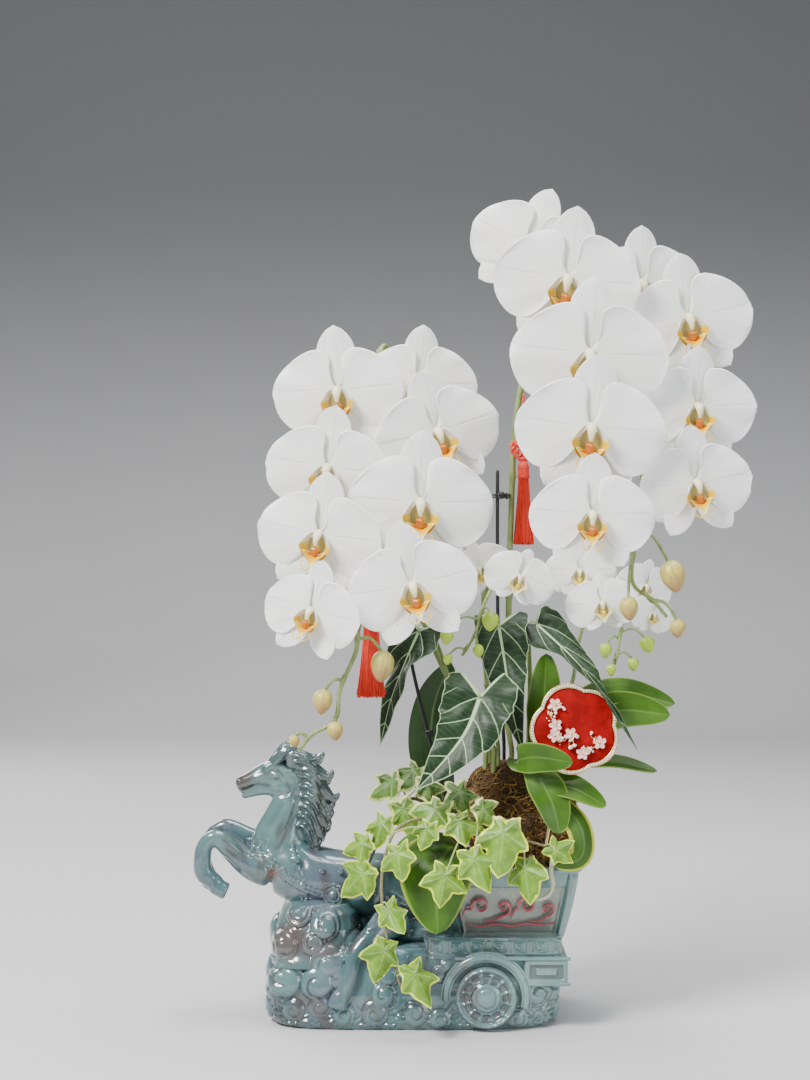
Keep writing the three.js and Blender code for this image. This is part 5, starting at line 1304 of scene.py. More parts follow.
# Each vine: where it leaves the soil, its line as seen, its radius, and its leaves as
# (share along, seen x, z and depth, size, degrees from straight down)
VINES = {
    "ivy_vine_left": ((34, 4), [[20, 152, 2], [0, 168, -4], [-14, 160, -16], [-26, 140, -28], [-36, 118, -38],
                                [-40, 104, -42]], 1.5, [
        (0.5, -2, 191, -6, 18, -30), (0.55, -19, 182, -14, 18, -70), (0.6, 10, 180, -16, 16, 20),
        (0.72, -9, 160, -32, 19, 30), (0.78, -27, 148, -40, 17, -20), (0.85, -42, 132, -46, 17, -80),
        (0.98, -42, 108, -56, 20, -60)]),
    "ivy_vine_right": ((34, -7), [[30, 150, -26], [40, 156, -46], [58, 148, -62], [78, 138, -70], [98, 132, -72],
                                  [112, 128, -72]], 1.5, [
        (0.5, 36, 174, -50, 18, 20), (0.55, 16, 160, -58, 21, -30), (0.6, 36, 150, -70, 19, 10),
        (0.68, 55, 160, -70, 16, 60), (0.75, 71, 141, -86, 25, -10), (0.85, 88, 112, -82, 21, 5),
        (0.95, 113, 127, -82, 15, 60), (0.62, 48, 120, -92, 20, 25), (0.57, 24, 106, -93, 21, -10)]),
    "ivy_vine_trailing": ((35, -17), [[22, 148, -36], [4, 152, -56], [-16, 142, -72], [-26, 110, -78],
                                      [-26, 80, -80], [-20, 44, -82], [-10, 14, -82]], 1.4, [
        (0.5, 9, 144, -78, 15, -20), (0.6, -14, 124, -86, 19, 10), (0.72, -20, 79, -88, 17, 30),
        (0.86, -24, 46, -88, 20, -15), (0.95, 1, 28, -90, 20, 25)]),
}


def ivy_leaf(shape, middle, size, points, facing, seed):
    """A five-lobed leaf in rings round its middle. The reach at each angle is the largest of five pointed
    lobes, each falling off with the angle from its own tip; veins run up the lobes and the fields bulge."""
    draw = np.random.default_rng(seed)
    rows, columns = 8, 100
    a = circle(columns)
    gap = np.abs((a[:, None] - np.radians([lobe[0] for lobe in IVY_LOBES]) + math.pi) % (2 * math.pi) - math.pi)
    reaches = np.array([lobe[1] for lobe in IVY_LOBES]) * (1 + draw.normal(0, 0.08, 5))
    rays = reaches * np.clip(1 - 0.44 * np.clip(gap / IVY_WIDTHS, 0, 3) ** 0.85, 0.36, 1)
    outline = (np.sum(rays ** 9, -1)) ** (1 / 9)
    outline *= (1 - 0.2 * bump(np.abs(a - math.pi), 0, 0.22)) * (1 + 0.015 * np.sin(17 * a + seed))
    r = (np.linspace(0, 1, rows) ** 0.85)[:, None]
    x, z = r * outline * np.sin(a), r * outline * np.cos(a)
    ridge = np.max(bump(gap, 0, 0.10), -1)
    height = 0.09 * np.sin(5.0 * a + 0.6)[None] * r ** 2 - 0.16 * r ** 2 * (1 - 0.35 * ridge)[None]
    height = height + (0.05 * np.sin(draw.uniform(0, 6) + 3.3 * x + 2.4 * z)) * r - 0.025 * ridge[None] * r * (1 - r)
    normal = unit(facing)
    ahead = unit(np.asarray(points) - normal * (np.asarray(points) @ normal))
    across = np.cross(ahead, normal)
    front = middle + size * (ahead * z[..., None] + across * x[..., None] + normal * height[..., None])
    edge = (1 - r) * np.broadcast_to(outline, (rows, columns))
    place = joined(x, z, edge)
    back = front - normal * 0.55 * (1 - r[..., None] ** 6) - normal * 0.15
    grid = np.concatenate([back, front[::-1]])
    marks = np.concatenate([place, place[::-1]])
    tone = np.concatenate([np.ones((rows, columns)), np.zeros((rows, columns))]) + 0 * marks[..., 0]
    shape.surface(grid, wrap=True, caps=True, place=marks, tone=tone)


def ivy_finish():
    """Green in the middle and cream at the margin with a blotched border between, grey-green patches and
    pale veins up each lobe."""
    own = settings()
    green, cream = own.ivy_green, own.ivy_cream
    finish = Finish("ivy leaf", Roughness=0.36)
    x, z, edge = finish.place()
    spot = finish.where()
    wander = finish.noise(150.0, 4.0, spot, 0.6)
    broad = finish.noise(45.0, 2.0, spot)
    angle = finish.value("ShaderNodeMath", {"operation": "ARCTAN2"}, {0: x, 1: z})
    radius = finish.value("ShaderNodeMath", {"operation": "SQRT"}, {0: x * x + z * z})
    veins = None
    for degrees, _ in IVY_LOBES:
        turn = math.radians(degrees)
        beside = (x * math.cos(turn) - z * math.sin(turn)).size()
        behind = 1.0 - (x * math.sin(turn) + z * math.cos(turn)).share(-0.02, 0.03)
        off = beside + behind
        line = 1.0 - off.share(0.006, 0.026)
        veins = line if veins is None else veins.top(line)
    low = 1.0 - finish.parts(spot)[2].share(0.14, 0.19)
    margin = 1.0 - (edge + low * 0.075 + (wander - 0.5) * (0.5 - low * 0.25)).share(0.1, 0.15)
    base = finish.mix(broad.share(0.44, 0.56), shade(green, 0.5), green)
    base = finish.mix(wander.share(0.5, 0.56) * 0.6, base, finish.mix(low, (0.16, 0.24, 0.1), (0.24, 0.42, 0.04)))
    base = finish.mix(low * 0.55, base, (0.19, 0.37, 0.02))
    base = finish.mix(margin * 0.95, base, finish.mix(low, cream, (0.68, 0.8, 0.04)))
    base = finish.mix(veins * 0.32 * (1.0 - radius.share(0.5, 1.0)), base, (0.45, 0.6, 0.3))
    fine = finish.noise(1.0, 3.0, finish.vector(angle * 6.0, radius * 5.0, 0.0))
    finish.colour(finish.mix(finish.mark() * 0.45, base, (0.3, 0.42, 0.2)))
    finish.relief(fine * 0.5 + veins * 0.5 + wander * 0.3, 0.35, 0.0005)
    finish.rough(0.34 + wander * 0.2)
    return finish.material


def build_ivy():
    """Each vine's woody stem with its leaf stalks, and its leaves."""
    look, stems = ivy_finish(), ivy_stem_finish()
    draw = np.random.default_rng(8)
    for seed, (name, (base, line, radius, leaves)) in enumerate(VINES.items()):
        way = Line(np.vstack([foot(SOIL_DEPTH, *base, SOIL_Z), seen(line)]))
        woody, green = Shape(), Shape()
        woody.tube(way.even(110), [radius, radius, radius * 0.6], 10)
        for i, (t, x, z, y, size, degrees) in enumerate(leaves):
            a = math.radians(degrees)
            points = unit([math.sin(a), -0.35, -math.cos(a)])
            facing = (0.25 * math.sin(a) + draw.uniform(-0.55, 0.55), -1, 0.5 + draw.uniform(-0.45, 0.45))
            middle, start = seen([x, z, y]), way.at(t)
            heel = middle - points * size * 0.06
            bend = (start + heel) / 2 + np.array([0, -1.5, 2.5])
            woody.tube(Line([start, bend, heel]).even(14), [0.85, 0.7, 0.7], 8, tone=1.0)
            ivy_leaf(green, middle, size * IVY_SPREAD, points, facing, seed * 20 + i)
        piece(name + "_stem", woody, stems, name)
        piece(name + "_leaves", green, look, name)


def ivy_stem_finish():
    """Brown-green woody stem and reddish-green leaf stalks."""
    finish = Finish("ivy stem", Roughness=0.55)
    bark = finish.noise(400.0, 4.0, finish.where((1, 1, 0.4)))
    stem = finish.mix(bark.share(0.35, 0.7), (0.2, 0.16, 0.08), (0.24, 0.28, 0.1))
    finish.colour(finish.mix(finish.mark(), stem, (0.34, 0.4, 0.16)))
    return finish.relief(bark, 0.4, 0.0006)


# Root ball, soil and roots

BALL_LEVELS = [[84, 26], [108, 32], [124, 36], [150, 43], [176, 42], [190, 34], [198, 20]]
TUB_FLOOR_Z = 74


def superellipse(half_x, half_y, squareness, count, start=0.0):
    """A box with round corners: x = half x sign(c) |c|^(2/s), y likewise with the sine."""
    a = circle(count) + start
    c, s = np.cos(a), np.sin(a)
    power = 2 / squareness
    return np.stack([half_x * np.sign(c) * np.abs(c) ** power, half_y * np.sign(s) * np.abs(s) ** power], -1)


def build_root_ball():
    """The ball's rings roughened by three scales of waves, coir fibres that lie round it, and moss tufts."""
    levels = np.array(BALL_LEVELS, float)
    rows, columns = 70, 110
    z = np.linspace(84, 199, rows)
    radius = Line(levels[:, ::-1]).at(np.linspace(0, 1, 400))
    radius = np.interp(z, radius[:, 1], radius[:, 0])
    radius[-1] = 8
    a = circle(columns)
    base = np.stack([radius[:, None] * np.cos(a), 0.9 * radius[:, None] * np.sin(a), z[:, None] + 0 * a], -1)
    rough = 1.6 * waves(base, 5, 18) + 1.5 * waves(base, 6, 7) + 0.8 * waves(base, 7, 3.2)
    out = unit(base * [1, 1, 0] + [0, 0, 1e-3])
    base = base + out * np.clip(rough, -2.5, 2.8)[..., None] + [BALL_X, 0, 0]
    shape = Shape().surface(base, wrap=True, caps=True)
    draw = np.random.default_rng(11)
    fibres = 1100
    middle_z = draw.uniform(120, 194, fibres)
    middle_a = draw.uniform(0, ROUND, fibres)
    slant = draw.normal(0, 0.9, fibres)
    length = draw.uniform(5, 17, fibres)
    s = np.linspace(-0.5, 0.5, 6)
    run = np.interp(middle_z, z, radius)
    curl = draw.uniform(0.4, 2.4, (2, fibres, 1))
    turn = middle_a[:, None] + s * (length * np.cos(slant) / run)[:, None]
    turn = turn + curl[0] / 43 * np.sin(s * 11 + middle_a[:, None])
    height = middle_z[:, None] + s * (length * np.sin(slant))[:, None] + curl[1] * np.sin(s * 8 + middle_z[:, None])
    height = np.clip(height, 90, 198)
    reach = np.interp(height, z, radius) + 0.6 + draw.uniform(0, 2.6, fibres)[:, None] * (0.4 + 2.0 * np.abs(s) ** 1.5)
    path = np.stack([BALL_X + reach * np.cos(turn), 0.9 * reach * np.sin(turn), height], -1)
    strand_grid(shape, path, draw.uniform(0.3, 0.75, fibres), 3, 0.25 + 0.75 * draw.random(fibres))
    piece("root_ball_coir", shape, coir_finish(), "root_ball")

    moss = Shape()
    count = 420
    a = draw.uniform(0, ROUND, count)
    up = draw.uniform(168, 197, count) - 22 * (draw.random(count) ** 4)
    reach = np.interp(up, z, radius)
    root = np.stack([BALL_X + reach * np.cos(a), 0.9 * reach * np.sin(a), up], -1)
    lean = unit(np.stack([np.cos(a), np.sin(a), draw.uniform(0.3, 1.4, count)], -1) + draw.normal(0, 0.4, (count, 3)))
    size = draw.uniform(2.0, 5.5, count)
    s = np.linspace(0, 1, 5)[None, :, None]
    sag = np.array([0, 0, -1]) * (s ** 2) * size[:, None, None] * 0.4
    curve = root[:, None] + lean[:, None] * s * size[:, None, None] + sag
    strand_grid(moss, curve, draw.uniform(0.35, 0.7, count), 3, draw.random(count), taper=True)
    piece("root_ball_moss", moss, moss_finish(), "root_ball")


def strand_grid(shape, path, radius, sides, tone, taper=False):
    """Many thin strands at once: a small ring carried along each path, in the plane across its first step."""
    ahead = unit(np.gradient(path, axis=1))
    aid = np.where(np.abs(ahead[..., 2:]) > 0.8, [1.0, 0.0, 0.0], [0.0, 0.0, 1.0])
    across = unit(np.cross(ahead, aid))
    up = np.cross(ahead, across)
    ring = circle(sides)
    steps = path.shape[1]
    fade = (1 - 0.8 * np.linspace(0, 1, steps)) if taper else (1 - 0.6 * np.abs(np.linspace(-1, 1, steps)) ** 3)
    size = radius[:, None, None, None] * fade[None, :, None, None]
    round_path = np.cos(ring)[:, None] * across[:, :, None] + np.sin(ring)[:, None] * up[:, :, None]
    grid = path[:, :, None] + size * round_path
    place = joined(np.linspace(0, 1, steps)[None, :, None], ring / 6.3, 0 * grid[..., 0])
    tone = np.broadcast_to(tone[:, None, None], grid.shape[:3])
    shape.surface(grid, wrap=True, caps=True, place=place, tone=tone)


def coir_finish():
    """Matted fibre below, brown noise that runs down to near-black, partly the coir's own dark brown and partly painted
    shade for the gaps between strands, with lighter strands by tone.
    """
    finish = Finish("coir", Roughness=0.92)
    fibre = finish.noise(420.0, 5.0, finish.where((1, 1, 2.2)), 0.65, 0.6)
    broad = finish.noise(60.0, 3.0)
    # The near-black end of this ramp is partly painted shade for the gaps between the strands.
    base = finish.tints(fibre * 0.75 + broad * 0.35, (0.4, (0.015, 0.009, 0.005)), (0.53, (0.09, 0.045, 0.018)),
                        (0.66, (0.22, 0.11, 0.04)), (0.8, (0.36, 0.19, 0.07)))
    strand = finish.mix(finish.mark().share(0.3, 0.95), (0.12, 0.06, 0.015), (0.6, 0.34, 0.08))
    strand = finish.mix(broad.share(0.4, 0.6) * 0.6, strand, (0.12, 0.07, 0.03))
    finish.colour(finish.mix(finish.mark().share(0.05, 0.2), base, strand))
    return finish.relief(fibre + broad * 0.4, 0.8, 0.0016)


def moss_finish():
    """Dull olive tufts, some of them brown."""
    finish = Finish("moss", Roughness=0.95)
    tuft = finish.noise(300.0, 4.0)
    base = finish.tints(tuft, (0.35, (0.06, 0.07, 0.02)), (0.6, (0.16, 0.17, 0.05)), (0.8, (0.28, 0.24, 0.1)))
    finish.colour(finish.mix(finish.mark() * 0.4, base, (0.22, 0.15, 0.07)))
    return finish.relief(tuft, 0.6, 0.001)


def build_soil():
    """Potting mix that fills the tub: a gently heaped top of coarse waves, strewn with bark chips."""
    draw = np.random.default_rng(3)
    wall = 6.5
    low = superellipse(45 - wall, 42 - wall, 5, 110) + [TUB_X, 0]
    high = superellipse(54 - wall, 51 - wall, 5, 110) + [TUB_X, 0]
    rows = []
    for share in np.linspace(0, 1, 6):
        rim = low + (high - low) * share
        rows.append(np.column_stack([rim, np.full(len(rim), TUB_FLOOR_Z + 0.5 + share * (SOIL_Z - TUB_FLOOR_Z - 1))]))
    for share in np.linspace(0.98, 0.02, 28):
        rim = (high - [TUB_X, 0]) * share + [TUB_X, 0]
        top = np.column_stack([rim, np.full(len(rim), SOIL_Z)])
        top[:, 2] += (1.2 * waves(top, 8, 15) + 0.8 * waves(top, 9, 5)) * 0.8 - 0.6
        rows.append(top)
    shape = Shape().surface(np.array(rows), wrap=True, caps=True)
    count = 260
    spread_x, spread_y = draw.uniform(-44, 44, count), draw.uniform(-41, 41, count)
    middle = np.stack([TUB_X + spread_x, spread_y, SOIL_Z + draw.uniform(0.2, 2.2, count)], -1)
    size = draw.uniform(1.6, 4.2, (count, 1, 1, 1)) * draw.uniform(0.5, 1.2, (count, 1, 1, 3))
    h = np.linspace(0.08, math.pi - 0.08, 5)
    a = circle(7)
    ball = np.stack([np.sin(h)[:, None] * np.cos(a), np.sin(h)[:, None] * np.sin(a), np.cos(h)[:, None] + 0 * a], -1)
    lumps = ball[None] * size * (1 + draw.normal(0, 0.13, (count, 5, 7, 1)))
    lumps[..., 2] *= 0.6
    shape.surface(lumps + middle[:, None, None], wrap=True, caps=True, tone=draw.random((count, 1, 1)))
    piece("potting_soil_mix", shape, soil_finish(), "potting_soil")


def soil_finish():
    """Dark crumbs, with bark chips lighter by tone."""
    finish = Finish("potting soil", Roughness=0.95)
    grain = finish.noise(700.0, 4.0)
    lump = finish.noise(120.0, 3.0)
    base = finish.tints(grain * 0.6 + lump * 0.4, (0.35, (0.018, 0.011, 0.007)), (0.6, (0.07, 0.045, 0.025)),
                        (0.75, (0.16, 0.1, 0.055)))
    finish.colour(finish.mix(finish.mark() * 0.7, base, (0.17, 0.1, 0.05)))
    return finish.relief(grain + lump, 0.7, 0.0012)


def build_aerial_root():
    """A lumpy root that climbs out of the soil and hooks over the rim, with a green tip."""
    way = Line(np.vstack([foot(SOIL_DEPTH, 110, -30, SOIL_Z),
                          [[109, -42, 128], [106, -54, 130], [104, -60, 121], [105, -61, 110],
                           [100, -61, 102], [90, -61, 99.5]]])).even(90)
    a = circle(16)
    swell = 1 + 0.08 * waves(way, 15, 5)[:, None] + 0.03 * np.cos(3 * a)[None]
    finish = Finish("aerial root", Roughness=0.6)
    grey = finish.noise(300.0, 3.0)
    along, _, _ = finish.place()
    base = finish.mix(grey.share(0.4, 0.7), (0.62, 0.62, 0.48), (0.42, 0.46, 0.28))
    finish.colour(finish.mix(along.share(0.93, 1.0), base, (0.3, 0.45, 0.12)))
    finish.relief(grey, 0.4, 0.0005)
    shape = Shape().tube(way, [1.8, 1.9, 1.9, 1.3], 16, swell=swell)
    piece("aerial_root_skin", shape, finish.material, "aerial_root")


# Stakes and clips

STAKE_RADIUS = 1.5
STAKE_LEFT = np.vstack([foot(SOIL_DEPTH, 37, 16, SOIL_Z),
                        seen([[14, 207, 26], [-4, 283, 40], [-14, 360, 54], [-20, 430, 62]])])
STAKE_RIGHT = np.vstack([foot(BALL_DEPTH, 72, 14, BALL_TOP), seen([[67, 280, 34], [66, 350, 48], [66, 430, 58]])])


def black_finish(name):
    """Smooth black plastic with fine scuffs."""
    finish = Finish(name, Roughness=0.38)
    scuffs = finish.noise(500.0, 3.0, finish.where((1, 1, 0.3)))
    finish.colour(finish.mix(scuffs.share(0.4, 0.8), (0.012, 0.012, 0.013), (0.035, 0.035, 0.037)))
    finish.rough(0.3 + scuffs * 0.25)
    return finish.relief(scuffs, 0.2, 0.0003)


def clip_shape(middle, half):
    """A spring clip: two jaws with rounded corners, a barrel between them, a bead in front, and a finger tab."""
    shape = Shape()
    for lift in (-1, 1):
        rings = []
        for z, inset in ((-0.9, 0.75), (-0.7, 0.25), (0, 0), (0.7, 0.25), (0.9, 0.75)):
            flat = superellipse(half[0] - inset, half[1] - inset, 4, 40)
            rings.append(np.column_stack([flat, np.full(40, lift * half[2] * 0.52 + z * half[2] * 0.42)]))
        shape.surface(np.array(rings) + middle, wrap=True, caps=True)
    bead = np.array([middle[0], middle[1] - half[1] - 1.6, middle[2] + 0.5])
    h = np.linspace(0, math.pi, 15)
    shape.lathe(np.stack([3.2 * np.sin(h) + 0.005, -3.2 * np.cos(h)], -1), bead, (0, 0, 1), 24)
    ends = np.array([[half[0] * 0.6, 0, -half[2]], [half[0] * 0.6, 0, half[2]]])
    shape.tube(middle + np.linspace(ends[0], ends[1], 6), [1.2], 12)
    tab = Line([middle + [0, -half[1] * 0.4, 0], bead]).even(5)
    shape.tube(tab, [1.3], 10)
    return shape


def build_stakes():
    """Two stakes, and the clip that ties each spike to its stake."""
    look = black_finish("black stake")
    for name, line in (("stake_left", STAKE_LEFT), ("stake_right", STAKE_RIGHT)):
        piece(name + "_rod", Shape().tube(Line(line).even(60), [STAKE_RADIUS], 12), look, name)
    clip_look = black_finish("black clip")
    left = Line(STAKE_LEFT).at_height(214)
    stake, spike = Line(STAKE_RIGHT).at_height(410), Line(RIGHT_SPIKE).at_height(410)
    right = stake + (spike - stake) * 0.25
    piece("clip_left_jaws", clip_shape(left, (4.5, 3.4, 2)), clip_look, "clip_left")
    piece("clip_right_jaws", clip_shape(right, (7.7, 4.6, 2)), clip_look, "clip_right")


# Plaque

PLAQUE_AT = (128, 224, -60)
PLAQUE_RADIUS = 35.0
PLAQUE_TURN = dict(turn=4, nod=-6, lean=14)
SPRAYS = [
    [[-16, -1], [-21, 6], [-20, 14], [-13, 13]],
    [[-15, -9], [-7, -11], [-3, -5], [2, -14]],
    [[9, -17], [15, -12], [20, -6], [13, -3]],
]
PLATE_FRONT, PLATE_BACK = -1.5, 2.5
BEAD_LEVEL = -4.3
RIM_PEARLS = 96


def on_plaque(points):
    """Points in the plaque's own frame, x right, z up and facing -y, placed on the part."""
    return turned(points, **PLAQUE_TURN) + seen(PLAQUE_AT)


def lobed(radius, count):
    """The plaque's outline: five lobes, its reach 0.88 plus 0.12 of a rectified cosine."""
    a = circle(count)
    reach = radius * (0.88 + 0.12 * np.abs(np.cos(2.5 * a + math.pi / 4)))
    return np.cos(a) * reach, np.sin(a) * reach


def lobed_rows(rows, count=180):
    """Rows of the lobed outline, each as (radius, depth)."""
    grid = []
    for radius, depth in rows:
        x, z = lobed(radius, count)
        grid.append(np.stack([x, np.full(count, depth), z], -1))
    return np.array(grid)


def beads(shape, centres, radius, tone=0.0):
    """Round beads with few faces, all at once: radius times the unit sphere at each centre."""
    h = np.linspace(0.02, math.pi - 0.02, 7)
    a = circle(9)
    ball = np.stack([np.sin(h)[:, None] * np.cos(a), np.sin(h)[:, None] * np.sin(a), np.cos(h)[:, None] + 0 * a], -1)
    centres = np.asarray(centres, float)
    radius = np.broadcast_to(radius, len(centres))[:, None, None, None]
    shape.surface(ball * radius + centres[:, None, None], wrap=True, caps=True, tone=tone)


def build_plaque():
    """The plate, its frame with a ring of pearls, the pick behind it and the three sprays."""
    inner = PLAQUE_RADIUS * 0.93 - 0.3
    plate = lobed_rows([(0.5, PLATE_BACK), (inner * 0.5, PLATE_BACK), (inner, PLATE_BACK), (inner, -0.6),
                        (inner * 0.97, PLATE_FRONT), (inner * 0.8, PLATE_FRONT - 0.5), (inner * 0.4, PLATE_FRONT - 0.8),
                        (0.5, PLATE_FRONT - 0.85)])
    piece("plaque_plate_velvet", Shape().surface(on_plaque(plate), wrap=True, caps=True), velvet_finish(),
          "plaque_plate")

    a = circle(12)
    frame_shape = Shape()
    for share, r in ((0.932, 0.7), (0.993, 0.85)):
        rail = lobed_rows([(PLAQUE_RADIUS * share + r * math.cos(t), r * math.sin(t) - 1.7) for t in a])
        frame_shape.surface(on_plaque(np.concatenate([rail, rail[:1]])), wrap=True)
    outer = lobed_rows([(PLAQUE_RADIUS * share, depth) for share, depth in
                        ((0.93, 2.9), (0.985, 2.9), (1.0, 2.4), (1.0, -1.2), (0.985, -1.6), (0.93, -1.6), (0.93, 2.9))])
    frame_shape.surface(on_plaque(outer), wrap=True)
    piece("plaque_frame_rail", frame_shape, gilt_finish("gilt frame"), "plaque_frame")
    pearl = pearl_finish()
    round_line = lobed_rows([(PLAQUE_RADIUS * 0.963, -2.2)])[0]
    ring = Line(np.vstack([round_line, round_line[:1]])).even(RIM_PEARLS + 1)[:-1]
    rim = Shape()
    beads(rim, on_plaque(ring), 0.9)
    piece("plaque_frame_beads", rim, pearl, "plaque_frame")

    line = np.vstack([foot(SOIL_DEPTH, 99, -36, SOIL_Z), [[103, -43, 150], [109, -46, 192]],
                      on_plaque([[-6, 12, -12], [-6, 2.8, -12]])])
    pick = Shape().tube(Line(line).even(70), [1.4], 12)
    piece("plaque_pick_rod", pick, gilt_finish("gilt pick"), "plaque_pick")

    draw = np.random.default_rng(21)
    for i, spots in enumerate(SPRAYS):
        shape = Shape()
        wire = Line([[x, BEAD_LEVEL + 1.4, z] for x, z in spots]).even(30)
        shape.tube(on_plaque(wire), [0.45], 6, tone=1.0)
        stations = Line([[x, BEAD_LEVEL, z] for x, z in spots]).even(21)
        off = np.stack([draw.uniform(-3.6, 3.6, 21), draw.uniform(-0.2, 0.8, 21), draw.uniform(-3.6, 3.6, 21)], -1)
        beads(shape, on_plaque((stations + off)[::2]), draw.uniform(0.8, 1.6, 11))
        beads(shape, on_plaque((stations + off)[1::2]), draw.uniform(0.5, 0.9, 10), tone=1.0)
        for j, at in enumerate(stations[2::4]):
            gilt_leaf(shape, at, 5.5, j * 2.4 + i)
        for x, z in spots[::2]:
            blossom(shape, np.array([x, BEAD_LEVEL - 0.2, z]), 5.2, draw.uniform(0, 6))
        piece(f"plaque_spray_{i + 1}_beads", shape, pearl, f"plaque_spray_{i + 1}")


def gilt_leaf(shape, at, size, turn):
    """A small pointed gilt leaf: half its width is a half sine of the share along, and it arches forward."""
    t = np.linspace(0, 1, 9)[:, None]
    v = np.linspace(-1, 1, 5)[None]
    along, aside = size * t, size * 0.24 * np.sin(math.pi * t) * v
    x, z = along * math.cos(turn) - aside * math.sin(turn), along * math.sin(turn) + aside * math.cos(turn)
    y = 1.0 - 1.6 * np.sin(math.pi * t) * (1 - 0.3 * np.abs(v))
    shape.blade(on_plaque(np.stack([x, y, z], -1) + at), 0.4, tone=1.0)


def blossom(shape, at, size, turn):
    """A five-petalled blossom: the reach follows a rectified cosine, each petal cupped towards the front,
    with a gilt bead at its middle."""
    a = circle(50)
    r = np.linspace(0.04, 1, 7)[:, None]
    reach = size * (0.55 + 0.45 * np.abs(np.cos(2.5 * (a + turn)))) * r
    cup = -1.5 * r ** 2 + 0.5 * r
    front = np.stack([reach * np.cos(a), cup + 0 * a, reach * np.sin(a)], -1) + at
    back = front + [0, 0.5, 0]
    grid = np.concatenate([front[:-1], front[-1:] + [0, 0.2, 0], back[::-1]])
    shape.surface(on_plaque(grid), wrap=True, caps=True, tone=0.5)
    beads(shape, on_plaque([at + [0, -0.9, 0]]), 0.9, tone=1.0)


def velvet_finish():
    """Deep red velvet: fine pile, brushed lighter and darker."""
    red = settings().velvet_red
    finish = Finish("plaque velvet", Roughness=0.85, Specular_IOR_Level=0.2, Sheen_Weight=0.06, Sheen_Roughness=0.35,
                    Sheen_Tint=(1.0, 0.1, 0.08, 1.0))
    pile = finish.noise(1800.0, 2.0)
    brushed = finish.noise(70.0, 3.0)
    base = finish.mix(brushed.share(0.35, 0.7), shade(red, 0.7), shade(red, 1.25))
    finish.colour(finish.mix(pile.share(0.4, 0.7) * 0.3, base, shade(red, 0.5)))
    return finish.relief(pile, 0.4, 0.0003)


def gilt_finish(name):
    """Polished gilt with duller, rougher wear."""
    gold = settings().gilt
    finish = Finish(name, Metallic=1.0, Roughness=0.25)
    wear = finish.noise(350.0, 4.0)
    finish.colour(finish.mix(wear.share(0.4, 0.75), gold, shade(gold, 0.72)))
    finish.rough(0.18 + wear * 0.25)
    return finish.relief(wear, 0.15, 0.0002)


def pearl_finish():
    """Pearls, pink enamel blossoms and gilt wire by tone."""
    gold = settings().gilt
    finish = Finish("pearl", Roughness=0.2)
    tone = finish.mark()
    cloud = finish.noise(500.0, 2.0)
    pearl = finish.mix(cloud, (0.86, 0.8, 0.74), (0.93, 0.9, 0.86))
    base = finish.mix(tone.share(0.3, 0.5), pearl, (0.9, 0.55, 0.5))
    finish.colour(finish.mix(tone.share(0.7, 0.95), base, gold))
    finish.set(finish.shader, "Metallic", tone.share(0.7, 0.95))
    return finish.material


# Planter: relief

def curl_relief(x, z, curls):
    """Height of raised cloud curls: each a flattened ball whose face is cut by a spiral groove, the highest
    one winning. The spiral is where the reach times the turns less the angle is a whole number."""
    height = np.zeros_like(x)
    groove = np.zeros_like(x)
    for cx, cz, r, rise, turns, sense in curls:
        dx, dz = (x - cx) / r, (z - cz) / r
        reach = np.hypot(dx, dz)
        ball = rise * np.clip(1 - reach ** 2.6, 0, 1) ** 0.55
        winding = reach * turns - sense * np.arctan2(dz, dx) / (2 * math.pi)
        off = np.abs(winding - np.round(winding)) / turns
        cut = bump(off, 0, 0.085) * step(0.1, 0.3, reach) * (1 - step(0.9, 1.0, reach))
        mine = ball - cut * 0.3 * rise
        on_top = (ball > height) & (reach < 1)
        groove = np.where(on_top, cut, groove)
        height = np.where(on_top, mine, height)
        rim = bump(reach, 1.04, 0.07)
        groove = np.maximum(groove, np.where(height < 0.4 * rise, rim, 0))
    return height, groove


def wave_relief(x, z, pitch=19.0, low=0.0, high=22.0):
    """Rows of ripples round centres set in a brick pattern: the height is a sine of the distance from the
    nearest centre above, which gives overlapping arcs."""
    best = np.full_like(x, 1e3)
    for row in range(-1, 5):
        cz = low - 6 + row * pitch * 0.36
        cx = (np.round((x / pitch) - 0.5 * (row % 2)) + 0.5 * (row % 2)) * pitch
        reach = np.hypot(x - cx, z - cz)
        inside = reach < pitch * 0.58
        best = np.where(inside, reach, best)
    ripple = 0.55 + 0.45 * np.cos(best * 2 * math.pi / 3.9)
    return np.where(best < 900, ripple, 0.3) * (1 - step(high - 9, high + 2, z + 3 * np.sin(x / 8)))


FRONT_Y = -62.0


def on_front(rows):
    """Curls given as seen on the front face become (x, z, radius, rise, turns, sense) on it."""
    rows = np.array(rows, float)
    at = seen(np.stack([rows[:, 0], rows[:, 1], np.full(len(rows), FRONT_Y)], -1))
    return np.column_stack([at[:, 0], at[:, 2], rows[:, 2:]])


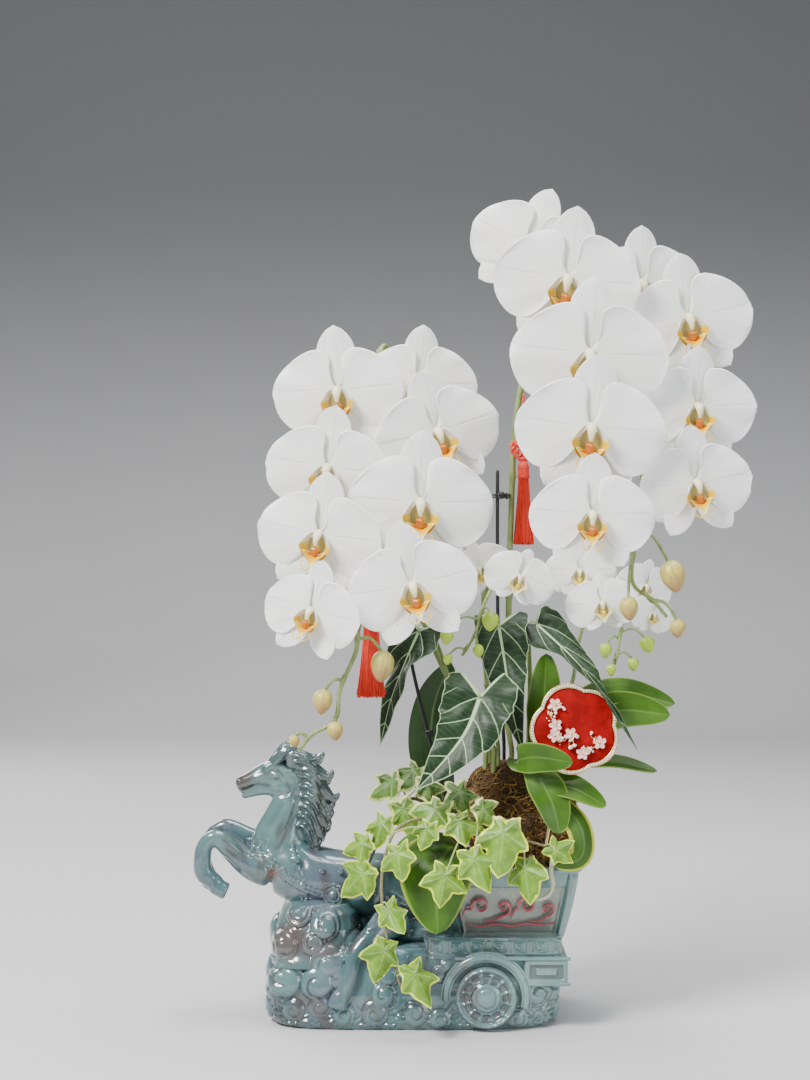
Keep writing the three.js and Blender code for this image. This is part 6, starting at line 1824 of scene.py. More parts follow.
# Curls as seen: x, z, radius, rise, turns of the spiral and its sense
FRONT_CURLS = on_front([
    (-95.4, 74.0, 11.5, 5.0, 1.3, 1), (-72.2, 64.5, 12.0, 5.0, 1.4, -1), (-106.1, 48.5, 11.0, 4.2, 1.2, 1),
    (-82.0, 50.3, 9.5, 4.5, 1.1, -1), (-69.5, 36.0, 13.5, 5.2, 1.0, 1), (-56.1, 42.2, 5.5, 4.0, 0.8, 1),
    (-104.3, 21.7, 14.5, 5.5, 1.2, -1), (-78.4, 19.9, 13.5, 5.5, 1.0, 1), (-61.5, 27.1, 11.0, 3.6, 1.0, -1),
    (-98.0, -2.0, 9.0, 3.0, 1.4, 1), (-76.6, 1.5, 8.5, 2.8, 1.2, 1), (-57.0, -5.0, 8.5, 3.2, 1.5, -1),
    (-23.0, 25.3, 9.0, 4.0, 1.1, 1), (-25.0, 11.0, 9.5, 4.0, 1.2, -1), (-32.0, -3.3, 10.0, 2.8, 1.3, 1),
    (0.1, -3.3, 9.5, 3.6, 1.7, 1), (19.8, -8.6, 8.5, 3.4, 1.6, -1), (19.8, 27.1, 6.5, 2.8, 1.2, 1),
    (25.1, 34.0, 5.5, 2.6, 1.0, -1), (82.3, -8.6, 8.5, 3.2, 1.6, 1), (98.4, 11.0, 10.5, 3.6, 1.6, -1),
    (-12.0, 44.0, 9.5, 3.8, 1.2, -1), (-36.0, 50.0, 8.5, 3.6, 1.1, 1), (-3.0, 22.0, 7.5, 3.0, 1.1, 1),
])
BACK_CURLS = np.array([
    (-94, 68, 12, 4.6, 1.3, -1), (-66, 62, 13, 4.8, 1.3, 1), (-104, 45, 12, 4.2, 1.2, -1),
    (-56, 36, 13, 4.8, 1.1, 1), (-100, 22, 15, 5.0, 1.2, -1), (22, 56, 12, 3.8, 1.2, 1),
    (-78, 45, 10, 4.4, 1.1, -1), (-76, 18, 12, 4.4, 1.2, 1), (-34, 52, 11, 4.2, 1.3, -1),
    (-20, 30, 12, 4.4, 1.3, 1), (-40, 12, 11, 3.6, 1.4, -1), (-12, 10, 9, 3.2, 1.5, 1), (10, 34, 9, 3.4, 1.2, -1),
    (14, 12, 10, 3.4, 1.5, 1), (98, 20, 11, 3.6, 1.5, -1), (90, 6, 7, 2.6, 1.3, 1),
])
END_CURLS = np.array([
    (-40, 60, 13, 4.4, 1.3, 1), (-12, 66, 14, 4.8, 1.3, -1), (18, 60, 13, 4.4, 1.2, 1), (44, 54, 12, 4.2, 1.3, -1),
    (-46, 32, 13, 4.4, 1.2, -1), (-22, 40, 11, 4.2, 1.1, 1), (2, 34, 14, 4.8, 1.3, -1), (28, 32, 12, 4.4, 1.2, 1),
    (50, 28, 10, 3.6, 1.2, -1), (-34, 12, 11, 3.6, 1.4, 1), (-8, 12, 11, 3.8, 1.4, -1), (18, 12, 10, 3.6, 1.4, 1),
    (42, 10, 10, 3.4, 1.4, -1),
])


def cloud_block(shape, levels, squareness, columns, rows, mask):
    """A loft of rounded boxes whose walls carry the cloud relief. Front, back and ends each take the relief
    of their own curls, in proportion to how far the wall faces them; mask scales it by place."""
    levels = np.array(levels, float)
    order = np.linspace(0, 1, rows)
    z = np.interp(order, np.linspace(0, 1, 2), [levels[0, 1], levels[-1, 1]])
    middle, half_x, half_y = (np.interp(z, levels[:, 1], levels[:, k]) for k in (0, 2, 3))
    ring = Line(np.vstack([superellipse(1.0, 0.56, squareness, 720), superellipse(1.0, 0.56, squareness, 720)[:1]]))
    flat = ring.even(columns + 1)[:-1] / [1.0, 0.56]
    x = middle[:, None] + flat[None, :, 0] * half_x[:, None]
    y = flat[None, :, 1] * half_y[:, None]
    zz = z[:, None] + 0 * x
    tangent = np.roll(flat, -1, 0) - np.roll(flat, 1, 0)
    out = unit(np.stack([tangent[:, 1] * half_y.mean(), -tangent[:, 0] * half_x.mean()], -1))
    total, cuts = np.zeros_like(x), np.zeros_like(x)
    for face, run, curls in ((-out[:, 1], x, FRONT_CURLS), (out[:, 1], x, BACK_CURLS),
                             (np.abs(out[:, 0]), y, END_CURLS)):
        weight = step(0.25, 0.8, face)[None]
        height, groove = curl_relief(run, zz, curls)
        lines = wave_relief(run, zz)
        total += weight * np.maximum(height, 1.5 * lines)
        cuts += weight * np.maximum(groove, (1 - lines) * 0.5 * (height < 0.5) * (zz < 20))
    inset = 2.6
    amount = (total - inset) * mask(x, y, zz)
    x = x + out[None, :, 0] * amount
    y = y + out[None, :, 1] * amount
    tone = np.clip(cuts, 0, 1) * mask(x, y, zz)
    shape.surface(np.stack([x, y, zz], -1), wrap=True, caps=True, tone=tone)


def fade_top(x, y, z):
    """The foot's relief dies away at the floor, at its top, and under the cart."""
    return step(0.0, 3.5, z) * (1 - 0.85 * step(55, 60, z)) * (1 - step(20, 34, x) * step(30, 36, z) * 0.8)


def fade_low(x, y, z):
    """The rise's relief dies away where it meets the foot, and at its top."""
    return step(48, 58, z) * (1 - 0.9 * step(86, 93, z))


def cast(name, shape, finish):
    """A piece of the planter's one glazed casting."""
    piece(name, shape, finish, "horse_cart_planter")


def build_clouds():
    """The planter's foot: a long block of clouds, and a higher one under the horse."""
    foot_shape, upper = Shape(), Shape()
    cloud_block(foot_shape, [[-2, 0, 106, 60], [-2, 2, 111, 63], [-2, 5, 114, 66], [-2, 26, 116, 65], [-2, 50, 112, 61],
                             [-1, 57, 110, 59], [0, 61, 104, 54]], 5, 610, 62, fade_top)
    cast("planter_cloud_foot", foot_shape, glaze_finish("glaze clouds"))
    cloud_block(upper, [[-76, 46, 38, 60], [-76, 74, 37, 55], [-75, 84, 33, 49], [-74, 91, 26, 40],
                        [-73, 94, 16, 28]], 3.2, 350, 54, fade_low)
    cast("planter_cloud_rise", upper, glaze_finish("glaze rise", dark=0.22, patches=CLOUD_PATCHES))


# Planter: horse

# Each limb: its line as seen (or as it is, for the hind legs and tail), and its radii across and deep
HORSE_LIMBS = [
    ([[-127, 114, -8], [-112, 117, -8], [-84, 106, -8], [-52, 101, -6], [-20, 97, -4], [6, 88, 0], [16, 82, 2]],
     [9, 24, 25, 24, 26, 26, 14], [9, 22, 26, 26, 27, 26, 12]),
    ([[-104, 112, -8], [-108, 136, -8], [-104, 156, -8], [-96, 174, -8], [-97, 194, -8]],
     [26, 23, 15.5, 12.5, 9], [19, 16, 12.5, 10.5, 8]),
    ([[-93, 190, -8], [-103, 188.5, -8], [-116, 187, -8], [-131, 182, -8], [-143, 178, -8]],
     [9, 13, 11.5, 8.4, 6], [7, 10, 8.6, 7.2, 5]),
    ([[-99, 182, -8], [-108, 177.5, -8], [-121, 175, -8], [-132, 171.5, -8], [-139, 169.6, -8]],
     [9, 8.6, 5.2, 3.2, 2.2], [9, 8.8, 6, 4.4, 3.2]),
    ([[-112, 110, -22], [-136, 117, -24], [-160, 137, -26], [-168, 130, -26], [-170, 118, -26], [-168, 108, -26],
      [-160, 102, -26], [-154, 97, -26]], [15, 13, 9, 7.6, 6.4, 7.0, 6.8, 6.4], [12, 10, 8, 7, 6.2, 6.8, 6.6, 6.4]),
    ([[-114, 122, 6], [-134, 136, 8], [-153, 145, 8], [-165, 134, 8], [-168, 118, 8], [-163, 105, 8], [-157, 98, 8]],
     [14, 11, 8, 6.4, 5.4, 5.6, 6.2], [11, 9, 7.4, 6, 5.4, 5.4, 6]),
]
HORSE_TRUE_LIMBS = [
    ([[16, 0, 92], [22, 34, 84], [12, 52, 66], [0, 60, 48], [-6, 64, 30]], [9, 10, 9, 6, 3], [9, 10, 8, 6, 4]),
    ([[-30, 0, 60], [-8, 0, 64], [14, 0, 66], [34, 0, 62]], [8, 11, 12, 8], [24, 34, 36, 30]),
] + [
    ([[-12, side * 30, 84], [-32, side * 50, 70], [-46, side * 58, 56], [-50, side * 61, 40], [-57, side * 62, 24]],
     [18, 12, 8.5, 6.5, 7], [14, 10, 8, 7, 6]) for side in (-1, 1)
]


def limb(shape, line, across, deep, sides=36, steps=80, tone=0.0, swell=None):
    """A limb: an oval carried along a line, its radii across the bend and deep along y each a smooth curve
    through the values given, with rounded ends."""
    t = np.linspace(0, 1, steps)
    way = Line(line).at(t)
    ahead = unit(np.gradient(way, axis=0))
    aid = np.array([0.0, 1.0, 0.0])
    side = unit(aid - ahead * (ahead @ aid)[:, None])
    up = np.cross(side, ahead)
    near = np.linspace(0.02, 1, 7)[:-1]
    grow = np.sqrt(near * (2 - near))
    fade = np.ones(steps)
    fade[:6], fade[-6:] = grow, grow[::-1]
    wide = Line(np.column_stack([np.linspace(0, 40, len(across)), across]))
    thick = Line(np.column_stack([np.linspace(0, 40, len(deep)), deep]))
    wide = np.interp(t * 40, wide.points[:, 0], wide.points[:, 1]) * fade
    thick = np.interp(t * 40, thick.points[:, 0], thick.points[:, 1]) * fade
    a = circle(sides)
    scale = 1.0 if swell is None else swell(t[:, None], a[None])[..., None]
    grid = way[:, None] + scale * (up[:, None] * (np.cos(a) * wide[:, None])[..., None]
                                   + side[:, None] * (np.sin(a) * thick[:, None])[..., None])
    place = joined(t[:, None], np.cos(a)[None], np.sin(a)[None])
    shape.surface(grid, wrap=True, caps=True, place=place, tone=tone)


def fused(name, shape, voxel, smoothing):
    """The union of overlapping closed shapes as one skin, by a voxel remesh and a smooth of that many steps."""
    obj = bpy.data.objects.new(name, shape.mesh(name))
    bpy.context.scene.collection.objects.link(obj)
    remesh = obj.modifiers.new("Remesh", "REMESH")
    remesh.mode, remesh.voxel_size, remesh.adaptivity = "VOXEL", voxel * METRE, 0.0
    smooth = obj.modifiers.new("Smooth", "SMOOTH")
    smooth.factor, smooth.iterations = 0.5, smoothing
    graph = bpy.context.evaluated_depsgraph_get()
    mesh = bpy.data.meshes.new_from_object(obj.evaluated_get(graph))
    mesh.name = name
    bpy.data.objects.remove(obj)
    return mesh


def mesh_points(mesh):
    """A mesh's points in millimetres and its point normals."""
    points = np.empty(len(mesh.vertices) * 3, np.float32)
    mesh.vertices.foreach_get("co", points)
    normals = np.empty(len(mesh.vertices) * 3, np.float32)
    mesh.vertex_normals.foreach_get("vector", normals)
    return points.reshape(-1, 3).astype(float) / METRE, normals.reshape(-1, 3).astype(float)


def set_points(mesh, points, tone):
    """Writes points in millimetres and the tone of each back to a mesh."""
    mesh.vertices.foreach_set("co", (points * METRE).astype(np.float32).reshape(-1))
    mark = mesh.attributes.get("tone") or mesh.attributes.new("tone", "FLOAT", "POINT")
    mark.data.foreach_set("value", np.asarray(tone, np.float32))
    mesh.update()


def near_line(points, rows, count=60):
    """Distance of each point, seen from the side, from a smooth line of [x, z] as seen."""
    rows = np.asarray(rows, float)
    line = Line(seen(np.column_stack([rows, np.full(len(rows), -20.0)]))).even(count)[:, [0, 2]]
    best = np.full(len(points), 1e9)
    for a, b in zip(line[:-1], line[1:]):
        ab = b - a
        t = np.clip(((points - a) @ ab) / (ab @ ab + 1e-9), 0, 1)
        best = np.minimum(best, np.hypot(*(points - a - t[:, None] * ab).T))
    return best


def hollows(mesh, rounds=8, depth=0.12):
    """How deep each point lies in a crease, from 0 to 1: how far the average of its neighbours, taken a few
    rounds over, stands out of it along its normal."""
    points, normals = mesh_points(mesh)
    ends = np.empty(len(mesh.edges) * 2, np.int32)
    mesh.edges.foreach_get("vertices", ends)
    ends = ends.reshape(-1, 2)
    both = np.concatenate([ends, ends[:, ::-1]])
    links = np.bincount(both[:, 0], minlength=len(points))
    smooth = points
    for _ in range(rounds):
        total = [np.bincount(both[:, 0], smooth[both[:, 1], k], len(points)) for k in range(3)]
        smooth = np.stack(total, -1) / np.maximum(links, 1)[:, None]
    return step(0.25, 1.0, ((smooth - points) * normals).sum(-1) / (depth * rounds))


# Carved lines: [x, z] rows as seen, width, depth (negative cuts in) and how much darker they are
HORSE_CARVING = [
    ([[-149, 174.6], [-143, 173.4], [-136, 174.8], [-130, 177.4]], 1.0, -2.6, 1.0),
    ([[-145.6, 182], [-143.6, 183.6], [-141.6, 182.2], [-142.8, 180.4]], 1.2, -1.8, 0.9),
    ([[-118, 188], [-114, 190.6], [-109, 189.6], [-105, 185.6]], 1.1, -1.5, 0.7),
    ([[-116.5, 184], [-112, 182.4], [-107, 183.2]], 1.0, -1.1, 0.6),
    ([[-120, 192], [-115, 195], [-109, 194.4], [-104, 190]], 2.0, 1.8, 0.0),
    ([[-129, 183.6], [-122, 186], [-117, 190]], 1.6, 0.9, 0.0),
    ([[-126, 178], [-118, 176], [-112, 173.4], [-106, 170.6], [-101, 173.4], [-99, 180]], 1.6, -1.3, 0.45),
    ([[-98, 186], [-95, 178], [-98, 168]], 2.0, -1.0, 0.3),
    ([[-105, 164], [-112, 152], [-119, 142], [-122, 132]], 3.0, -1.6, 0.25),
    ([[-94, 170], [-97, 156], [-103, 142], [-108, 130]], 2.6, -1.4, 0.35),
    ([[-126, 128], [-118, 120], [-114, 108], [-118, 98]], 3.0, -1.4, 0.3),
    ([[-96, 130], [-90, 120], [-90, 108], [-98, 98]], 4.0, -1.3, 0.2),
    ([[-142, 125], [-150, 131], [-158, 136]], 2.2, -1.0, 0.2),
    ([[-133, 106], [-142, 113], [-151, 121]], 2.4, -1.1, 0.2),
    ([[-167, 121], [-167, 112], [-164, 105]], 1.6, -0.9, 0.3),
    ([[-165, 97], [-160.5, 103], [-157, 109]], 1.0, -0.8, 0.6),
    ([[-40, 120], [-30, 108], [-30, 94], [-38, 82]], 4.5, -1.6, 0.2),
]
STRAP_LINE = [[-134, 130.6], [-125, 124.5], [-115.6, 118.2], [-104.3, 109.2], [-90.8, 100.2], [-72.7, 93.4],
              [-65, 91]]
RIBBONS = [
    [[-61, 86], [-57, 77.6], [-48, 73.5], [-36, 72.5], [-26, 76]],
    [[-62, 92], [-50, 97], [-36, 98], [-20, 92], [-8, 84]],
    [[-98, 131], [-94, 119], [-90.8, 108], [-88, 98], [-86, 86]],
]


def carve_horse(mesh):
    """Cuts and raises the horse's lines on both sides: each moves points along their normals by a bell curve
    of the distance from the line. A ball makes each eye, and raised bands the harness."""
    points, normals = mesh_points(mesh)
    flat = points[:, [0, 2]]
    sideways = step(0.15, 0.6, np.abs(normals[:, 1]))
    move, tone = np.zeros(len(points)), hollows(mesh)
    for rows, width, depth, dark in HORSE_CARVING:
        near = bump(near_line(flat, rows), 0, width) * sideways
        move += depth * near
        tone = np.maximum(tone, dark * near)
    eye = seen([-111.6, 186.4, -18])[[0, 2]]
    ball = np.hypot(*(flat - eye).T)
    move += 1.5 * np.sqrt(np.clip(1 - (ball / 2.5) ** 2, 0, 1)) * sideways
    tone = np.maximum(tone, 0.8 * bump(ball, 2.9, 0.5) * sideways)
    socket = bump(ball, 0, 5.5)
    move -= 1.2 * socket * sideways
    strap = near_line(flat, STRAP_LINE)
    raised = 1 - step(2.6, 3.3, strap)
    groove = bump(strap, 0, 0.5) + bump(strap, 3.5, 0.5)
    move += sideways * (1.3 * raised - 0.7 * groove)
    tone = np.maximum(tone, 0.8 * groove * sideways)
    for rows in RIBBONS:
        near = near_line(flat, rows)
        band = 1 - step(1.4, 2.0, near)
        move += sideways * (0.9 * band - 0.4 * bump(near, 2.4, 0.4))
        tone = np.maximum(tone, 0.6 * bump(near, 2.4, 0.5) * sideways)
    muscles = waves(points, 31, 46, 14)
    set_points(mesh, points + normals * (move + 0.35 * muscles)[:, None], np.clip(tone, 0, 1))


# Locks of the mane as seen: root x and z, tip x and z, thickness, and how far the tip curls up
LOCKS = [
    (-95, 201, -73, 204, 5.6, 3.0), (-93, 196, -65.6, 189, 5.6, 4.0), (-91, 190, -61.5, 171, 5.0, 3.5),
    (-89, 184, -66, 163.5, 5.6, 3.0), (-88, 176, -66.5, 156.5, 5.4, 3.0), (-88, 168, -67, 149, 5.4, 2.5),
    (-88, 160, -71, 141, 5.4, 2.5), (-89, 152, -75, 134.5, 5.2, 2.0), (-90, 144, -78, 128, 4.8, 1.5),
]
FORELOCK = [(0, 0), (4.5, 2), (-4.5, 2), (8, 5), (-8, 5)]
HAIR_VOXEL = 1.05


def strands(t, a):
    """Grooves along a lock: cosines of the angle that drift with the length."""
    return 1 + (0.2 * np.cos(5 * a + 5 * t) + 0.08 * np.cos(9 * a - 6 * t)) * (0.3 + 0.7 * np.sin(math.pi * t))


def build_mane():
    """Stacked locks that leave the neck, sag and curl up at a round tip, in two ranks side by side; a
    combed forelock; hollowed ears; and the tail. All are fused into one skin."""
    hair = Shape()
    for i, (x, z, tip_x, tip_z, thick, curl) in enumerate(LOCKS):
        for rank, shift in ((-1, 0.0), (1, 3.6)):
            y, stray = -8 + rank * 6.5, 1.3 * math.sin(5.1 * i + rank)
            reach = tip_x - x
            line = [[x - 3, z + 4 - shift, -8 + rank * 3], [x + reach * 0.25, z + 1 - shift, y - 2.0 * (rank < 0)],
                    [x + reach * 0.6, (z + tip_z) / 2 - 3 - shift, y + stray],
                    [tip_x - 4 - rank, tip_z - curl - shift, y + stray],
                    [tip_x - rank + stray, tip_z + curl * 0.6 - shift, y + rank]]
            limb(hair, seen(line), np.array([1.15, 1.1, 0.95, 0.85, 0.5]) * thick * 0.72,
                 np.array([1.5, 1.4, 1.25, 1.1, 0.6]) * thick, 36, 60, swell=strands)
    crest = [[-96, 200, -8], [-89, 182, -8], [-87, 164, -8], [-90, 146, -8], [-92, 130, -8]]
    limb(hair, seen(crest), [6, 7, 7.5, 8, 6], [8, 9.5, 10, 10.5, 8], 36, 60)
    for spread, reach in FORELOCK:
        line = [[-95, 207, -8 + spread * 0.4], [-102, 210.5 - abs(spread) * 0.35, -9 + spread],
                [-111 + reach, 202.5, -10 + spread * 1.1], [-119 + reach, 194, -9 + spread]]
        limb(hair, seen(line), [3.6, 3.8, 3.0, 1.3], [3, 3, 2.6, 1.2], 30, 50, swell=strands)
    for side in (-1, 1):
        y = -8 + side * 7.5
        ear = seen([[-98, 192, y], [-97.6, 202, y + side * 1.5], [-97.5, 214, y + side * 1.5]])
        limb(hair, ear, [5.0, 5.4, 0.9], [3.6, 3.4, 0.9], 30, 40,
             swell=lambda t, a: 1 - 0.5 * bump(np.mod(a - math.pi / 2 * (2 - side), 2 * math.pi) - math.pi, 0, 0.7)
             * np.sin(math.pi * t))
    for i in range(5):
        c, s = 4 * math.cos(i * 1.25), 4 * math.sin(i * 1.25)
        line = [[16 + c / 2, s / 2, 94], [24 + c, 34 + s, 86], [13 + c, 54, 66 + s], [c, 62, 46 + s],
                [-8 + c, 66, 30 + s]]
        limb(hair, line, [6, 7, 6, 4, 1.5], [6, 7, 6, 4, 1.5], 30, 60, swell=strands)
    mesh = fused("planter_mane", hair, HAIR_VOXEL, 2)
    set_points(mesh, mesh_points(mesh)[0], hollows(mesh))
    cast("planter_mane", mesh, glaze_finish("glaze mane", dark=0.74))


def build_horse():
    """The rearing horse: limbs and hooves fused into one body and carved, the mane, and the harness."""
    body = Shape()
    for line, across, deep in HORSE_LIMBS:
        limb(body, seen(line), across, deep)
    for line, across, deep in HORSE_TRUE_LIMBS:
        limb(body, np.array(line, float), across, deep)
    fore = unit((0.9, 0, -0.42))
    for at in (seen([-153, 95, -26]), seen([-159, 99, 8])):
        body.lathe([[0.02, -11], [5.8, -10.5], [6.4, -7], [7.4, 1.8], [6.9, 3.0], [0.02, 3.4]], at, fore, 30)
    for side in (-1, 1):
        body.lathe([[0.02, -3.8], [8.6, -3.6], [7.8, 3], [6.4, 8], [0.02, 8]], (-59, side * 62, 21),
                   (0.25, 0, 1.0), 30)
    mesh = fused("planter_horse", body, 1.5, 5)
    carve_horse(mesh)
    cast("planter_horse", mesh, glaze_finish("glaze horse", dark=0.24, patches=HORSE_PATCHES))
    build_mane()

    studs = Shape()
    rosette = seen([-65.4, 91.1, -34])
    for side, y in ((-1, -33.5), (1, 21.0)):
        at = np.array([rosette[0], y, rosette[2]])
        out = (0, side, 0)
        studs.lathe([[0.02, -6], [8.6, -5], [9.0, 0.6], [7.8, 1.9], [6.6, 1.3], [5.6, 2.6], [3.6, 1.9], [2.6, 3.4],
                     [0.02, 4.2]], at, out, 48, swell=1 + 0.05 * np.cos(8 * circle(48))[None])
        for x, z, r, depth in ((-94.2, 119.3, 2.4, 30), (-74, 110.3, 2.2, 30.5), (-59.2, 110.3, 2.2, 31)):
            spot = seen([x, z, -30])
            spot[1] = -8 + side * (depth - 6)
            studs.lathe([[0.02, -4], [r, -3], [r * 1.02, 0], [r * 0.75, r * 0.45], [0.02, r * 0.62]], spot, out, 28)
    cast("planter_harness", studs, glaze_finish("glaze harness", dark=0.3))


# Planter: cart

def fret_relief(x, z, low, high):
    """A band of key pattern: square spirals cut between two rails, one to each 16 mm."""
    pitch = 16.0
    u = np.mod(x, pitch) / pitch
    v = (z - low) / (high - low)
    rails = bump(v, 0.04, 0.05) + bump(v, 0.96, 0.05)
    box = np.maximum(np.abs(u - 0.5), np.abs(v - 0.5) * 0.8)
    rings = bump(box, 0.36, 0.04) + bump(box, 0.22, 0.035) * (u + v > 0.72) + bump(box, 0.09, 0.05)
    return rails, rings * (v > 0.08) * (v < 0.92)


def rounded_loft(levels, squareness, columns, rows, detail):
    """A loft of rounded boxes, and its walls moved outwards by a function of place and facing.
    Levels are [x, z, half x, half y]. Gives the grid and its tones."""
    levels = np.array(levels, float)
    order = Line(levels[:, 1:2] @ [[1.0, 0.0]] + np.arange(len(levels))[:, None] * [[0.0, 0.2]])
    z = np.interp(np.linspace(0, 1, rows), order.reach / order.length, order.points[:, 0])
    middle, half_x, half_y = (np.interp(z, levels[:, 1], levels[:, k]) for k in (0, 2, 3))
    ratio = half_y.mean() / half_x.mean()
    unit_ring = superellipse(1.0, ratio, squareness, 900)
    flat = Line(np.vstack([unit_ring, unit_ring[:1]])).even(columns + 1)[:-1] / [1.0, ratio]
    x = middle[:, None] + flat[None, :, 0] * half_x[:, None]
    y = flat[None, :, 1] * half_y[:, None]
    tangent = np.roll(flat * [1, ratio], -1, 0) - np.roll(flat * [1, ratio], 1, 0)
    out = unit(np.stack([tangent[:, 1], -tangent[:, 0]], -1))
    zz = z[:, None] + 0 * x
    amount, tone = detail(x, y, zz, out)
    return np.stack([x + out[None, :, 0] * amount, y + out[None, :, 1] * amount, zz], -1), tone


def build_cart():
    """The deck with its band of key pattern, the ledge and its rails, the tub with its rolled rim and
    hollow, and the raised scroll on its panel."""
    shape = Shape()

    def deck_detail(x, y, z, out):
        run = np.where(np.abs(out[:, 1])[None] > 0.7, x, y)
        rails, rings = fret_relief(run - 8, z, 57, 68.5)
        amount = 1.1 * rails + 0.9 * rings - 1.0
        return amount * step(54, 56, z) * (1 - step(69, 70, z)), np.clip(1 - rails - rings, 0, 1) * 0.22

    grid, tone = rounded_loft([[60, 52, 52, 57], [60, 54, 53.5, 59], [60, 68, 53.5, 59], [60, 70, 52, 57.5],
                               [60, 71, 46, 50]], 14, 560, 34, deck_detail)
    shape.surface(grid, wrap=True, caps=True, tone=tone)

    def ledge_detail(x, y, z, out):
        front = np.abs(out[:, 1])[None] > 0.8
        run = np.where(front, x - 100, y / 3.2)
        panel = (1 - step(12.0, 12.9, np.abs(run))) * step(39.5, 40.4, z) * (1 - step(50.2, 51.0, z))
        inner = (1 - step(7.4, 8.2, np.abs(run))) * step(42.4, 43.2, z) * (1 - step(47.6, 48.4, z))
        return -1.9 * panel + 1.3 * inner, np.clip(panel - inner, 0, 1) * 0.8

    grid, tone = rounded_loft([[99.5, 35, 16.5, 64], [99.5, 36.5, 17.8, 66.3], [99.5, 54, 17.8, 66.3],
                               [99.5, 55.5, 16.8, 65.2], [99.5, 56, 14, 60]], 14, 350, 32, ledge_detail)
    shape.surface(grid, wrap=True, caps=True, tone=tone)
    for y in (-65.8, 65.8):
        for z, r in ((55.6, 1.5), (36.0, 1.2)):
            rail = np.stack([np.linspace(31 if z > 50 else 83, 117.4, 30), np.full(30, y), np.full(30, z)], -1)
            shape.tube(rail, [r], 12)
    cast("planter_cart_deck", shape, glaze_finish("glaze deck"))

    tub = Shape()

    def tub_detail(x, y, z, out):
        front = np.abs(out[:, 1])[None] > 0.9
        side = np.abs(out[:, 0])[None] > 0.9
        run = np.where(front, (x - TUB_X) / (43 + (z - 62) * 0.24), y / (40 + (z - 62) * 0.24))
        flat_wall = (front | side) * (z < 117)
        panel = (1 - step(0.76, 0.79, np.abs(run))) * step(69, 70.5, z) * (1 - step(106.5, 108, z))
        bead = bump(np.abs(run), 0.775, 0.015) * step(68, 70, z) * (1 - step(107, 109, z))
        lines = (bump(z, 69.5, 0.7) + bump(z, 107.5, 0.7)) * (np.abs(run) < 0.79)
        bulge = 1 + 0.9 * np.sin(math.pi * np.clip((z - 64) / 52, 0, 1))
        post = ((1 - flat_wall) * 1.3 + flat_wall * np.sqrt(step(0.8, 0.94, np.abs(run))) * 1.5) * bulge
        ribs = 1.4 * bump(np.abs(run), 0.815, 0.012) * flat_wall
        raised = (-1.5 * panel + 0.9 * bead + 0.8 * lines) * flat_wall
        amount = raised + post * (1 - step(113, 118, z)) * step(62, 66, z) - ribs
        return amount, np.clip(panel * flat_wall, 0, 1)

    outside, tone = rounded_loft([[TUB_X, 61, 43, 40], [TUB_X, 112, 55, 52], [TUB_X, 117.5, 56.2, 53.2]],
                                 6, 440, 52, tub_detail)
    ring = superellipse(1.0, 0.945, 6, 900)
    ring = Line(np.vstack([ring, ring[:1]])).even(441)[:-1] / [1.0, 0.945]
    rim = []
    for inset, z in ((-1.2, 118.2), (-1.9, 119.6), (-1.7, 121.2), (-0.6, 122.2), (1.5, 122.6), (4.0, 122.4), (5.6, 121.2),
                     (6.2, 119.4), (6.6, 112), (9.5, 100), (12.5, 86), (14.6, 77), (16.5, 74.6), (22, 74.2)):
        rim.append(np.column_stack([TUB_X + ring[:, 0] * (57 - inset), ring[:, 1] * (54 - inset), np.full(440, float(z))]))
    grid = np.concatenate([outside, np.array(rim)])
    marks = np.concatenate([tone, np.zeros((len(rim), 440))])
    tub.surface(grid, wrap=True, caps=True, tone=marks)
    cast("planter_tub", tub, glaze_finish("glaze tub", panel=True))

    scroll = Shape()
    for rows, r in SCROLLS:
        line = Line([[x, -(41.3 + (z - 62) * 0.24) - 0.35, z] for x, z in rows]).even(60)
        scroll.tube(line, [r * 0.5, r * 1.45, r * 1.45, r * 0.8], 12, flat=0.5)
    finish = Finish("red scroll", Roughness=0.3, Coat_Weight=0.5, Coat_Roughness=0.1)
    worn = finish.noise(420.0, 4.0)
    finish.colour(finish.mix(worn.share(0.48, 0.66), (0.48, 0.09, 0.11), (0.25, 0.12, 0.12)))
    finish.relief(worn, 0.3, 0.0005)
    cast("planter_panel_scroll", scroll, finish.material)


def spiral(x, z, r, turns, start, sense=1, tail=None):
    """Points of a spiral from its outer end inwards, r shrinking evenly with the angle, after a tail."""
    a = np.linspace(0, turns * 2 * math.pi, int(10 * turns) + 2)
    reach = r * (1 - 0.85 * a / a[-1])
    rows = np.stack([x + reach * np.cos(start + sense * a), z + reach * np.sin(start + sense * a)], -1).tolist()
    return (tail or []) + rows


SCROLLS = [
    (spiral(50, 92, 7.5, 1.3, math.pi * 1.1, -1, [[36, 82], [39, 90]]), 1.5),
    (spiral(68, 91, 6.5, 1.2, math.pi * 1.5, 1, [[52, 80], [60, 81]]), 1.5),
    (spiral(86, 92, 7.5, 1.3, math.pi * 1.1, -1, [[73, 81], [77, 89]]), 1.5),
    (spiral(102, 90, 6.0, 1.2, math.pi * 1.5, 1, [[88, 80], [96, 80]]), 1.4),
    ([[38, 78], [50, 76], [62, 78], [74, 76], [86, 78], [100, 77], [108, 79]], 1.3),
]


# Planter: wheels

WHEEL_AT = (54.0, 26.0)
WHEEL_RADIUS = 23.0


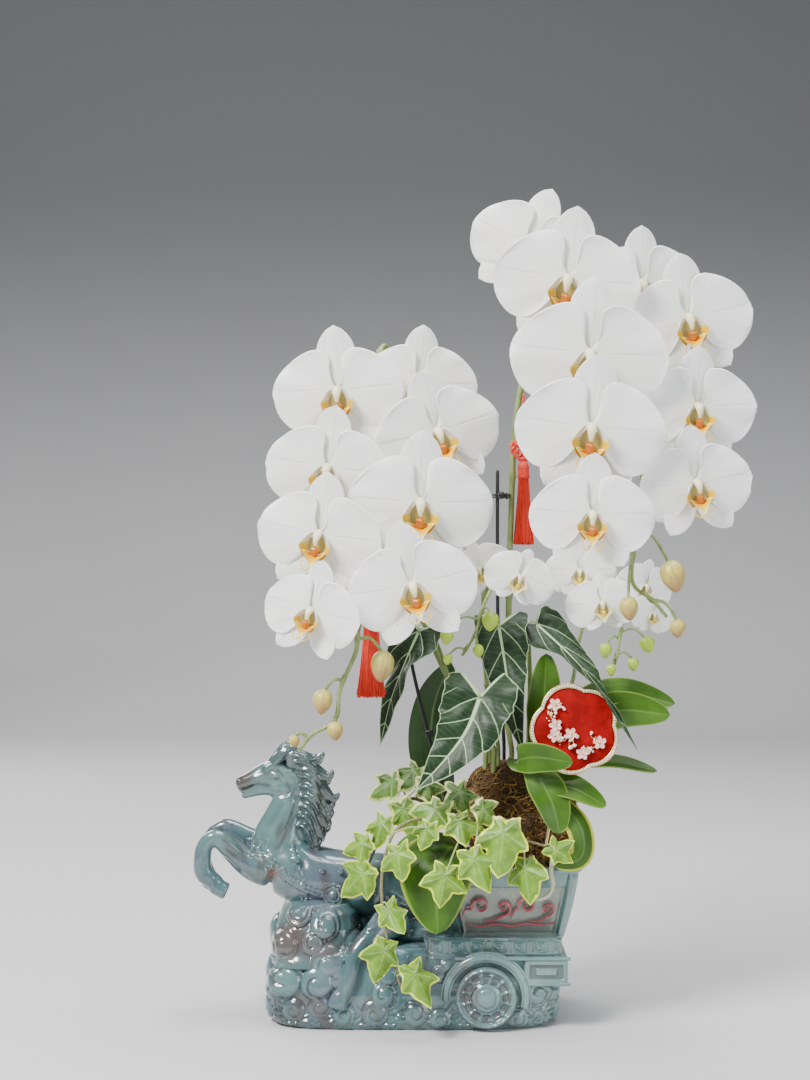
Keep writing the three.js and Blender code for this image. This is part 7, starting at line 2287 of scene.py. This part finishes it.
def build_wheels():
    """Wheels in relief: the height over the face is a sum of rings and of spokes, which are bell curves of
    the distance and of the angle; a thick guard arches over each."""
    shape = Shape()
    x0, z0 = WHEEL_AT
    for side in (-1, 1):
        r = np.concatenate([[0.02], np.linspace(0.6, 1.0 * WHEEL_RADIUS, 44)])[:, None]
        a = circle(144)[None]
        share = r / WHEEL_RADIUS
        height = 1.6 + 3.6 * bump(share, 0.93, 0.09) + 1.2 * bump(share, 0.76, 0.03)
        height = height + 4.6 * np.sqrt(np.clip(1 - (share / 0.5) ** 2, 0, 1)) * (share < 0.5)
        height = height - 1.0 * bump(share, 0.33, 0.03)
        spoke = bump(np.mod(a * 12 / (2 * math.pi), 1.0) - 0.5, 0, 0.13)
        between = step(0.5, 0.55, share) * (1 - step(0.8, 0.85, share))
        height = height + 1.6 * spoke * between + 2.2 * bump(share, 0.53, 0.035)
        height = height + 0.35 * bump(share, 0.93, 0.06) * np.cos(a * 26)
        tone = between * (1 - spoke) * 0.8 + 0 * a
        face = joined(x0 + r * np.cos(a), side * (65.2 + height), z0 + r * np.sin(a))
        edge = joined(x0 + WHEEL_RADIUS * np.cos(a), side * 56.0, z0 + WHEEL_RADIUS * np.sin(a))
        shape.surface(np.concatenate([face, edge]), wrap=True, caps=True, tone=np.concatenate([tone, tone[-1:]]))
        arc = np.radians(np.linspace(-14, 184, 50))
        for reach, thick, proud in ((1.34, 3.0, 67.3), (1.22, 1.2, 67.6), (1.47, 1.2, 66.6)):
            line = np.stack([x0 + np.cos(arc) * WHEEL_RADIUS * reach, np.full(50, side * (proud - 1.6)),
                             z0 + np.sin(arc) * WHEEL_RADIUS * reach], -1)
            shape.tube(line, [thick * 0.7, thick, thick, thick, thick * 0.7], 12, first=(0, 1, 0))
    cast("planter_wheels", shape, glaze_finish("glaze wheels"))


# Patches of another colour on the glaze: a spot as seen, the near and far reach in metres, share and colour
HORSE_PATCHES = [((-138, 187, -8), 0.005, 0.017, 0.85, (0.06, 0.035, 0.032)),
                 ((-114.4, 106.9, -30), 0.002, 0.008, 0.7, (0.28, 0.1, 0.08))]
CLOUD_PATCHES = [((-104, 58, -58), 0.008, 0.028, 0.8, (0.09, 0.06, 0.055)),
                 ((-72, 44, -62), 0.004, 0.022, 0.7, (0.1, 0.075, 0.075))]


def glaze_finish(name, dark=0.0, patches=(), panel=False):
    """A running glaze: blue-grey teal that drifts to green and lavender in broad clouds, brown where it breaks
    and pools in hollows, fine speckle, and a wet gloss. The panel of the tub is darker and speckled."""
    own = settings()
    teal, brown = own.glaze_teal, own.glaze_brown
    finish = Finish(name, Roughness=0.22, Coat_Weight=0.9, Coat_Roughness=0.05, Coat_IOR=1.55)
    spot = finish.where()
    broad = finish.noise(16.0, 3.0, spot, 0.5, 0.6)
    second = finish.noise(34.0, 4.0, finish.where((1.0, 1.0, 0.45)), 0.6, 1.2)
    third = finish.noise(24.0, 3.0, finish.where((1.0, 0.8, 1.0)), 0.5, 0.8)
    speck = finish.noise(700.0, 3.0, spot)
    base = finish.tints(broad, (0.3, shade(teal, 0.6)), (0.46, teal), (0.6, (0.1, 0.2, 0.195)),
                        (0.74, (0.17, 0.31, 0.28)))
    base = finish.mix(third.share(0.48, 0.7) * 0.65, base, (0.12, 0.14, 0.2))
    base = finish.mix(second.share(0.5, 0.66) * 0.7, base, brown)
    base = finish.mix(finish.parts(spot)[0].share(0.0, 0.1) * 0.5, base, (0.2, 0.34, 0.31))
    base = finish.mix(speck.share(0.6, 0.75) * 0.2, base, (0.16, 0.25, 0.27))
    base = finish.mix((1.0 - speck.share(0.25, 0.4)) * 0.2, base, shade(teal, 0.4))
    hollow = finish.mark().share(0.1, 0.9)
    if panel:
        base = finish.mix(hollow * 0.85, base, (0.25, 0.275, 0.235))
        base = finish.mix(hollow * speck.share(0.52, 0.7) * 0.5, base, (0.38, 0.44, 0.38))
    else:
        base = finish.mix(hollow * 0.65, base, shade(brown, 0.8))
    if dark:
        base = finish.mix(dark, base, (0.03, 0.045, 0.045))
    for spot_at, near, far, share, colour in patches:
        away = finish.value("ShaderNodeVectorMath", {"operation": "DISTANCE"},
                            {0: spot, 1: tuple(seen(spot_at) * METRE)}, "Value")
        mask = 1.0 - (away + (second - 0.5) * 0.012).share(near, far)
        base = finish.mix(mask * share, base, colour)
    finish.colour(base)
    finish.rough(0.12 + second * 0.16)
    return finish.relief(broad * 0.6 + speck * 0.12, 0.12, 0.0012)


# Operators and panel

class ORCHID_OT_stage(bpy.types.Operator):
    """Add the floor, the soft lights and the camera"""
    bl_idname = "orchid.stage"
    bl_label = "Stage"

    def execute(self, context):
        build_stage()
        return {"FINISHED"}


class ORCHID_OT_tassels(bpy.types.Operator):
    """Add the cords, the woven knots and the fringed tassels"""
    bl_idname = "orchid.tassels"
    bl_label = "Tassels"

    def execute(self, context):
        build_tassels()
        return {"FINISHED"}


class ORCHID_OT_blooms(bpy.types.Operator):
    """Add the large and the small moth orchid blooms"""
    bl_idname = "orchid.blooms"
    bl_label = "Blooms"

    def execute(self, context):
        build_blooms()
        return {"FINISHED"}


class ORCHID_OT_spikes(bpy.types.Operator):
    """Add the flower spikes with their stalks and buds"""
    bl_idname = "orchid.spikes"
    bl_label = "Flower spikes"

    def execute(self, context):
        build_spikes()
        return {"FINISHED"}


class ORCHID_OT_strap_leaves(bpy.types.Operator):
    """Add the orchids' own broad strap leaves"""
    bl_idname = "orchid.strap_leaves"
    bl_label = "Strap leaves"

    def execute(self, context):
        build_strap_leaves()
        return {"FINISHED"}


class ORCHID_OT_arrow_leaves(bpy.types.Operator):
    """Add the dark leaves with pale veins, and the plain one behind"""
    bl_idname = "orchid.arrow_leaves"
    bl_label = "Arrow leaves"

    def execute(self, context):
        build_arrow_leaves()
        return {"FINISHED"}


class ORCHID_OT_ivy(bpy.types.Operator):
    """Add the variegated ivy vines"""
    bl_idname = "orchid.ivy"
    bl_label = "Ivy"

    def execute(self, context):
        build_ivy()
        return {"FINISHED"}


class ORCHID_OT_root_ball(bpy.types.Operator):
    """Add the ball of coir fibre and moss"""
    bl_idname = "orchid.root_ball"
    bl_label = "Root ball"

    def execute(self, context):
        build_root_ball()
        return {"FINISHED"}


class ORCHID_OT_soil(bpy.types.Operator):
    """Add the soil that fills the tub"""
    bl_idname = "orchid.soil"
    bl_label = "Soil"

    def execute(self, context):
        build_soil()
        return {"FINISHED"}


class ORCHID_OT_aerial_root(bpy.types.Operator):
    """Add the pale root that hooks over the rim"""
    bl_idname = "orchid.aerial_root"
    bl_label = "Aerial root"

    def execute(self, context):
        build_aerial_root()
        return {"FINISHED"}


class ORCHID_OT_stakes(bpy.types.Operator):
    """Add the stakes and the clips on them"""
    bl_idname = "orchid.stakes"
    bl_label = "Stakes"

    def execute(self, context):
        build_stakes()
        return {"FINISHED"}


class ORCHID_OT_plaque(bpy.types.Operator):
    """Add the red plaque with its gilt frame and sprays of pearls"""
    bl_idname = "orchid.plaque"
    bl_label = "Plaque"

    def execute(self, context):
        build_plaque()
        return {"FINISHED"}


class ORCHID_OT_clouds(bpy.types.Operator):
    """Add the planter's foot of glazed clouds"""
    bl_idname = "orchid.clouds"
    bl_label = "Cloud foot"

    def execute(self, context):
        build_clouds()
        return {"FINISHED"}


class ORCHID_OT_horse(bpy.types.Operator):
    """Add the planter's rearing horse"""
    bl_idname = "orchid.horse"
    bl_label = "Horse"

    def execute(self, context):
        build_horse()
        return {"FINISHED"}


class ORCHID_OT_cart(bpy.types.Operator):
    """Add the planter's cart and tub"""
    bl_idname = "orchid.cart"
    bl_label = "Cart"

    def execute(self, context):
        build_cart()
        return {"FINISHED"}


class ORCHID_OT_wheels(bpy.types.Operator):
    """Add the planter's wheels and their guards"""
    bl_idname = "orchid.wheels"
    bl_label = "Wheels"

    def execute(self, context):
        build_wheels()
        return {"FINISHED"}


OPERATORS = (
    ORCHID_OT_stage, ORCHID_OT_tassels, ORCHID_OT_blooms, ORCHID_OT_spikes,
    ORCHID_OT_strap_leaves, ORCHID_OT_arrow_leaves, ORCHID_OT_ivy, ORCHID_OT_root_ball,
    ORCHID_OT_soil, ORCHID_OT_aerial_root, ORCHID_OT_stakes, ORCHID_OT_plaque,
    ORCHID_OT_clouds, ORCHID_OT_horse, ORCHID_OT_cart, ORCHID_OT_wheels,
)


class ORCHID_PT_panel(bpy.types.Panel):
    """Lists the sizes and colours, and a button for each group of pieces"""
    bl_idname = "ORCHID_PT_panel"
    bl_label = "Potted Moth Orchid"
    bl_space_type = "VIEW_3D"
    bl_region_type = "UI"
    bl_category = "Orchid"

    def draw(self, context):
        column = self.layout.column()
        for name in OrchidSettings.__annotations__:
            column.prop(context.scene.orchid, name)
        for operator in OPERATORS:
            column.operator(operator.bl_idname)


def register():
    for kind in (OrchidSettings, *OPERATORS, ORCHID_PT_panel):
        bpy.utils.register_class(kind)
    bpy.types.Scene.orchid = bpy.props.PointerProperty(type=OrchidSettings)


def unregister():
    del bpy.types.Scene.orchid
    for kind in reversed((OrchidSettings, *OPERATORS, ORCHID_PT_panel)):
        bpy.utils.unregister_class(kind)


def main():
    register()
    for operator in OPERATORS:
        getattr(bpy.ops.orchid, operator.bl_idname.split(".")[1])()


if __name__ == "__main__":
    main()
